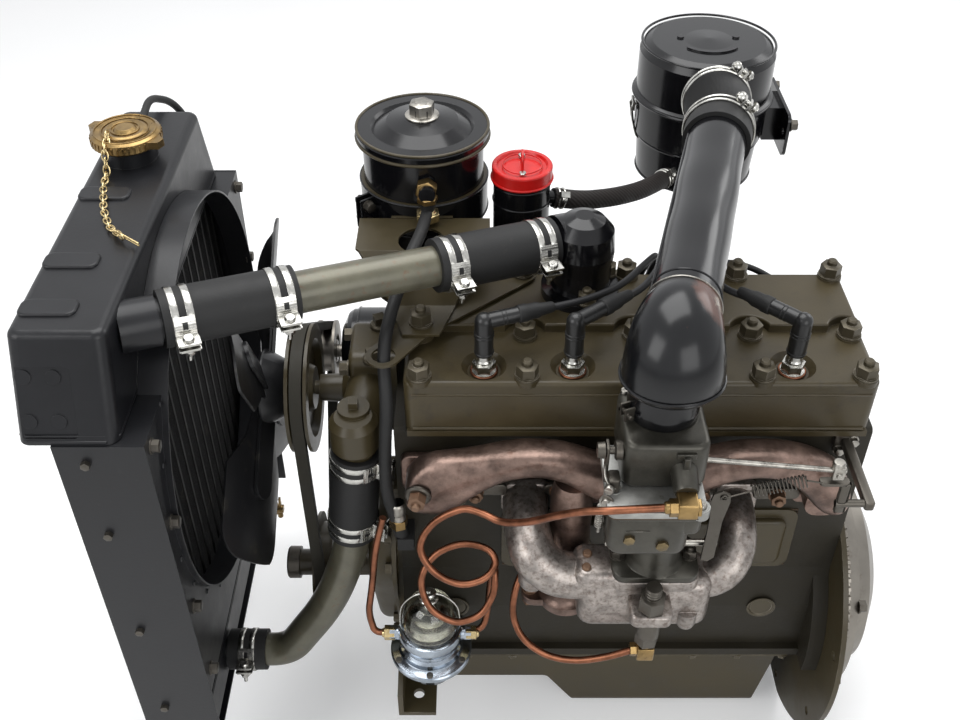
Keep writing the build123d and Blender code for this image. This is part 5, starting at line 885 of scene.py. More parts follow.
@dataclass
class HeadHardware(SubAssembly):
    """The studs, washers and nuts that hold the cylinder head, in millimetres."""

    columns: tuple[float, ...] = (-476, -368, -254, -133, -30)
    rows: tuple[float, ...] = (-104, -38, 54)
    across: float = 20.0
    washer: float = 12.6
    stud: float = 5.6
    reach_z: float = 437.0

    def build(self) -> None:
        """Seat a nut on every stud boss, or on the plate or bracket that lies on it."""
        work = Workpiece()
        starts = [mm(x, y, self.reach_z) for x in self.columns for y in self.rows]
        seats = ("cylinder_head", "lifting_plate", "oil_filter_bracket")
        self.bolt_row(work, starts, UP, seats, self.across, self.washer, self.stud)
        self.piece(work, "head_nuts", "dark_nut")
        self._casting_marks()
        self._core_plugs()

    def _casting_marks(self) -> None:
        """The two parting lines cast along the head's left side."""
        work = Workpiece()
        left, right = self.columns[0] - 8, self.columns[-1] + 8
        for y, z, thickness in ((-113.6, 395, 1.6), (-114.4, 350, 1.8)):
            work.tube([mm(left, y, z), mm(right, y, z)], thickness, 8)
        self.piece(work, "head_parting_lines", "head_paint")

    def _core_plugs(self) -> None:
        """The two core plugs let into the head's front end."""
        work = Workpiece()
        for y in (-70, 6):
            seat = self.gauge.meet(mm(-540, y, 374), REAR, "cylinder_head")
            work.lathe([(0, 0), (14, 0), (14, 1.2), (11.5, 1.2), (10, 0.3), (0, 0.3)], along(seat, -REAR), 28)
        self.piece(work, "head_core_plugs", "dark_nut")


@dataclass
class PlugDress(SubAssembly):
    """Gaskets, collars and rubber boots of the spark plugs and their caps, in millimetres."""

    plug_x: tuple[float, ...] = (-411, -321, -188, -98)
    plug_y: float = -85.0
    seat_z: float = 402.0
    elbow_z: float = 466.0
    arms: tuple[Point, ...] = ((34, 12, 0), (31, 24, 0), (-10, 38, 2), (-29, 27, 0))
    arm_reach: float = 38.0
    arm_radius: float = 8.0

    def build(self) -> None:
        """Dress the four plugs."""
        gaskets = Workpiece()
        collars = Workpiece()
        boots = Workpiece()
        for x, (dx, dy, dz) in zip(self.plug_x, self.arms):
            gaskets.ring(mm(x, self.plug_y, self.seat_z + 1.4), UP, 13.2, 1.3, 28)
            knee = mm(x, self.plug_y, self.elbow_z)
            reach = self.arm_reach / math.hypot(dx, dy)
            tip = knee + mm(dx * reach, dy * reach, dz)
            heading = (tip - knee).normalized()
            rows = (
                (self.seat_z + 27, 9.5, 0.8), (self.elbow_z - 13, 9.4, 0.8), (self.elbow_z - 17, 9.4, 0.8),
            )
            collars.beads(x, self.plug_y, rows, 28)
            for back in (0.016, 0.02):
                collars.ring(tip - heading * back, heading, self.arm_radius - 0.3, 0.7, 24)
            profile = [
                (8.3, -3), (9.2, -2), (9.2, 6), (8.4, 8), (8.2, 17), (6.6, 22), (5.6, 34), (4.4, 36),
                (3.8, 36),
            ]
            boots.lathe(profile, along(tip, heading), 24)
        self.piece(gaskets, "plug_gaskets", "copper_tube")
        self.piece(collars, "plug_cap_rings", "moulded_black")
        self.piece(boots, "lead_boots", "hose_rubber")


@dataclass
class HoseClampSet(SubAssembly):
    """Double-band hose clamps: two bands, a slotted bridge, and ears drawn together by a screw."""

    upper_start: Point = (-731, -153, 515)
    upper_end: Point = (-340, 24, 485)
    upper_x: tuple[float, ...] = (-691, -606, -445, -356)
    lower_start: Point = (-547, -98, 304)
    lower_end: Point = (-560, -100, 178)
    lower_shares: tuple[float, ...] = (0.12, 0.86)
    radiator_centre: Point = (-707.5, -100, -50)
    hose_radius: float = 27.5
    radiator_hose_radius: float = 25.5
    band_shift: float = 6.8
    band_width: float = 6.8
    band_thickness: float = 1.1
    ear_reach: float = 15.0

    def build(self) -> None:
        """Make all seven clamps and stand them in for the plain ones."""
        bright = Workpiece()
        dark = Workpiece()
        start, end = Vector(self.upper_start), Vector(self.upper_end)
        for x in self.upper_x:
            centre = start.lerp(end, (x - start.x) / (end.x - start.x))
            self._clamp(bright, dark, centre, end - start, Vector((0, -1, -0.12)), self.hose_radius)
        top, foot = Vector(self.lower_start), Vector(self.lower_end)
        for share in self.lower_shares:
            centre = top.lerp(foot, share)
            self._clamp(bright, dark, centre, top - foot, Vector((1, -0.5, 0)), self.hose_radius)
        centre = Vector(self.radiator_centre)
        self._clamp(bright, dark, centre, REAR, Vector((0, -1, 0.25)), self.radiator_hose_radius)
        made = self.piece(bright, "hose_clamp_bands", "bright_zinc")
        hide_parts("hose_clamps")
        self.piece(dark, "hose_clamp_slots", "moulded_black")

    def _clamp(
        self, bright: Workpiece, dark: Workpiece, centre: Vector, axis: Vector, out: Vector, radius: float,
    ) -> None:
        """Add one clamp.

        Args:
            bright: The mesh of the plated pieces.
            dark: The mesh of the slots.
            centre: The clamp's middle, in millimetres.
            axis: The hose's direction.
            out: Where the ears stick out.
            radius: The hose's radius, in millimetres.
        """
        place = frame_axes(axis, out, centre * MM)
        inner, outer = radius + 0.1, radius + self.band_thickness
        half = self.band_width / 2
        for shift in (-self.band_shift, self.band_shift):
            turned = place @ Matrix.Rotation(math.pi / 2, 4, "Y") @ at(0, 0, shift)
            profile = [
                (inner, -half), (outer - 0.3, -half), (outer, -half + 0.5), (outer, half - 0.5),
                (outer - 0.3, half), (inner, half),
            ]
            bright.lathe(profile, turned, 56)
        self._bridge(bright, dark, place, outer)
        self._ears(bright, place, radius)

    def _bridge(self, bright: Workpiece, dark: Workpiece, place: Matrix, outer: float) -> None:
        """The plate that joins the two bands on both sides of the ears, with its slots.

        Args:
            bright: The mesh of the plated pieces.
            dark: The mesh of the slots.
            place: The clamp's frame.
            outer: Outer radius of the bands, in millimetres.
        """
        width = 2 * self.band_shift + self.band_width - 1
        steps = 7
        for side in (-1, 1):
            for step in range(steps):
                angle = side * math.radians(9 + 5 * step)
                turn = place @ Matrix.Rotation(-angle, 4, "X") @ at(0, 0, outer + 0.25)
                span = outer * math.radians(5.6)
                if step in (2, 3, 4):
                    rail = (width - 4.6) / 2
                    for shift in (-1, 1):
                        bright.box(mm(rail, span, 0.9), turn @ at(shift * (2.3 + rail / 2), 0, 0))
                    dark.box(mm(4.6, span, 0.3), turn @ at(0, 0, -0.5))
                else:
                    bright.box(mm(width, span, 0.9), turn)

    def _ears(self, bright: Workpiece, place: Matrix, radius: float) -> None:
        """The two ears with their screw, nut and thread end.

        Args:
            bright: The mesh of the plated pieces.
            place: The clamp's frame.
            radius: The hose's radius, in millimetres.
        """
        facing = Vector((0, -0.77, 0.64))
        across = place.to_3x3() @ Vector((0, 1, 0))
        side = 1 if across.dot(facing) > 0 else -1
        middle = radius + self.ear_reach / 2
        width = 2 * self.band_shift + self.band_width
        for shift in (3.4, -3.4):
            bright.box(mm(width, 1.6, self.ear_reach + 1), place @ at(0, side * shift, middle))
            fold = place @ at(0, side * shift, radius + self.ear_reach + 0.4)
            bright.box(mm(width - 3, 2.8, 1.4), fold)
        screw_axis = across * side
        centre = place @ mm(0, 0, middle + 1.5)
        bright.screw(5.4, along(centre + screw_axis * 4.2 * MM, screw_axis), 3.6)
        bright.tube([centre + screw_axis * 4.2 * MM, centre - screw_axis * 21 * MM], 2.3, 12)
        for height, size in ((-12.6, 5.2), (-8.2, 6.2)):
            nut = along(centre + screw_axis * height * MM, screw_axis)
            bright.disc(size, 3.4, nut, 6 if height < -10 else 20)


@dataclass
class RadiatorDress(SubAssembly):
    """Fins, seams, chain, cap and fasteners of the radiator and its shroud, in millimetres."""

    front_x: float = -792.0
    rear_x: float = -744.0
    half_width: float = 226.0
    low_z: float = -16.0
    high_z: float = 446.0
    fin_pitch: float = 3.2
    tank_top_z: float = 545.0
    cap: Point = (-786, 100, 563.3)
    cap_radius: float = 37.0
    shroud_radius: float = 219.0
    fan_z: float = 305.0
    panel_x: float = -712.0

    def build(self) -> None:
        """Dress the radiator from the core outwards."""
        self._fins()
        self._seams()
        self._cap()
        self._chain()
        self._fasteners()
        self._drain_tap()

    def _fins(self) -> None:
        """The stack of thin level fins between the water tubes."""
        work = Workpiece()
        count = int((self.high_z - self.low_z) / self.fin_pitch)
        depth = self.rear_x - self.front_x - 1.2
        middle = (self.front_x + self.rear_x) / 2
        for index in range(1, count):
            level = self.low_z + index * self.fin_pitch
            work.box(mm(depth, 2 * self.half_width - 1, 0.35), at(middle, 0, level))
        self.piece(work, "radiator_fins", "core_black")

    def _seams(self) -> None:
        """The folded seam where the top tank meets the core, and the bead round the bottom tank."""
        work = Workpiece()
        for z, thickness in ((self.high_z + 2.6, 2), (self.high_z + 8, 1)):
            lean = (z - self.high_z) * 0.35
            half = self.half_width + 11.2 - lean
            corners = [
                mm(-824, -half + 10, z), mm(-816, -half, z), mm(-746, -half, z), mm(-736.4, -half + 8, z),
                mm(-736.4, half - 8, z), mm(-746, half, z), mm(-816, half, z), mm(-824, half - 10, z),
            ]
            work.tube(corners, thickness, 8, close=True)
        half = self.half_width - 1.6
        low = self.low_z - 4
        base = [mm(-799, -half, low), mm(-735, -half, low), mm(-735, half, low), mm(-799, half, low)]
        work.tube(base, 1.6, 8, close=True)
        self.piece(work, "radiator_seams", "radiator_black")

    def _cap(self) -> None:
        """The flutes, rings and rivet of the brass filler cap."""
        work = Workpiece()
        x, y, z = self.cap
        reach = self.cap_radius - 0.6
        for angle in around(40):
            place = at(x + reach * math.cos(angle), y + reach * math.sin(angle), z + 5.6)
            work.box(mm(1.6, 1.9, 7.6), place @ Matrix.Rotation(angle, 4, "Z"))
        work.beads(x, y, ((z + 13.4, 32, 0.8), (z + 13.3, 24.5, 0.8), (z + 13.9, 14.5, 0.8)), 48)
        work.button(5.4, (4.6, 1), 1.4, at(x, y, z + 14.5), 20)
        self.piece(work, "radiator_cap_rings", "brass")

    def _chain(self) -> None:
        """The cap's chain: oval links, each turned a quarter from the last, down to a split pin."""
        work = Workpiece()
        x, y, z = self.cap
        top = self.tank_top_z
        route = [
            Vector((x - 12, y - 22, z + 16.6)), Vector((x - 12, y - 39.5, z + 7)),
            Vector((x - 12, y - 46, top + 7)), Vector((x - 10, y - 70, top + 3.6)),
            Vector((x + 1, y - 112, top + 3.6)), Vector((x + 14, y - 142, top + 3.6)),
            Vector((x + 32, y - 164, top + 6.5)),
        ]
        pitch, reach = 7.6, 0
        spots = []
        for start, end in zip(route, route[1:]):
            length = (end - start).length
            while reach < length:
                spots.append((start.lerp(end, reach / length), (end - start).normalized()))
                reach += pitch
            reach -= length
        for index, (spot, heading) in enumerate(spots):
            out = UP if index % 2 else UP.cross(heading)
            place = frame_axes(heading, out if out.length > 0.1 else RIGHT, spot * MM)
            oval = [place @ mm(6.2 * math.cos(turn), 3.3 * math.sin(turn), 0) for turn in around(14)]
            work.tube(oval, 0.95, 6, close=True)
        work.ring(spots[0][0] * MM, REAR, 6, 1, 20)
        end = route[-1]
        pin = [end + Vector((-9, 6, 3)), end + Vector((4, -2, 1)), end + Vector((19, -11, -2))]
        for shift in (-1.3, 1.3):
            work.tube([(point + Vector((0, 0, shift))) * MM for point in pin], 0.9, 8)
        work.ring(pin[0] * MM, Vector((0.3, 0.4, 1)), 3.4, 0.9, 18)
        self.piece(work, "cap_chain", "pale_brass")

    def _fasteners(self) -> None:
        """The bolts that hold the shroud to the straps, and rivets along the shroud's ring."""
        bolts = Workpiece()
        for side in (-1, 1):
            starts = [mm(self.panel_x + 20, side * (self.half_width - 2), z) for z in (90, 200, 330, 432)]
            self.bolt_row(bolts, starts, REAR, ("fan_shroud",), 11, 8)
            starts = [mm(-768, side * 260, z) for z in (-40, 40, 180, 330, 425)]
            self.bolt_row(bolts, starts, RIGHT * side, ("radiator_side_straps",), 8)
        self.piece(bolts, "radiator_bolts", "dark_steel", "radiator_black")
        rivets = Workpiece()
        ring = self.shroud_radius + 7
        for angle in around(24, 0.5):
            start = mm(self.panel_x + 15, ring * math.cos(angle), self.fan_z + ring * math.sin(angle))
            seat = self.gauge.meet(start, -REAR, "fan_shroud")
            if seat and abs(seat.x - self.panel_x * MM) < 0.002:
                rivets.button(3.2, (2.2, 1.4), 1.7, along(seat, REAR), 12)
        self.piece(rivets, "shroud_rivets", "radiator_black")

    def _drain_tap(self) -> None:
        """The tap at the foot of the bottom tank."""
        work = Workpiece()
        tap = mm(self.rear_x + 30, 150, -62)
        place = along(tap, REAR)
        work.lathe([(0, 0), (9, 0), (9, 5), (6, 7), (6, 14), (0, 14)], place, 20)
        work.box(mm(3, 5, 20), Matrix.Translation(tap + mm(10, 0, 12)))
        work.tube([tap + mm(8, 0, 0), tap + mm(8, 0, -16)], 4, 14)
        self.piece(work, "drain_tap", "brass")


@dataclass
class FuelPumpDress(SubAssembly):
    """The fuel pump with its rim screws and unions, and the glass bowl in its wire bail, in millimetres."""

    centre: Spot = (-472, -166)
    rim_radius: float = 41.6
    mount_y: float = -119.2
    screws: int = 6
    glass_radius: float = 29.0
    glass_low_z: float = 87.3
    glass_top_z: float = 138.0

    def build(self) -> None:
        """Make the pump's body, then what is on it."""
        x, y = self.centre
        body = Workpiece()
        profile = [
            (0, 0), (20, 0), (25, 7), (29, 32), (37, 40), (44, 42), (47, 44.5), (47, 49), (45.6, 50.6),
            (38, 52), (36.6, 53), (36, 60), (32.6, 62), (32, 68), (34.6, 71), (36.4, 74), (36.4, 83),
            (35.2, 86), (33, 87), (0, 87),
        ]
        body.lathe(profile, at(x, y, 0), 64)
        body.slab((x - 19, y + 6, 12), (x + 19, self.mount_y, 42), 4, 5)
        body.slab((x - 30, self.mount_y - 8, 4), (x + 30, self.mount_y, 50), 3, 1.5)
        for side in (-1, 1):
            heading = REAR * side
            body.button(8.6, (8, 10), 10, along(mm(x + side * 30, y, 75), heading), 24)
            body.hexagon(15, 8, along(mm(x + side * 39, y, 75), heading), 0.2)
        made = self.piece(body, "pump_body", "pump_zinc")
        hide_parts("fuel_pump")
        work = Workpiece()
        for angle in around(self.screws, 0.5):
            spot = mm(x + self.rim_radius * math.cos(angle), y + self.rim_radius * math.sin(angle), 50.9)
            work.screw(4, along(spot, UP), 2.6)
        self.piece(work, "pump_screws", "dark_steel")
        self._bail(x, y)
        self._glass(x, y)
        self._bowl_trim(x, y)

    def _bail(self, x: float, y: float) -> None:
        """The thin wire bail over the glass, with the thumb nut that presses on it."""
        work = Workpiece()
        reach = self.glass_radius + 4.6
        top = self.glass_top_z + 8
        path = eased(
            [
                (x - reach, y, 84), (x - reach, y, 104), (x - reach + 3, y, 124),
                (x - reach + 14, y, top - 6), (x - 8, y, top), (x + 8, y, top), (x + reach - 14, y, top - 6),
                (x + reach - 3, y, 124), (x + reach, y, 104), (x + reach, y, 84),
            ],
            5,
        )
        work.tube(path, 1.1, 10)
        for side in (-1, 1):
            work.ring(mm(x + side * reach, y, 82), RIGHT, 2.6, 1.2, 16)
        profile = [
            (0, 0), (10, 0), (11, 0.8), (10, 1.8), (4.4, 2.6), (3, 4), (3, 5), (7.5, 5.6), (8.4, 7),
            (8.4, 10), (7, 11.6), (3.2, 12), (3, 14), (0, 14.2),
        ]
        work.lathe(profile, at(x, y, self.glass_top_z + 0.4), 24)
        self.piece(work, "bowl_bail", "bright_zinc")

    def _glass(self, x: float, y: float) -> None:
        """The domed glass bowl, with its wall's thickness."""
        glass = Workpiece()
        outer = [(31.5, self.glass_low_z), (32, 92), (31.6, 104), (29, 117), (23, 128), (14, 135.5), (0, 138)]
        inner = [
            (0, 135.4), (13, 133.2), (21.4, 126), (27, 115.6), (29.4, 103.6), (29.8, 92),
            (29.5, self.glass_low_z + 0.2),
        ]
        glass.lathe(outer + inner + outer[:1], at(x, y, 0), 56)
        made = self.piece(glass, "glass_dome", "bowl_glass", smooth=60)
        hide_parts("fuel_bowl")

    def _bowl_trim(self, x: float, y: float) -> None:
        """The gasket under the glass and the gauze with its disc inside it."""
        seal = Workpiece()
        seal.ring(mm(x, y, self.glass_low_z - 0.2), UP, self.glass_radius - 0.6, 1.2, 36)
        self.piece(seal, "bowl_gasket", "cork")
        gauze = Workpiece()
        profile = [
            (0, 0), (24, 0), (24, 3), (21, 4.4), (17, 5), (15, 12), (15, 17), (11, 18.4), (9, 26), (9, 31),
            (5, 32), (4, 42), (0, 42.4),
        ]
        gauze.lathe(profile, at(x, y, self.glass_low_z + 0.6), 28)
        gauze.beads(x, y, [(self.glass_low_z + 5, radius, 0.5) for radius in (8, 12, 16)], 28)
        self.piece(gauze, "bowl_strainer", "bright_zinc")


@dataclass
class LineFittings(SubAssembly):
    """Flare nuts at the ends of the fuel and oil lines, in millimetres."""

    nuts: tuple[tuple[Point, Point, float, float], ...] = (
        ((-431, -166, 75), (1, 0, 0), 15, 12), ((-513, -166, 75), (-1, 0, 0), 15, 12),
        ((-472, 88, 474), (0, 0, 1), 24, 9),
    )

    def build(self) -> None:
        """Slip a flare nut on each line end."""
        for index, (spot, axis, across, length) in enumerate(self.nuts):
            work = Workpiece()
            place = along(mm(*spot), Vector(axis))
            work.hexagon(across, length, place, 0.3 * index)
            corner = across * 0.4
            work.lathe(
                [(corner, length - 0.4), (corner * 0.82, length + 2.4), (corner * 0.5, length + 3.4)], place,
                16,
            )
            self.piece(work, f"line_nut_{index + 1}", "pale_brass")


@dataclass
class AirHorn(SubAssembly):
    """The pressed horn over the carburettor and the tube that leads back from it, in millimetres."""

    neck: Spot = (-243, -170)
    foot_z: float = 428.3
    seam_z: float = 489.0
    mouth: Spot = (-232.8, -150)
    hinge_z: float = 493.0
    reach: float = 38.0
    half_length: float = 45.0
    half_width: float = 46.5
    lean: float = 10.5
    collar: float = 34.2
    tube_start: Point = (-232.8, -150, 530)
    tube_end: Point = (-147, 178, 530)
    tube_radius: float = 32.5

    def build(self) -> None:
        """Make the horn, its lower shell, the clamp on the neck, and the tube."""
        self._shell()
        self._neck()
        self._tube()

    def _section(self, share: float) -> list[Vector]:
        """One section of the pressing, which turns about the bend's inner line.

        Args:
            share: 0 at the seam, where it lies flat, and 1 at the mouth, where it stands round the tube.

        Returns:
            The ring's corners in metres.
        """
        back = (mm(*self.tube_end) - mm(*self.tube_start)).normalized()
        back = Vector((0, 1, 0)).lerp(back, share).normalized()
        across = back.cross(UP).normalized()
        pivot = mm(self.mouth[0] - self.lean * (1 - share), self.mouth[1], self.hinge_z)
        turn = math.pi / 2 * share
        blend = share ** 1.6
        round_reach = self.tube_start[2] - self.hinge_z
        ring = []
        for angle in around(40):
            front = math.cos(angle)
            flat, upright = self.reach + self.half_length * front, round_reach + self.collar * front
            deep = flat * (1 - blend) + upright * blend
            deep += 5 * math.sin(math.pi * share) * (0.5 + 0.5 * front)
            wide = self.half_width * (1 - blend) * (1 + 0.08 * front) + self.collar * blend
            wide *= math.sin(angle)
            deep = max(deep, 1.2)
            ring.append(
                pivot + (across * wide - back * deep * math.cos(turn) + UP * deep * math.sin(turn)) * MM
            )
        return ring

    def _shell(self) -> None:
        """The domed upper pressing, its rolled seam, the dished lower one and the collar round the tube."""
        work = Workpiece()
        back = (mm(*self.tube_end) - mm(*self.tube_start)).normalized()
        foot = self._section(0)
        middle = sum(foot, Vector()) / len(foot)
        rings = []
        for share, height in ((0.7, 475), (0.84, 477), (0.94, 481), (0.99, 486), (1, self.seam_z)):
            ring = [middle.lerp(corner, share) for corner in foot]
            for corner in ring:
                corner.z = height * MM
            rings.append(ring)
        rings += [self._section(step / 16) for step in range(17)]
        rings.append([corner + back * 4 * MM for corner in self._section(1)])
        work.loft([work.corners(ring) for ring in rings], last=False)
        shell = self.piece(work, "air_horn_shell", "horn_paint", smooth=60)
        smooth = shell.modifiers.new("round", "SUBSURF")
        smooth.levels = 1
        smooth.render_levels = 1
        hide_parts("air_horn")
        seam = Workpiece()
        edge = []
        for corner in foot:
            corner = middle.lerp(corner, 1.008)
            corner.z = self.seam_z * MM
            edge.append(corner)
        seam.tube(edge, 1.5, 8, close=True)
        self.piece(seam, "air_horn_seam", "gloss_black")
        lip = Workpiece()
        lip.ring(mm(*self.tube_start) + back * 4 * MM, back, self.collar + 0.3, 0.9, 64)
        self.piece(lip, "air_horn_lip", "worn_steel")

    def _neck(self) -> None:
        """The neck with its rolled foot, slotted clamp ears and screw."""
        x, y = self.neck
        work = Workpiece()
        base = at(x, y, 0)
        profile = [
            (30, self.foot_z), (33, self.foot_z), (34, self.foot_z + 2), (34, 440), (33.4, 442), (33.4, 480),
            (30, 480),
        ]
        work.lathe(profile, base, 64)
        self.piece(work, "air_horn_neck", "gloss_black")
        clamp = Workpiece()
        out = Vector((-0.93, -0.37, 0)).normalized()
        place = frame_axes(UP, out, mm(x, y, 438) + out * 38 * MM)
        for shift in (-4.6, 4.6):
            clamp.box(mm(14, 2, 10), place @ at(0, shift, 0))
        side = place.to_3x3() @ Vector((0, 1, 0))
        centre = place @ mm(0, 0, 1.5)
        clamp.tube([centre - side * 11 * MM, centre + side * 9 * MM], 2.3, 10)
        clamp.screw(5, along(centre + side * 5.4 * MM, side), 3.4)
        self.piece(clamp, "air_horn_clamp", "dark_steel")

    def _tube(self) -> None:
        """The tube with its folded seam, its slight dents and a bead near the end at the horn."""
        start, end = mm(*self.tube_start), mm(*self.tube_end)
        axis = (end - start).normalized()
        place = along(start, axis)
        length = (end - start).length
        work = Workpiece()
        rings = []
        for step in range(41):
            share = step / 40
            spots = []
            for turn in around(64):
                dent = 0.5 * math.sin(3 * turn + 9 * share) * math.sin(math.pi * share)
                dent += 0.35 * math.sin(23 * share)
                radius = (self.tube_radius + dent * 0.8) * MM
                spots.append(Vector((radius * math.cos(turn), radius * math.sin(turn), length * share)))
            rings.append(work.corners(place @ spot for spot in spots))
        work.loft(rings)
        made = self.piece(work, "air_crossover_tube", "gloss_black")
        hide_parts("crossover_tube")
        trim = Workpiece()
        trim.ring(start + axis * 18 * MM, axis, self.tube_radius + 0.2, 1.2, 64)
        out = Vector((-0.94, -0.2, 0.3))
        out = (out - axis * out.dot(axis)).normalized()
        line = [
            start + axis * length * share + out * (self.tube_radius + 0.2) * MM
            for share in (0.02, 0.35, 0.7, 0.93)
        ]
        trim.tube(line, 1.6, 8)
        self.piece(trim, "air_tube_beads", "gloss_black")


@dataclass
class Carburettor(SubAssembly):
    """The down-draught carburettor: throttle body, float bowl, cover plate and air box, in millimetres."""

    centre: Spot = (-235, -190)
    base_z: float = 232.0
    bowl_x: Spot = (-295, -217)
    bowl_y: Spot = (-251, -188)
    bowl_z: float = 309.0
    cover_x: Spot = (-298, -205)
    cover_y: Spot = (-254, -164)
    cover_z: Spot = (367, 375)
    box_x: Spot = (-283, -203)
    box_y: Spot = (-222, -138)
    top_z: float = 428.0
    seat_x: float = -226.0

    def build(self) -> None:
        """Make the castings, then what is screwed to them."""
        self._castings()
        self._cover_plate()
        self._fittings()
        self._choke_side()
        self._idle_side()

    def _castings(self) -> None:
        """The flange, throttle body, bowl and air box, cast in one grey alloy."""
        x, y = self.centre
        work = Workpiece()
        work.slab((x - 45, y - 30, self.base_z), (x + 45, y + 30, self.base_z + 8), 14, 1.2)
        work.lathe(
            ((20, 239), (31, 239), (27, 246), (26, 250), (26, 292), (30, 300), (30, 306), (20, 306)),
            at(x, y, 0), 48,
        )
        work.slab((x - 40, y - 16, 278), (-207, -166, self.cover_z[0] + 1), 12, 3)
        low, high = self.bowl_x
        work.slab((low, self.bowl_y[0], self.bowl_z), (high, self.bowl_y[1], self.cover_z[0] + 1), 15, 9)
        work.slab((high - 14, self.bowl_y[0] + 2, 337), (-207, self.bowl_y[1], self.cover_z[0] + 1), 9, 6)
        work.slab(
            (self.box_x[0], self.box_y[0], self.cover_z[1] - 1), (self.box_x[1], self.box_y[1], self.top_z),
            13, 5.5,
        )
        work.slab((low + 4, self.bowl_y[0] - 2, 362), (high + 8, self.bowl_y[0] + 20, 367.6), 9, 1.2)
        made = self.piece(work, "carburettor_castings", "carburettor_metal", smooth=50)
        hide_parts("carburettor")
        neck = Workpiece()
        profile = [(20, self.top_z - 1), (36, self.top_z - 1), (35, self.top_z), (20, self.top_z + 0.2)]
        neck.lathe(profile, at(-243, -170, 0), 48)
        face, z = self.bowl_y[0] - 0.2, self.bowl_z + 38
        neck.tube([mm(low + 16, face, z), mm(low + (high - low) / 2, face, z)], 0.7, 6)
        self.piece(neck, "carburettor_collar", "carburettor_metal")

    def _cover_plate(self) -> None:
        """The pale cover over the bowl, its gasket and its slotted screws."""
        plate = Workpiece()
        plate.slab(
            (self.cover_x[0], self.cover_y[0], self.cover_z[0]),
            (self.cover_x[1], self.cover_y[1], self.cover_z[1]), 9, 1,
        )
        for x, y in ((-211, -245.5), (-290, -222)):
            plate.disc(8.6, 11.6, at(x, y, self.cover_z[0] - 3), 24)
        self.piece(plate, "bowl_cover", "pale_alloy")
        seal = Workpiece()
        seal.slab(
            (self.cover_x[0] + 0.6, self.cover_y[0] + 0.4, self.cover_z[0] - 1.3),
            (self.cover_x[1] - 0.6, self.cover_y[1], self.cover_z[0] - 0.2), 8, 0.2,
        )
        self.piece(seal, "bowl_cover_gasket", "cork")
        screws = Workpiece()
        for x, y in ((-211, -245.5), (-290, -222)):
            screws.screw(5.2, at(x, y, self.cover_z[1] + 0.5), 3.4)
        for x, y in ((-211, -146), (-276, -146)):
            screws.screw(4.6, at(x, y, self.top_z), 3)
        self.piece(screws, "carburettor_screws", "worn_steel")
        nuts = Workpiece()
        for side in (-1, 1):
            place = at(self.centre[0] + side * 37, self.centre[1], self.base_z + 8)
            nuts.bolt(13, place, 8.6, 3.8, 0.4 * side)
        self.piece(nuts, "carburettor_nuts", "dark_steel")

    def _fittings(self) -> None:
        """The needle seat's boss with its fin, and the brass elbow that the fuel line enters."""
        boss = Workpiece()
        front = self.box_y[0]
        start, end = mm(self.seat_x, front + 3, 397), mm(self.seat_x, front - 21, 390)
        place = along(start, end - start)
        length = (end - start).length / MM
        boss.lathe([(0, 0), (13.4, 0), (12.6, 5), (12, length - 3), (10.8, length), (0, length)], place, 32)
        boss.slab((self.seat_x - 3, front - 8, 396), (self.seat_x + 3, front + 2, 420), 1.4, 0.8)
        boss.slab((self.seat_x - 9, front - 3, 415), (self.seat_x + 9, front + 2, 421), 1.4, 1)
        self.piece(boss, "needle_seat_boss", "carburettor_metal")
        elbow = Workpiece()
        elbow.slab((self.seat_x - 9.5, front - 40.5, 375.3), (self.seat_x + 9.5, front - 19, 392.6), 2, 1.6)
        elbow.hexagon(15, 8, along(mm(self.seat_x - 9, -254.5, 383.5), -REAR), 0.2)
        elbow.lathe(
            [(6.2, 7.6), (6, 11), (4.6, 12.5), (3.9, 12.5)], along(mm(self.seat_x - 9, -254.5, 383.5), -REAR),
            20,
        )
        elbow.hexagon(16, 3, along(mm(self.seat_x + 9, -254.5, 383.5), REAR), 0.2)
        self.piece(elbow, "fuel_elbow", "brass")

    def _choke_side(self) -> None:
        """The choke's lever, its swivel and screws on the box's front side."""
        x = self.box_x[0]
        dark = Workpiece()
        dark.tube([mm(x + 4, -207, 410), mm(x - 20, -207, 410)], 4, 14)
        dark.lathe([(0, 0), (9.5, 0), (9.5, 6), (8, 7), (0, 7)], along(mm(x, -207, 410), -REAR), 24)
        dark.slab((x - 15, -214, 372), (x - 12, -200, 418), 1.2, 0.5)
        dark.button(8.4, (7.6, 7), 8, along(mm(x - 16, -207, 410), -REAR), 20)
        dark.slab((x - 13, -230, 376), (x - 2, -214, 392), 3, 1.2)
        self.piece(dark, "choke_lever", "dark_steel")
        bright = Workpiece()
        wire = eased([(x - 14, -207, 398), (x - 16, -222, 392), (x - 10, -230, 384), (x - 1, -226, 380)])
        bright.tube(wire, 1.3, 8)
        bright.screw(5.4, along(mm(x - 19, -207, 410), -REAR), 3.2)
        bright.screw(5, along(mm(x - 12, -232, 384), Vector((-0.4, -1, 0.2))), 4)
        bright.disc(7, 2, along(mm(x - 14, -236, 372), Vector((-0.5, -1, 0.3))), 20)
        bright.screw(4.4, along(mm(x - 15, -238, 372.6), Vector((-0.5, -1, 0.3))), 3)
        self.piece(bright, "choke_screws", "worn_steel")

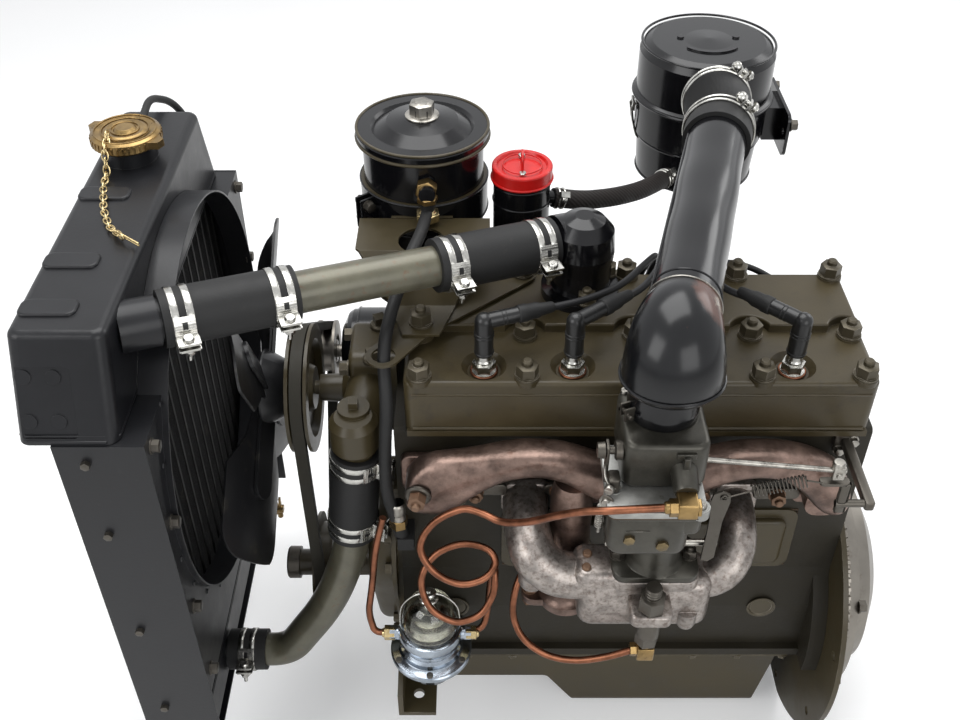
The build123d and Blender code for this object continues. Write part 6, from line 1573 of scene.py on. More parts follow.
    def _idle_side(self) -> None:
        """The idle screw under its coil spring, and the throttle shaft."""
        x, y = self.centre
        work = Workpiece()
        foot, head = mm(self.bowl_x[0] - 5, -220, 312), mm(self.bowl_x[0] - 5, -226, 352)
        work.tube([foot, head], 1.9, 10)
        work.coil(foot.lerp(head, 0.25), foot.lerp(head, 0.85), 4.2, 0.8, 7)
        work.screw(4.8, along(head, head - foot), 3)
        work.tube([mm(x - 52, y, 260), mm(x + 52, y, 260)], 4, 14)
        work.disc(6.4, 3, along(mm(x + 53, y, 260), REAR), 18)
        self.piece(work, "idle_screw", "worn_steel")
        brass = Workpiece()
        for dx, z, across in ((-40, 336, 10), (-8, 328, 11)):
            brass.hexagon(across, 4, along(mm(x + dx, self.bowl_y[0] + 0.5, z), -RIGHT), 0.3)
        self.piece(brass, "bowl_plugs", "aged_brass")


@dataclass
class ThrottleGear(SubAssembly):
    """The rod, levers and return spring from the carburettor to the block's crank, in millimetres."""

    rod_start: Point = (-203, -196, 387)
    rod_end: Point = (-64, -196, 371)
    lever_x: float = -181.0
    shaft: Spot = (-190, 260)
    crank_x: float = -71.0
    block_y: float = -109.2

    def build(self) -> None:
        """Make the gear and stand it in for the plain one."""
        self._rod()
        self._crank()
        self._spring()
        self._nuts()

    def _rod(self) -> None:
        """The bright rod with the swivel block near its rear end."""
        start, end = mm(*self.rod_start), mm(*self.rod_end)
        bright = Workpiece()
        bright.tube([start, end], 2.7, 14)
        block = start.lerp(end, 0.945)
        bright.slab(
            tuple(block / MM - Vector((6, 5.5, 8.5))), tuple(block / MM + Vector((6, 5.5, 7))), 1.6, 1,
        )
        bright.lathe(
            [(0, 0), (6.4, 0), (6.4, 2), (5, 4.6), (0, 5)], Matrix.Translation(block + mm(-1, 0, 7.2)), 20,
        )
        bright.screw(3.2, along(block + mm(0, -5.5, -2), -RIGHT), 2.4)
        made = self.piece(bright, "throttle_rod", "worn_steel")
        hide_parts("throttle_linkage")

    def _crank(self) -> None:
        """The lever on the throttle shaft, and the bell crank with its bracket on the block."""
        dark = Workpiece()
        x, (y, z) = self.lever_x, self.shaft
        upright = Matrix.Rotation(math.pi / 2, 4, "X")
        outline = [
            (-9, -8), (-2, -10), (4, -4), (5, 50), (9, 78), (8, 88), (0, 93), (-8, 89), (-10, 80), (-8, 55),
            (-8, 30),
        ]
        dark.plate([(x + dx, z + dz) for dx, dz in outline], at(0, -205, 0) @ upright, 2.6)
        dark.slab((x - 4, -206, z - 7), (x + 3, y + 4, z + 7), 2, 1)
        dark.slab((self.crank_x - 16, -202, 355), (self.crank_x + 13, -191, 358.4), 4, 0.8)
        dark.slab((self.crank_x + 4, -202, 318), (self.crank_x + 15, -197.4, 358), 4, 1)
        dark.tube([mm(self.crank_x + 4, -199, 329), mm(-29, -199, 329)], 4, 14)
        dark.slab((-39, -205, 324), (-29, -109, 334), 3, 1.5)
        dark.slab_y((-46, -112, 312), (-22, self.block_y, 338), 5, 1)
        self.piece(dark, "throttle_crank", "dark_steel")

    def _spring(self) -> None:
        """The return spring with its end hooks."""
        spring = Workpiece()
        hook, low = mm(-179, -207, 345), mm(-151.6, -201, 348.7)
        high, last = mm(-100.5, -200, 362), mm(-84, -199, 357.5)
        spring.coil(low, high, 6.2, 0.8, 15)
        spring.tube([hook, low], 0.9, 8)
        spring.tube([high, last], 0.9, 8)
        spring.ring(hook, RIGHT, 3, 0.9, 16)
        self.piece(spring, "throttle_spring", "dark_steel")

    def _nuts(self) -> None:
        """The collar on the throttle shaft and the two bolts of the bracket."""
        collar = Workpiece()
        profile = [(0, 0), (6.6, 0), (6.6, 2.6), (3.6, 3.2), (3.6, 6), (0, 6.4)]
        collar.lathe(profile, along(mm(self.lever_x + 3, *self.shaft), REAR), 18)
        for x, z in ((-40, 318), (-27, 331)):
            collar.bolt(9, along(mm(x, -112, z), -RIGHT), 6)
        self.piece(collar, "throttle_nuts", "worn_steel")


@dataclass
class IntakeManifold(SubAssembly):
    """The intake casting: two stout arms, the riser box with its pad, bosses and bolts, in millimetres."""

    arm_radius: float = 23.0
    port_x: Spot = (-366, -140)
    port_z: float = 246.0
    face_y: float = -106.4
    riser_low: Point = (-312, -218, 154)
    riser_high: Point = (-172, -164, 223)

    def build(self) -> None:
        """Cast the manifold and stand it in for the plain one."""
        work = Workpiece()
        left, right = self.port_x
        work.tube(
            eased([
                (left, self.face_y - 4, self.port_z), (left, -138, 245), (left + 2, -164, 240),
                (left + 10, -184, 229), (left + 30, -191, 214), (left + 56, -191, 208), (-290, -191, 206),
            ]),
            self.arm_radius + 1.5, 32,
        )
        work.tube(
            eased([
                (-190, -190, 200), (-168, -190, 206), (right - 12, -184, 218), (right - 3, -168, 232),
                (right, -140, 242), (right, self.face_y - 4, 245),
            ]),
            self.arm_radius - 3, 32,
        )
        for x in self.port_x:
            low, high = (x - 26, self.face_y - 10, self.port_z - 22), (x + 26, self.face_y, self.port_z + 22)
            work.slab_y(low, high, 10, 1.5)
        work.slab(self.riser_low, self.riser_high, 16, 11)
        work.slab((-318, -216, 196), (-262, -166, 236), 14, 9)
        work.slab((-281, -220.5, 218), (-189, -160, 231.7), 14, 1.6)
        work.slab((-262, -250, 196), (-218, -212, 212), 9, 3)
        for x, y, z, radius in ((left + 6, -190, 206, 13), (-196, -214, 168, 9)):
            work.lathe(
                [(0, 0), (radius, 0), (radius + 1.5, 4), (radius + 2, 22), (0, 24)], at(x, y, z - 10), 28,
            )
        made = self.piece(work, "intake_casting", "intake_metal", smooth=45)
        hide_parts("intake_manifold")
        bolts = Workpiece()
        for x, y in ((-305, -203), (-303, -185)):
            bolts.screw(5, at(x, y, 236), 3.6)
        bolts.bolt(13, along(mm(left + 6, -190, 196), -UP), 8.6)
        for x in (-262, -196):
            bolts.bolt(12, along(mm(x, -176, 154), -UP), 8)
        self.piece(bolts, "intake_bolts", "rusty_nut")


@dataclass
class CopperLines(SubAssembly):
    """The looped fuel line and the vent line with its valve, in millimetres."""

    radius: float = 3.9
    fuel: tuple[Point, ...] = (
        (-424, -166, 75), (-411, -160, 82), (-406, -151, 104), (-404, -149, 136), (-402, -152, 166),
        (-400, -161, 188), (-399, -171, 195), (-399, -179, 189), (-401, -187, 172), (-412, -196, 153),
        (-428, -201, 145), (-446, -202, 145), (-469, -196, 161), (-478, -182, 189), (-464, -168, 213),
        (-435, -163, 226), (-407, -170, 226), (-399, -184, 219), (-411, -198, 212), (-436, -205, 212),
        (-463, -200, 226), (-477, -188, 250), (-463, -179, 277), (-434, -178, 297), (-413, -187, 301),
        (-393, -200, 303), (-368, -216, 321), (-339, -235, 352), (-318, -247, 370), (-298, -255, 380),
        (-272, -255.5, 382.5), (-246, -254.5, 383.5),
    )
    vent: tuple[Point, ...] = (
        (-362, -118, 190), (-362, -150, 190), (-376, -176, 168), (-378, -188, 134), (-366, -202, 112),
        (-342, -218, 106), (-312, -230, 113), (-280, -236, 128), (-252, -236, 141),
    )
    valve: Spot = (-240, -236)

    def build(self) -> None:
        """Bend both lines and make the vent valve."""
        line = Workpiece()
        line.tube(eased(list(self.fuel), 7), self.radius, 16)
        made = self.piece(line, "copper_fuel_line", "copper_tube", smooth=60)
        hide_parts("fuel_line")
        vent = Workpiece()
        vent.tube(eased(list(self.vent), 7), self.radius, 16)
        made = self.piece(vent, "copper_vent_line", "copper_tube", smooth=60)
        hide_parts("vent_line")
        x, y = self.valve
        brass = Workpiece()
        brass.slab((x - 9, y - 9, 133), (x + 9, y + 9, 152), 2, 1.6)
        brass.hexagon(13, 7, along(mm(x - 9, y, 142), -REAR), 0.2)
        brass.lathe([(7, 151), (7, 158), (0, 158)], at(x, y, 0), 20)
        self.piece(brass, "vent_elbow", "brass")
        steel = Workpiece()
        base = at(x, y, 0)
        steel.hexagon(22, 14, base @ at(0, 0, 158), 0.1)
        profile = [(9, 171), (12.4, 172), (12.4, 202), (11, 204), (9.4, 205), (9.4, 216), (0, 216)]
        steel.lathe(profile, base, 32)
        steel.hexagon(25, 18, base @ at(0, 0, 214), 0.3)
        steel.lathe(((8, 231), (8, 246), (0, 247)), base, 24)
        steel.beads(x, y, [(z, 8, 0.8) for z in (236, 240, 244)], 24)
        self.piece(steel, "vent_valve", "dark_steel")


@dataclass
class ExhaustManifold(SubAssembly):
    """The arched exhaust casting with its port flanges, clamp bars and downpipe, in millimetres."""

    rows: tuple[Point, ...] = (
        (-493, 288, 12), (-488, 290, 27), (-474, 294, 37), (-457, 296, 41), (-440, 302, 36), (-420, 314, 26),
        (-395, 327, 19.5), (-370, 333.5, 16.5), (-345, 332, 17), (-325, 326, 20), (-308, 315, 24),
        (-288, 304, 28), (-262, 298, 29), (-240, 297, 28), (-215, 300, 28), (-195, 310, 26), (-172, 323, 21),
        (-150, 331, 17.5), (-125, 333, 16.5), (-100, 329, 19), (-80, 317, 26), (-62, 300, 35), (-47, 290, 35),
        (-37, 284, 27), (-30, 281, 12),
    )
    centre_y: float = -140.0
    half_depth: float = 20.5
    squareness: float = 2.7
    ports: tuple[Spot, ...] = ((-474, 284), (-297, 284), (-216, 284), (-51, 264))
    face_y: float = -106.4
    downpipe: Spot = (-318, -140)
    bars: tuple[Point, ...] = (
        (-420, 264, 34), (-331.5, 264, 15), (-256.5, 284, 21), (-178, 264, 18), (-95.5, 258, 25),
    )

    def build(self) -> None:
        """Cast the manifold, then make its studs and clamp bars."""
        self._casting()
        self._hardware()

    def _section(self, work: Workpiece, x: float, z: float, half_height: float, half_depth: float) -> Ring:
        """One rounded-box section across the casting.

        Args:
            work: The piece that takes the corners.
            x: Place along the engine, in millimetres.
            z: Height of the middle, in millimetres.
            half_height: Half its height, in millimetres.
            half_depth: Half its depth, in millimetres.

        Returns:
            The ring's corners.
        """
        spots = []
        power = 2 / self.squareness
        for turn in around(24):
            out = math.copysign(abs(math.cos(turn)) ** power, math.cos(turn))
            rise = math.copysign(abs(math.sin(turn)) ** power, math.sin(turn))
            spots.append(mm(x, self.centre_y + half_depth * out, z + half_height * rise))
        return work.corners(spots)

    def _casting(self) -> None:
        """The lofted arch, the ports' stubs and flanges and the downpipe."""
        work = Workpiece()
        rings = []
        for x, z, half_height in self.rows:
            depth = self.half_depth * min(1, half_height / 26 + 0.45)
            rings.append(self._section(work, x, z, half_height, depth))
        work.loft(rings)
        arch = self.piece(work, "exhaust_casting", "manifold_iron", smooth=60)
        smooth = arch.modifiers.new("round", "SUBSURF")
        smooth.levels = 2
        smooth.render_levels = 2
        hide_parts("exhaust_manifold")
        work = Workpiece()
        for x, z in self.ports:
            work.slab_y((x - 25, self.face_y - 9, z - 25), (x + 25, self.face_y, z + 25), 9, 1.5)
            work.slab_y((x - 19, self.centre_y, z - 19), (x + 19, self.face_y - 2, z + 19), 15, 1)
        x, y = self.downpipe
        profile = [(0, 112), (31, 112), (31, 122), (25, 126), (22.5, 134), (22.5, 280), (19, 300), (0, 300)]
        work.lathe(profile, at(x, y, 0), 40)
        work.slab((x - 50, y - 17, 112), (x + 50, y + 17, 122), 15, 1.5)
        self.piece(work, "exhaust_flanges", "manifold_iron", smooth=45)

    def _hardware(self) -> None:
        """The nuts with their dark washers, and the bars that hold two flanges each."""
        bars = Workpiece()
        nuts = Workpiece()
        for index, (x, z, half) in enumerate(self.bars):
            bars.slab_y((x - half, self.face_y - 14.5, z - 8), (x + half, self.face_y - 9.6, z + 8), 6, 1.2)
            nuts.bolt(15, along(mm(x, self.face_y - 14.5, z), -RIGHT), 9.5, 4.6, 0.7 * index)
        place = along(
            mm(-478.5, self.centre_y - self.half_depth + 1.2, 299), Vector((-0.12, -1, -0.1)).normalized(),
        )
        bars.lathe([(0, 0), (14, 0), (14, 2.4), (12, 4), (0, 4)], place, 28)
        nuts.bolt(17, place @ at(0, 0, 4), 0, 5, 0.3)
        x, y = self.downpipe
        for side in (-1, 1):
            nuts.bolt(15, at(x + side * 40, y, 122), 9, 4.6)
            nuts.bolt(15, along(mm(x + side * 40, y, 112), -UP), 9)
        self.piece(bars, "manifold_clamp_bars", "dark_steel")
        self.piece(nuts, "manifold_nuts", "rusty_nut")


@dataclass
class IgnitionDress(SubAssembly):
    """Clips and boots of the distributor, and strap and terminals of the coil, in millimetres."""

    centre: Spot = (-205, 112)
    cap_low_z: float = 278.0
    cap_radius: float = 40.0
    towers: tuple[Spot, ...] = ((0, 0), (-20, -16), (-20, 14), (18, 12), (18, -16))
    tower_top_z: float = 346.0
    coil: Spot = (-56, 96)
    coil_radius: float = 28.0
    coil_low_z: float = 190.0
    coil_top_z: float = 310.0

    def build(self) -> None:
        """Dress the ignition pieces behind the head."""
        self._cap()
        self._coil()

    def _cap(self) -> None:
        """Spring clips, rim and tower boots of the distributor's cap."""
        x, y = self.centre
        clips = Workpiece()
        for side in (-1, 1):
            reach = self.cap_radius + 1.6
            path = [
                mm(x + side * (reach - 4), y, self.cap_low_z - 26),
                mm(x + side * reach, y, self.cap_low_z - 10),
                mm(x + side * (reach + 1.2), y, self.cap_low_z + 10),
                mm(x + side * (reach - 6), y, self.cap_low_z + 31),
            ]
            for shift in (-4, 0, 4):
                clips.tube([point + mm(0, shift, 0) for point in path], 2.1, 8)
        self.piece(clips, "distributor_clips", "bright_zinc")
        rim = Workpiece()
        rim.beads(x, y, [(self.cap_low_z + lift, self.cap_radius + 0.2, 1.1) for lift in (1.5, 8)], 44)
        for dx, dy in self.towers:
            base = at(x + dx, y + dy, self.tower_top_z - 16)
            profile = [(7.8, 0), (9.2, 1), (9.2, 12), (8.4, 15), (5.8, 20), (4.6, 28), (3.9, 29)]
            rim.lathe(profile, base, 20)
        self.piece(rim, "distributor_boots", "hose_rubber")

    def _coil(self) -> None:
        """The strap, crimps and terminals of the coil."""
        x, y = self.coil
        strap = Workpiece()
        strap.beads(x, y, [(self.coil_low_z + lift, self.coil_radius + 0.6, 1) for lift in (46, 58)], 36)
        crimps = [(z, self.coil_radius - 0.2, 1.4) for z in (self.coil_low_z + 5, self.coil_top_z - 6)]
        strap.beads(x, y, crimps, 36)
        self.piece(strap, "coil_strap", "gloss_black")
        ends = Workpiece()
        for side in (-1, 1):
            place = at(x, y + side * 17, self.coil_top_z - 1)
            ends.disc(2.4, 11, place, 12)
            ends.hexagon(9, 3.4, place @ at(0, 0, 4), 0.4)
        self.piece(ends, "coil_terminals", "brass")


@dataclass
class OilFilterDress(SubAssembly):
    """Lid bolt, seams, clamp band and hose ends of the oil filter, in millimetres."""

    centre: Spot = (-479, 170)
    can_radius: float = 68.0
    lid_z: float = 545.0
    band_radius: float = 72.2
    band_low_z: float = 442.0
    band_high_z: float = 484.0

    def build(self) -> None:
        """Dress the filter from the band upwards."""
        self._band()
        self._lid()
        self._hose_ends()

    def _band(self) -> None:
        """The black clamp band, its rolled edges, ears and bolts."""
        x, y = self.centre
        work = Workpiece()
        low, high, radius = self.band_low_z, self.band_high_z, self.band_radius
        profile = [(radius, low), (radius + 0.7, low), (radius + 0.7, high), (radius, high)]
        work.lathe(profile, at(x, y, 0), 72)
        work.beads(x, y, [(z, radius + 0.6, 1.3) for z in (low + 1.4, high - 1.4)], 72)
        angle = math.radians(-142)
        out = Vector((math.cos(angle), math.sin(angle), 0))
        turn = frame_axes(UP.cross(out), out, mm(x, y, (low + high) / 2) + out * (radius + 9) * MM)
        for shift in (-5, 5):
            work.box(mm(2.4, high - low - 4, 18), turn @ at(shift, 0, 0))
        self.piece(work, "filter_band", "gloss_black")
        bolts = Workpiece()
        side = turn.to_3x3() @ Vector((1, 0, 0))
        for z in (-11, 11):
            centre = turn @ mm(0, z, 1)
            bolts.bolt(11, along(centre + side * 6.2 * MM, side), 7)
            bolts.tube([centre + side * 6 * MM, centre - side * 13 * MM], 2.8, 10)
            bolts.hexagon(11, 5, along(centre - side * 6.2 * MM, -side), 0.4)
        self.piece(bolts, "filter_band_bolts", "dark_steel")

    def _lid(self) -> None:
        """The bright centre bolt, its collar, the lid's rolled rim and the can's seams."""
        x, y = self.centre
        bolt = Workpiece()
        base = at(x, y, self.lid_z + 10.6)
        profile = [(0, 0), (19, 0), (19, 1.6), (16, 3), (0, 3)]
        bolt.lathe(profile, base, 32)
        bolt.hexagon(25, 13.5, base @ at(0, 0, 2.6), 0.35)
        top = base @ at(0, 0, 16.1)
        bolt.button(8.4, (7.6, 1.2), 1.6, top, 20)
        self.piece(bolt, "filter_lid_bolt", "worn_steel")
        seams = Workpiece()
        seams.beads(x, y, ((534, 74.2, 1.9), (545, 73.6, 1.6), (531, 69.4, 1.1)), 72, 8)
        seams.beads(x, y, [(z, self.can_radius - 0.2, 1.3) for z in (336, 340)], 72)
        self.piece(seams, "filter_seams", "olive_paint")

    def _hose_ends(self) -> None:
        """The brass nuts at the ends of the oil hose, and its crimped sleeve."""
        brass = Workpiece()
        for spot, axis, across, length in (
            ((-472, 88, 496), (0, 0, 1), 20, 6), ((-473, 98, 508), (0, -1, 0), 21, 12),
            ((-504, -127, 216), (0, 0, 1), 18, 12),
        ):
            brass.hexagon(across, length, along(mm(*spot), Vector(axis)), 0.3)
        self.piece(brass, "hose_unions", "brass")
        sleeve = Workpiece()
        place = along(mm(-504, -127, 228), UP)
        profile = [(5.2, 0), (8.6, 0), (8.6, 6), (7.9, 8), (8.6, 10), (8.6, 22), (7, 24)]
        sleeve.lathe(profile, place, 20)
        self.piece(sleeve, "hose_sleeve", "worn_steel")


@dataclass
class FillerDress(SubAssembly):
    """Rim and feet of the filler's cap, and beads and clips of its neck and hose, in millimetres."""

    centre: Spot = (-368, 141)
    cap_low_z: float = 494.3
    cap_high_z: float = 511.3
    cap_radius: float = 34.0
    breather: tuple[Point, ...] = (
        (-332, 146, 465), (-296, 156, 455), (-256, 186, 441), (-218, 226, 426), (-176, 283, 412),
    )

    def build(self) -> None:
        """Dress the filler's cap, its neck and the hose."""
        x, y = self.centre
        cap = Workpiece()
        rows = (
            (self.cap_low_z + 1.6, self.cap_radius + 0.1, 1.5),
            (self.cap_high_z - 1.5, self.cap_radius - 1.4, 1.4), (self.cap_high_z + 0.3, 22, 0.9),
        )
        cap.beads(x, y, rows, 56)
        self.piece(cap, "filler_cap_rim", "red_enamel", body="filler_cap")
        pegs = Workpiece()
        for side in (-1, 1):
            place = at(x, y + side * 20, self.cap_high_z - 0.2)
            pegs.button(4.2, (3.6, 1.4), 1.8, place, 16)
        self.piece(pegs, "cap_handle_feet", "bright_zinc", body="filler_cap")
        neck = Workpiece()
        neck.beads(x, y, [(z, 32.2, 1.2) for z in (self.cap_low_z - 4, self.cap_low_z - 26, 420)], 48)
        self.piece(neck, "filler_neck_beads", "gloss_black")
        self._bands()

    def _bands(self) -> None:
        """The clips at both ends of the breather hose."""
        work = Workpiece()
        points = [Vector(point) for point in self.breather]
        for start, end, share in ((points[0], points[1], 0.2), (points[3], points[4], 0.8)):
            centre = start.lerp(end, share) * MM
            axis = (end - start).normalized()
            for shift in (-3.4, 3.4):
                work.ring(centre + axis * shift * MM, axis, 11.4, 1.3, 32)
            place = frame_axes(axis, -RIGHT + UP, centre)
            work.box(mm(11, 7, 8), place @ at(0, 0, 15))
            work.screw(3.6, along(place @ mm(0, -3.5, 15), place.to_3x3() @ Vector((0, -1, 0))), 3)
        self.piece(work, "breather_clips", "bright_zinc")


@dataclass
class AirCleanerDress(SubAssembly):
    """Ribs and clamps of the crossover hose, and beads, clips and bolts of the cleaner, in millimetres."""

    centre: Spot = (-131, 365)
    bead_z: float = 489.0
    lid_z: float = 558.0
    tube_end: Point = (-147, 178, 530)
    hose_corner: Point = (-136, 221, 530)
    hose_end: Point = (-131, 365, 520)
    hose_radius: float = 38.0
    hose_share: float = 0.36

    def build(self) -> None:
        """Dress the air path from its mouth to the cleaner."""
        self._hose_ribs()
        self._hose_clamps()
        self._cleaner()
        self._bracket_bolts()

    def _hose_path(self) -> list[Vector]:
        """The corrugated hose's centre line, from the tube to the cleaner's neck."""
        end = Vector(self.tube_end)
        corner = Vector(self.hose_corner)
        last = corner.lerp(Vector(self.hose_end), self.hose_share)
        points = []
        for step in range(33):
            share = step / 32
            points.append(end.lerp(corner, share).lerp(corner.lerp(last, share), share) * MM)
        return points

    def _hose_ribs(self) -> None:
        """The moulded ribs round the rubber hose."""
        work = Workpiece()
        path = self._hose_path()
        for index in range(2, len(path) - 2):
            axis = path[index + 1] - path[index - 1]
            work.ring(path[index], axis, self.hose_radius + 0.1, 0.75, 56)
        self.piece(work, "crossover_hose_ribs", "hose_rubber")

    def _hose_clamps(self) -> None:
        """The two wire clamps with their bright screws."""
        work = Workpiece()
        path = self._hose_path()
        for index in (3, len(path) - 4):
            axis = (path[index + 1] - path[index - 1]).normalized()
            for shift in (-4.6, 4.6):
                work.ring(path[index] + axis * shift * MM, axis, self.hose_radius + 1.2, 1.7, 60, 8)
            out = Vector((0.55, -0.2, 0.8))
            place = frame_axes(axis, out, path[index])
            reach = self.hose_radius + 6
            for shift in (4, -4):
                work.box(mm(15, 3, 9), place @ at(0, shift, reach))
            side = place.to_3x3() @ Vector((0, 1, 0))
            centre = place @ mm(0, 0, reach + 1)
            work.tube([centre - side * 15 * MM, centre + side * 15 * MM], 2.6, 12)
            for end in (-1, 1):
                work.screw(6.4, along(centre + side * end * 8 * MM, side * end), 5)
        self.piece(work, "crossover_clamps", "bright_zinc")

    def _cleaner(self) -> None:
        """The beads round the cleaner's body and its spring clips."""
        x, y = self.centre
        beads = Workpiece()
        rows = ((self.bead_z, 87.4, 2), (434, 78.6, 1.8), (382, 75.4, 1.2), (self.lid_z - 2, 82, 1.6))
        beads.beads(x, y, rows, 84, 8)
        self.piece(beads, "cleaner_beads", "gloss_black")
        clips = Workpiece()
        for index in range(3):
            angle = math.radians(-60 + 120 * index)
            out = Vector((math.cos(angle), math.sin(angle), 0))
            side = UP.cross(out)
            centre = mm(x, y, 0)
            path = [(84.6, 476), (89, 470), (86, 452), (83, 440), (80, 431), (77, 427)]
            for shift in (-8, 8):
                clips.tube([centre + out * r * MM + UP * z * MM + side * shift * MM for r, z in path], 1.5, 8)
            clips.tube(
                [centre + out * 77 * MM + UP * 427 * MM + side * shift * MM for shift in (-8, 8)], 1.5, 8,
            )
            turn = frame_axes(UP, out, centre + out * 86.6 * MM + UP * 472 * MM)
            clips.box(mm(12, 20, 3), turn)
        self.piece(clips, "cleaner_clips", "bright_zinc")

    def _bracket_bolts(self) -> None:
        """The bolts that hold the cleaner's bracket."""
        work = Workpiece()
        starts = [mm(20, y, 470) for y in (309, 419)]
        self.bolt_row(work, starts, REAR, ("air_cleaner",), 12, 8)
        self.piece(work, "cleaner_bracket_bolts", "dark_steel")


@dataclass
class FrontDress(SubAssembly):
    """Bolts of the front plate, timing cover, pump and outlet, and the fan's fittings, in millimetres."""

    crank: Spot = (0, 0)
    camshaft: Spot = (-40, 112)
    fan_plane: float = -656.0
    fan_z: float = 305.0

    def build(self) -> None:
        """Dress the engine's front."""
        self._plate_bolts()
        self._pump_and_outlet()
        self._fan()
        self._pulleys()

    def _plate_bolts(self) -> None:
        """The ring of small bolts round the timing cover and those of the front plate."""
        work = Workpiece()
        starts = []
        for centre, radius, angles in (
            (self.crank, 78.5, (190, 215, 240, 265, 290, 315, 340, 5)),
            (self.camshaft, 82, (20, 50, 80, 110, 140, 165)),
        ):
            for angle in angles:
                turn = math.radians(angle)
                starts.append(
                    mm(-640, centre[0] + radius * math.cos(turn), centre[1] + radius * math.sin(turn))
                )
        self.bolt_row(work, starts, -REAR, ("timing_cover", "front_engine_plate"), 11, 7.4)
        corners = [mm(-640, y, z) for y, z in ((-112, 208), (92, 214), (-112, 10), (96, 10), (-70, 214))]
        self.bolt_row(work, corners, -REAR, ("front_engine_plate",), 13, 9)
        self.piece(work, "front_cover_bolts", "dark_nut")

    def _pump_and_outlet(self) -> None:
        """The pump's bolts and square plugs and the bolts of the water outlet."""
        work = Workpiece()
        starts = [mm(-600, y, z) for y, z in ((-26, 356), (32, 356), (-28, 270), (34, 270))]
        self.bolt_row(work, starts, -REAR, ("water_pump",), 14, 9)
        for dx, dy in ((-32, 14), (31, 17), (4, -35)):
            self.bolt_row(work, [mm(dx - 307, dy + 28, 470)], UP, ("water_outlet",), 17, 10.4, 4.8)
        self.piece(work, "pump_bolts", "dark_nut")
        plugs = Workpiece()
        for x, y in ((-530, -30), (-526, 24)):
            seat = self.gauge.meet(mm(x, y, 460), -UP, "water_pump", "cylinder_head")
            place = Matrix.Translation(seat)
            plugs.lathe([(0, 0), (11, 0), (11, 4), (9.4, 5.4), (0, 5.4)], place, 24)
            plugs.box(mm(12, 12, 11), place @ at(0, 0, 9) @ Matrix.Rotation(0.4, 4, "Z"))
        self.piece(plugs, "pump_plugs", "dark_nut")

    def _fan(self) -> None:
        """The rivets that hold the blades to the spider, and the bolts at its hub."""
        rivets = Workpiece()
        tree = self.gauge.tree("fan")
        hub = mm(self.fan_plane - 60, 0, self.fan_z)
        for blade in range(4):
            turn = math.radians(45 + 90 * blade)
            out = Vector((0, math.cos(turn), math.sin(turn)))
            side = REAR.cross(out)
            for radius in (62, 78):
                for shift in (-9, 9):
                    start = hub + out * radius * MM + side * shift * MM
                    point, normal, _, _ = tree.ray_cast(start, REAR, 0.12)
                    if point is not None:
                        rivets.button(4.2, (3.2, 1.6), 2.1, along(point, normal), 14)
        self.piece(rivets, "fan_rivets", "fan_black", body="fan_assembly")
        bolts = Workpiece()
        for index in range(4):
            turn = math.radians(90 + 90 * index)
            start = mm(self.fan_plane - 60, 19 * math.cos(turn), self.fan_z + 19 * math.sin(turn))
            seat = self.gauge.meet(start, REAR, "fan")
            if seat:
                bolts.bolt(11, along(seat, -REAR), 7.4, 0, 0.5 * index)
        self.piece(bolts, "fan_hub_bolts", "dark_steel", body="fan_assembly")

    def _pulleys(self) -> None:
        """The crank pulley's starting jaw and the generator pulley's nut."""
        crank = Workpiece()
        seat = self.gauge.meet(mm(-720, 16, 0), REAR, "crank_pulley")
        place = along(Vector((seat.x, 0, 0)), -REAR)
        profile = [(11, -1), (21, -1), (21, 13), (19, 15), (13, 15), (13, 4), (11, 4)]
        crank.lathe(profile, place, 32)
        self.piece(crank, "starting_jaw", "dark_steel", body="crankshaft")
        nut = Workpiece()
        seat = self.gauge.meet(mm(-720, 176, 214), REAR, "generator_pulley")
        nut.bolt(19, along(seat, -REAR), 12, 5)
        self.piece(nut, "generator_nut", "dark_steel", body="generator_rotor")


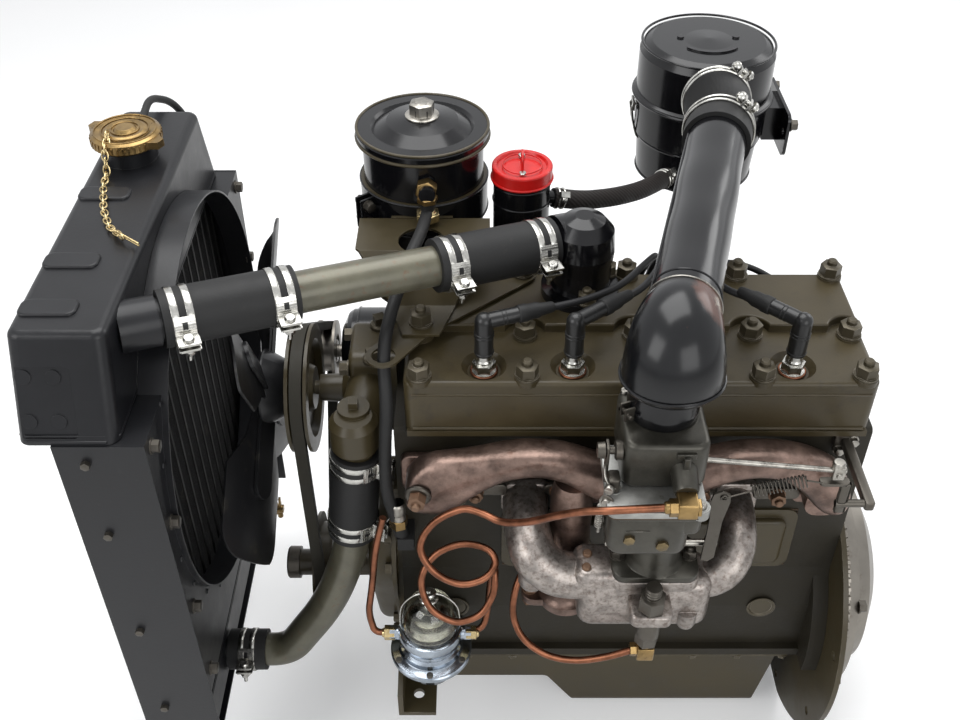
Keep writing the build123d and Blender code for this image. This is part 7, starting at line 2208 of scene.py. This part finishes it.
@dataclass
class LowerDress(SubAssembly):
    """Bolts and plugs of the block, pan, covers, starter and generator, in millimetres."""

    rail_y: float = 121.0
    rail_x: Spot = (-486, -40)
    rail_count: int = 9
    cover_x: tuple[float, ...] = (-300, -150)
    cover_z: float = 172.0
    generator: Spot = (176, 214)
    starter: Spot = (176, 18)

    def build(self) -> None:
        """Dress the block's sides and underside."""
        self._pan()
        self._side_cover()
        self._block()
        self._machines()
        self._flywheel()

    def _pan(self) -> None:
        """The bolts along the pan's rail and the drain plug."""
        work = Workpiece()
        left, right = self.rail_x
        for side in (-1, 1):
            starts = [
                mm(left + (right - left) * index / (self.rail_count - 1), side * self.rail_y, -60)
                for index in range(self.rail_count)
            ]
            self.bolt_row(work, starts, -UP, ("oil_pan",), 11, 8)
        seat = self.gauge.meet(mm(-300, 0, -400), UP, "oil_pan")
        work.bolt(22, along(seat, -UP), 15)
        self.piece(work, "pan_bolts", "dark_nut")

    def _side_cover(self) -> None:
        """The two nuts of the valve cover and the edge of its gasket."""
        nuts = Workpiece()
        starts = [mm(x, -200, self.cover_z) for x in self.cover_x]
        self.bolt_row(nuts, starts, -RIGHT, ("valve_chest_cover",), 15, 11, 4.6)
        self.piece(nuts, "side_cover_nuts", "dark_nut")
        seal = Workpiece()
        left, right, low, high = -389, -62, 125.6, 218.4
        corners = [
            mm(left, -106.4, low), mm(right, -106.4, low), mm(right, -106.4, high), mm(left, -106.4, high),
        ]
        seal.tube(corners, 1.1, 6, close=True)
        self.piece(seal, "side_cover_gasket", "cork")

    def _block(self) -> None:
        """Core plugs and pipe plugs on the block's sides."""
        plugs = Workpiece()
        profile = [(0, 0), (17, 0), (17, 1.6), (14.6, 1.6), (13, 0.4), (0, 0.4)]
        for x, z in ((-445, 240), (-445, 60), (-250, 60), (-80, 60)):
            seat = self.gauge.meet(mm(x, -240, z), RIGHT, "engine_block")
            if seat:
                plugs.lathe(profile, along(seat, -RIGHT), 32)
        for x, z in ((-190, 62), (-420, 330), (-330, 330), (-120, 330)):
            seat = self.gauge.meet(mm(x, 260, z), -RIGHT, "engine_block")
            if seat:
                plugs.bolt(14, along(seat, RIGHT), 9)
        self.piece(plugs, "block_plugs", "dark_nut")

    def _machines(self) -> None:
        """Through bolts, terminals and bands of the generator and the starter."""
        bolts = Workpiece()
        bands = Workpiece()
        for (y, z), start_x, reach, heading, node in (
            (self.generator, -320, 46, -REAR, "generator"), (self.starter, -360, 41, REAR, "starter_motor"),
        ):
            for turn in (math.radians(35), math.radians(215)):
                start = mm(start_x, y + reach * math.cos(turn), z + reach * math.sin(turn))
                seat = self.gauge.meet(start, heading, node)
                if seat:
                    bolts.screw(5.6, along(seat, -heading), 4)
        for x in (-570, -449):
            bands.ring(mm(x, *self.generator), REAR, 57.2, 1.2, 64)
        for x in (-238, -60):
            bands.ring(mm(x, *self.starter), REAR, 52.2, 1.2, 64)
        terminal = Workpiece()
        for x, y, z, node in (
            (-470, 176, 300, "generator"), (-444, 176, 300, "generator"), (-150, 176, 110, "starter_motor"),
        ):
            seat = self.gauge.meet(mm(x, y, z), -UP, node)
            place = along(seat, UP)
            terminal.lathe([(0, 0), (8, 0), (7, 4), (3, 4.4), (3, 14), (0, 14)], place, 18)
            terminal.hexagon(10, 4, place @ at(0, 0, 6), 0.4)
        self.piece(bolts, "machine_screws", "dark_steel")
        self.piece(bands, "machine_bands", "gloss_black")
        self.piece(terminal, "machine_terminals", "brass")

    def _flywheel(self) -> None:
        """The bolts round the clutch cover."""
        bolts = Workpiece()
        for turn in around(6, 0.5):
            start = Vector((0.14, 0.148 * math.cos(turn), 0.148 * math.sin(turn)))
            seat = self.gauge.meet(start, -REAR, "flywheel")
            if seat:
                bolts.bolt(13, along(seat, REAR), 9)
        self.piece(bolts, "clutch_bolts", "dark_steel", body="crankshaft")


@dataclass
class PaintShop:
    """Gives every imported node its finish."""

    rack: FinishRack
    # The engine block wears the near-black block paint, whose darkness is painted shade.
    exceptions: tuple[tuple[str, str], ...] = (
        ("engine_block", "shaded_block_paint"), ("fan", "fan_black"), ("oil_filler_tube", "gloss_black"),
        ("intake_manifold", "intake_metal"), ("air_horn", "horn_paint"), ("breather_hose", "braided_hose"),
        ("fan_pulley", "olive_paint"),
    )

    def dress(self) -> None:
        """Assign a material to each node, from the record's slots and the few exceptions."""
        special = dict(self.exceptions)
        for part in frame["record"]["subparts"]:
            node = frame["nodes"][part["node"]]
            name = special.get(part["node"], part["material_slot"])
            node.data.materials.clear()
            node.data.materials.append(self.rack.get(name))
            log.info("%s wears %s", part["node"], name)


@dataclass
class Studio:
    """Floor, lights, world and camera."""

    camera_place: Point = (-0.415, -0.935, 1.130)
    camera_tilt: float = 50.0
    focal_mm: float = 41.25
    sensor_mm: float = 36.0
    floor_gap: float = 0.002
    floor_size: float = 14.0
    world_level: float = 0.55
    white: float = 1.0

    def build(self, lowest: float) -> None:
        """Set up everything round the engine.

        Args:
            lowest: Height of the engine's lowest point.
        """
        scene = bpy.context.scene
        scene.view_settings.view_transform = "Standard"
        self._floor(lowest - self.floor_gap)
        self._world(scene)
        for name, place, target, size, power in (
            ("softbox_above", (-0.5, 0.5, 2.4), (-0.35, 0.0, 0.3), 1.8, 46.0),
            ("softbox_left", (-2.2, -1.4, 1.6), (-0.5, 0.0, 0.2), 1.4, 22.0),
            ("softbox_near", (0.7, -2.4, 1.3), (-0.3, 0.0, 0.2), 1.6, 20.0),
            ("softbox_rear", (2.0, 1.6, 1.8), (-0.3, 0.0, 0.2), 1.4, 18.0),
        ):
            self._lamp(name, Vector(place), Vector(target), size, power)
        camera = bpy.data.cameras.new("camera")
        camera.lens = self.focal_mm
        camera.sensor_width = self.sensor_mm
        camera.clip_end = 50.0
        eye = bpy.data.objects.new("camera", camera)
        eye.location = self.camera_place
        eye.rotation_euler = (math.radians(self.camera_tilt), 0.0, 0.0)
        scene.collection.objects.link(eye)
        scene.camera = eye

    def _floor(self, height: float) -> None:
        """The plain pale floor."""
        half = self.floor_size / 2
        data = bpy.data.meshes.new("floor")
        corners = [(-half, -half, height), (half, -half, height), (half, half, height), (-half, half, height)]
        data.from_pydata(corners, [], [(0, 1, 2, 3)])
        made = bpy.data.materials.new("floor")
        made.use_nodes = True
        bench = NodeBench(made.node_tree)
        shader = made.node_tree.nodes["Principled BSDF"]
        place = bench.node("ShaderNodeTexCoord").outputs["Object"]
        tone = bench.noise(place, 3.0, 2.0)
        bench.link(bench.mix(tone, (0.84, 0.84, 0.835), (0.88, 0.88, 0.875)), shader.inputs["Base Color"])
        shader.inputs["Roughness"].default_value = 0.8
        path = bench.node("ShaderNodeLightPath")
        shader.inputs["Emission Color"].default_value = (0.97, 0.98, 1.0, 1.0)
        bench.link(bench.scaled(path.outputs["Is Camera Ray"], 0.22), shader.inputs["Emission Strength"])
        data.materials.append(made)
        floor = bpy.data.objects.new("floor", data)
        bpy.context.scene.collection.objects.link(floor)

    def _world(self, scene: bpy.types.Scene) -> None:
        """An even pale surround, white where the camera or a reflection sees it."""
        world = bpy.data.worlds.new("surround")
        scene.world = world
        world.use_nodes = True
        bench = NodeBench(world.node_tree)
        world.node_tree.nodes.clear()
        path = bench.node("ShaderNodeLightPath")
        seen = bench.math("MAXIMUM", path.outputs["Is Camera Ray"], path.outputs["Is Transmission Ray"])
        seen = bench.math("MAXIMUM", seen, path.outputs["Is Glossy Ray"])
        level = bench.mix_value(seen, self.world_level, self.white)
        shade = bench.node("ShaderNodeBackground")
        shade.inputs["Color"].default_value = (0.97, 0.98, 1.0, 1.0)
        bench.link(level, shade.inputs["Strength"])
        out = bench.node("ShaderNodeOutputWorld")
        bench.link(shade.outputs["Background"], out.inputs["Surface"])

    def _lamp(self, name: str, place: Vector, target: Vector, size: float, power: float) -> None:
        """One soft square lamp.

        Args:
            name: The lamp's name.
            place: Where it hangs.
            target: What it faces.
            size: Side of the square.
            power: Its power in watts.
        """
        data = bpy.data.lights.new(name, "AREA")
        data.energy = power
        data.size = size
        lamp = bpy.data.objects.new(name, data)
        lamp.location = place
        lamp.rotation_euler = (target - place).to_track_quat("-Z", "Y").to_euler()
        bpy.context.scene.collection.objects.link(lamp)


def main() -> None:
    """Build the looks in order and report each piece."""
    logging.basicConfig(level=logging.INFO, format="%(message)s", force=True)
    rack = FinishRack()
    PaintShop(rack).dress()
    gauge = Gauge()
    for kind in (
        HeadHardware, PlugDress, HoseClampSet, RadiatorDress, FuelPumpDress, LineFittings, AirHorn,
        Carburettor, ThrottleGear, IntakeManifold, CopperLines, ExhaustManifold, IgnitionDress,
        OilFilterDress, FillerDress, AirCleanerDress, FrontDress, LowerDress,
    ):
        log.info("building %s", kind.__name__)
        kind(rack, gauge).build()
    Studio().build(CAD_BOX[0].z)


if __name__ == "__main__":
    main()
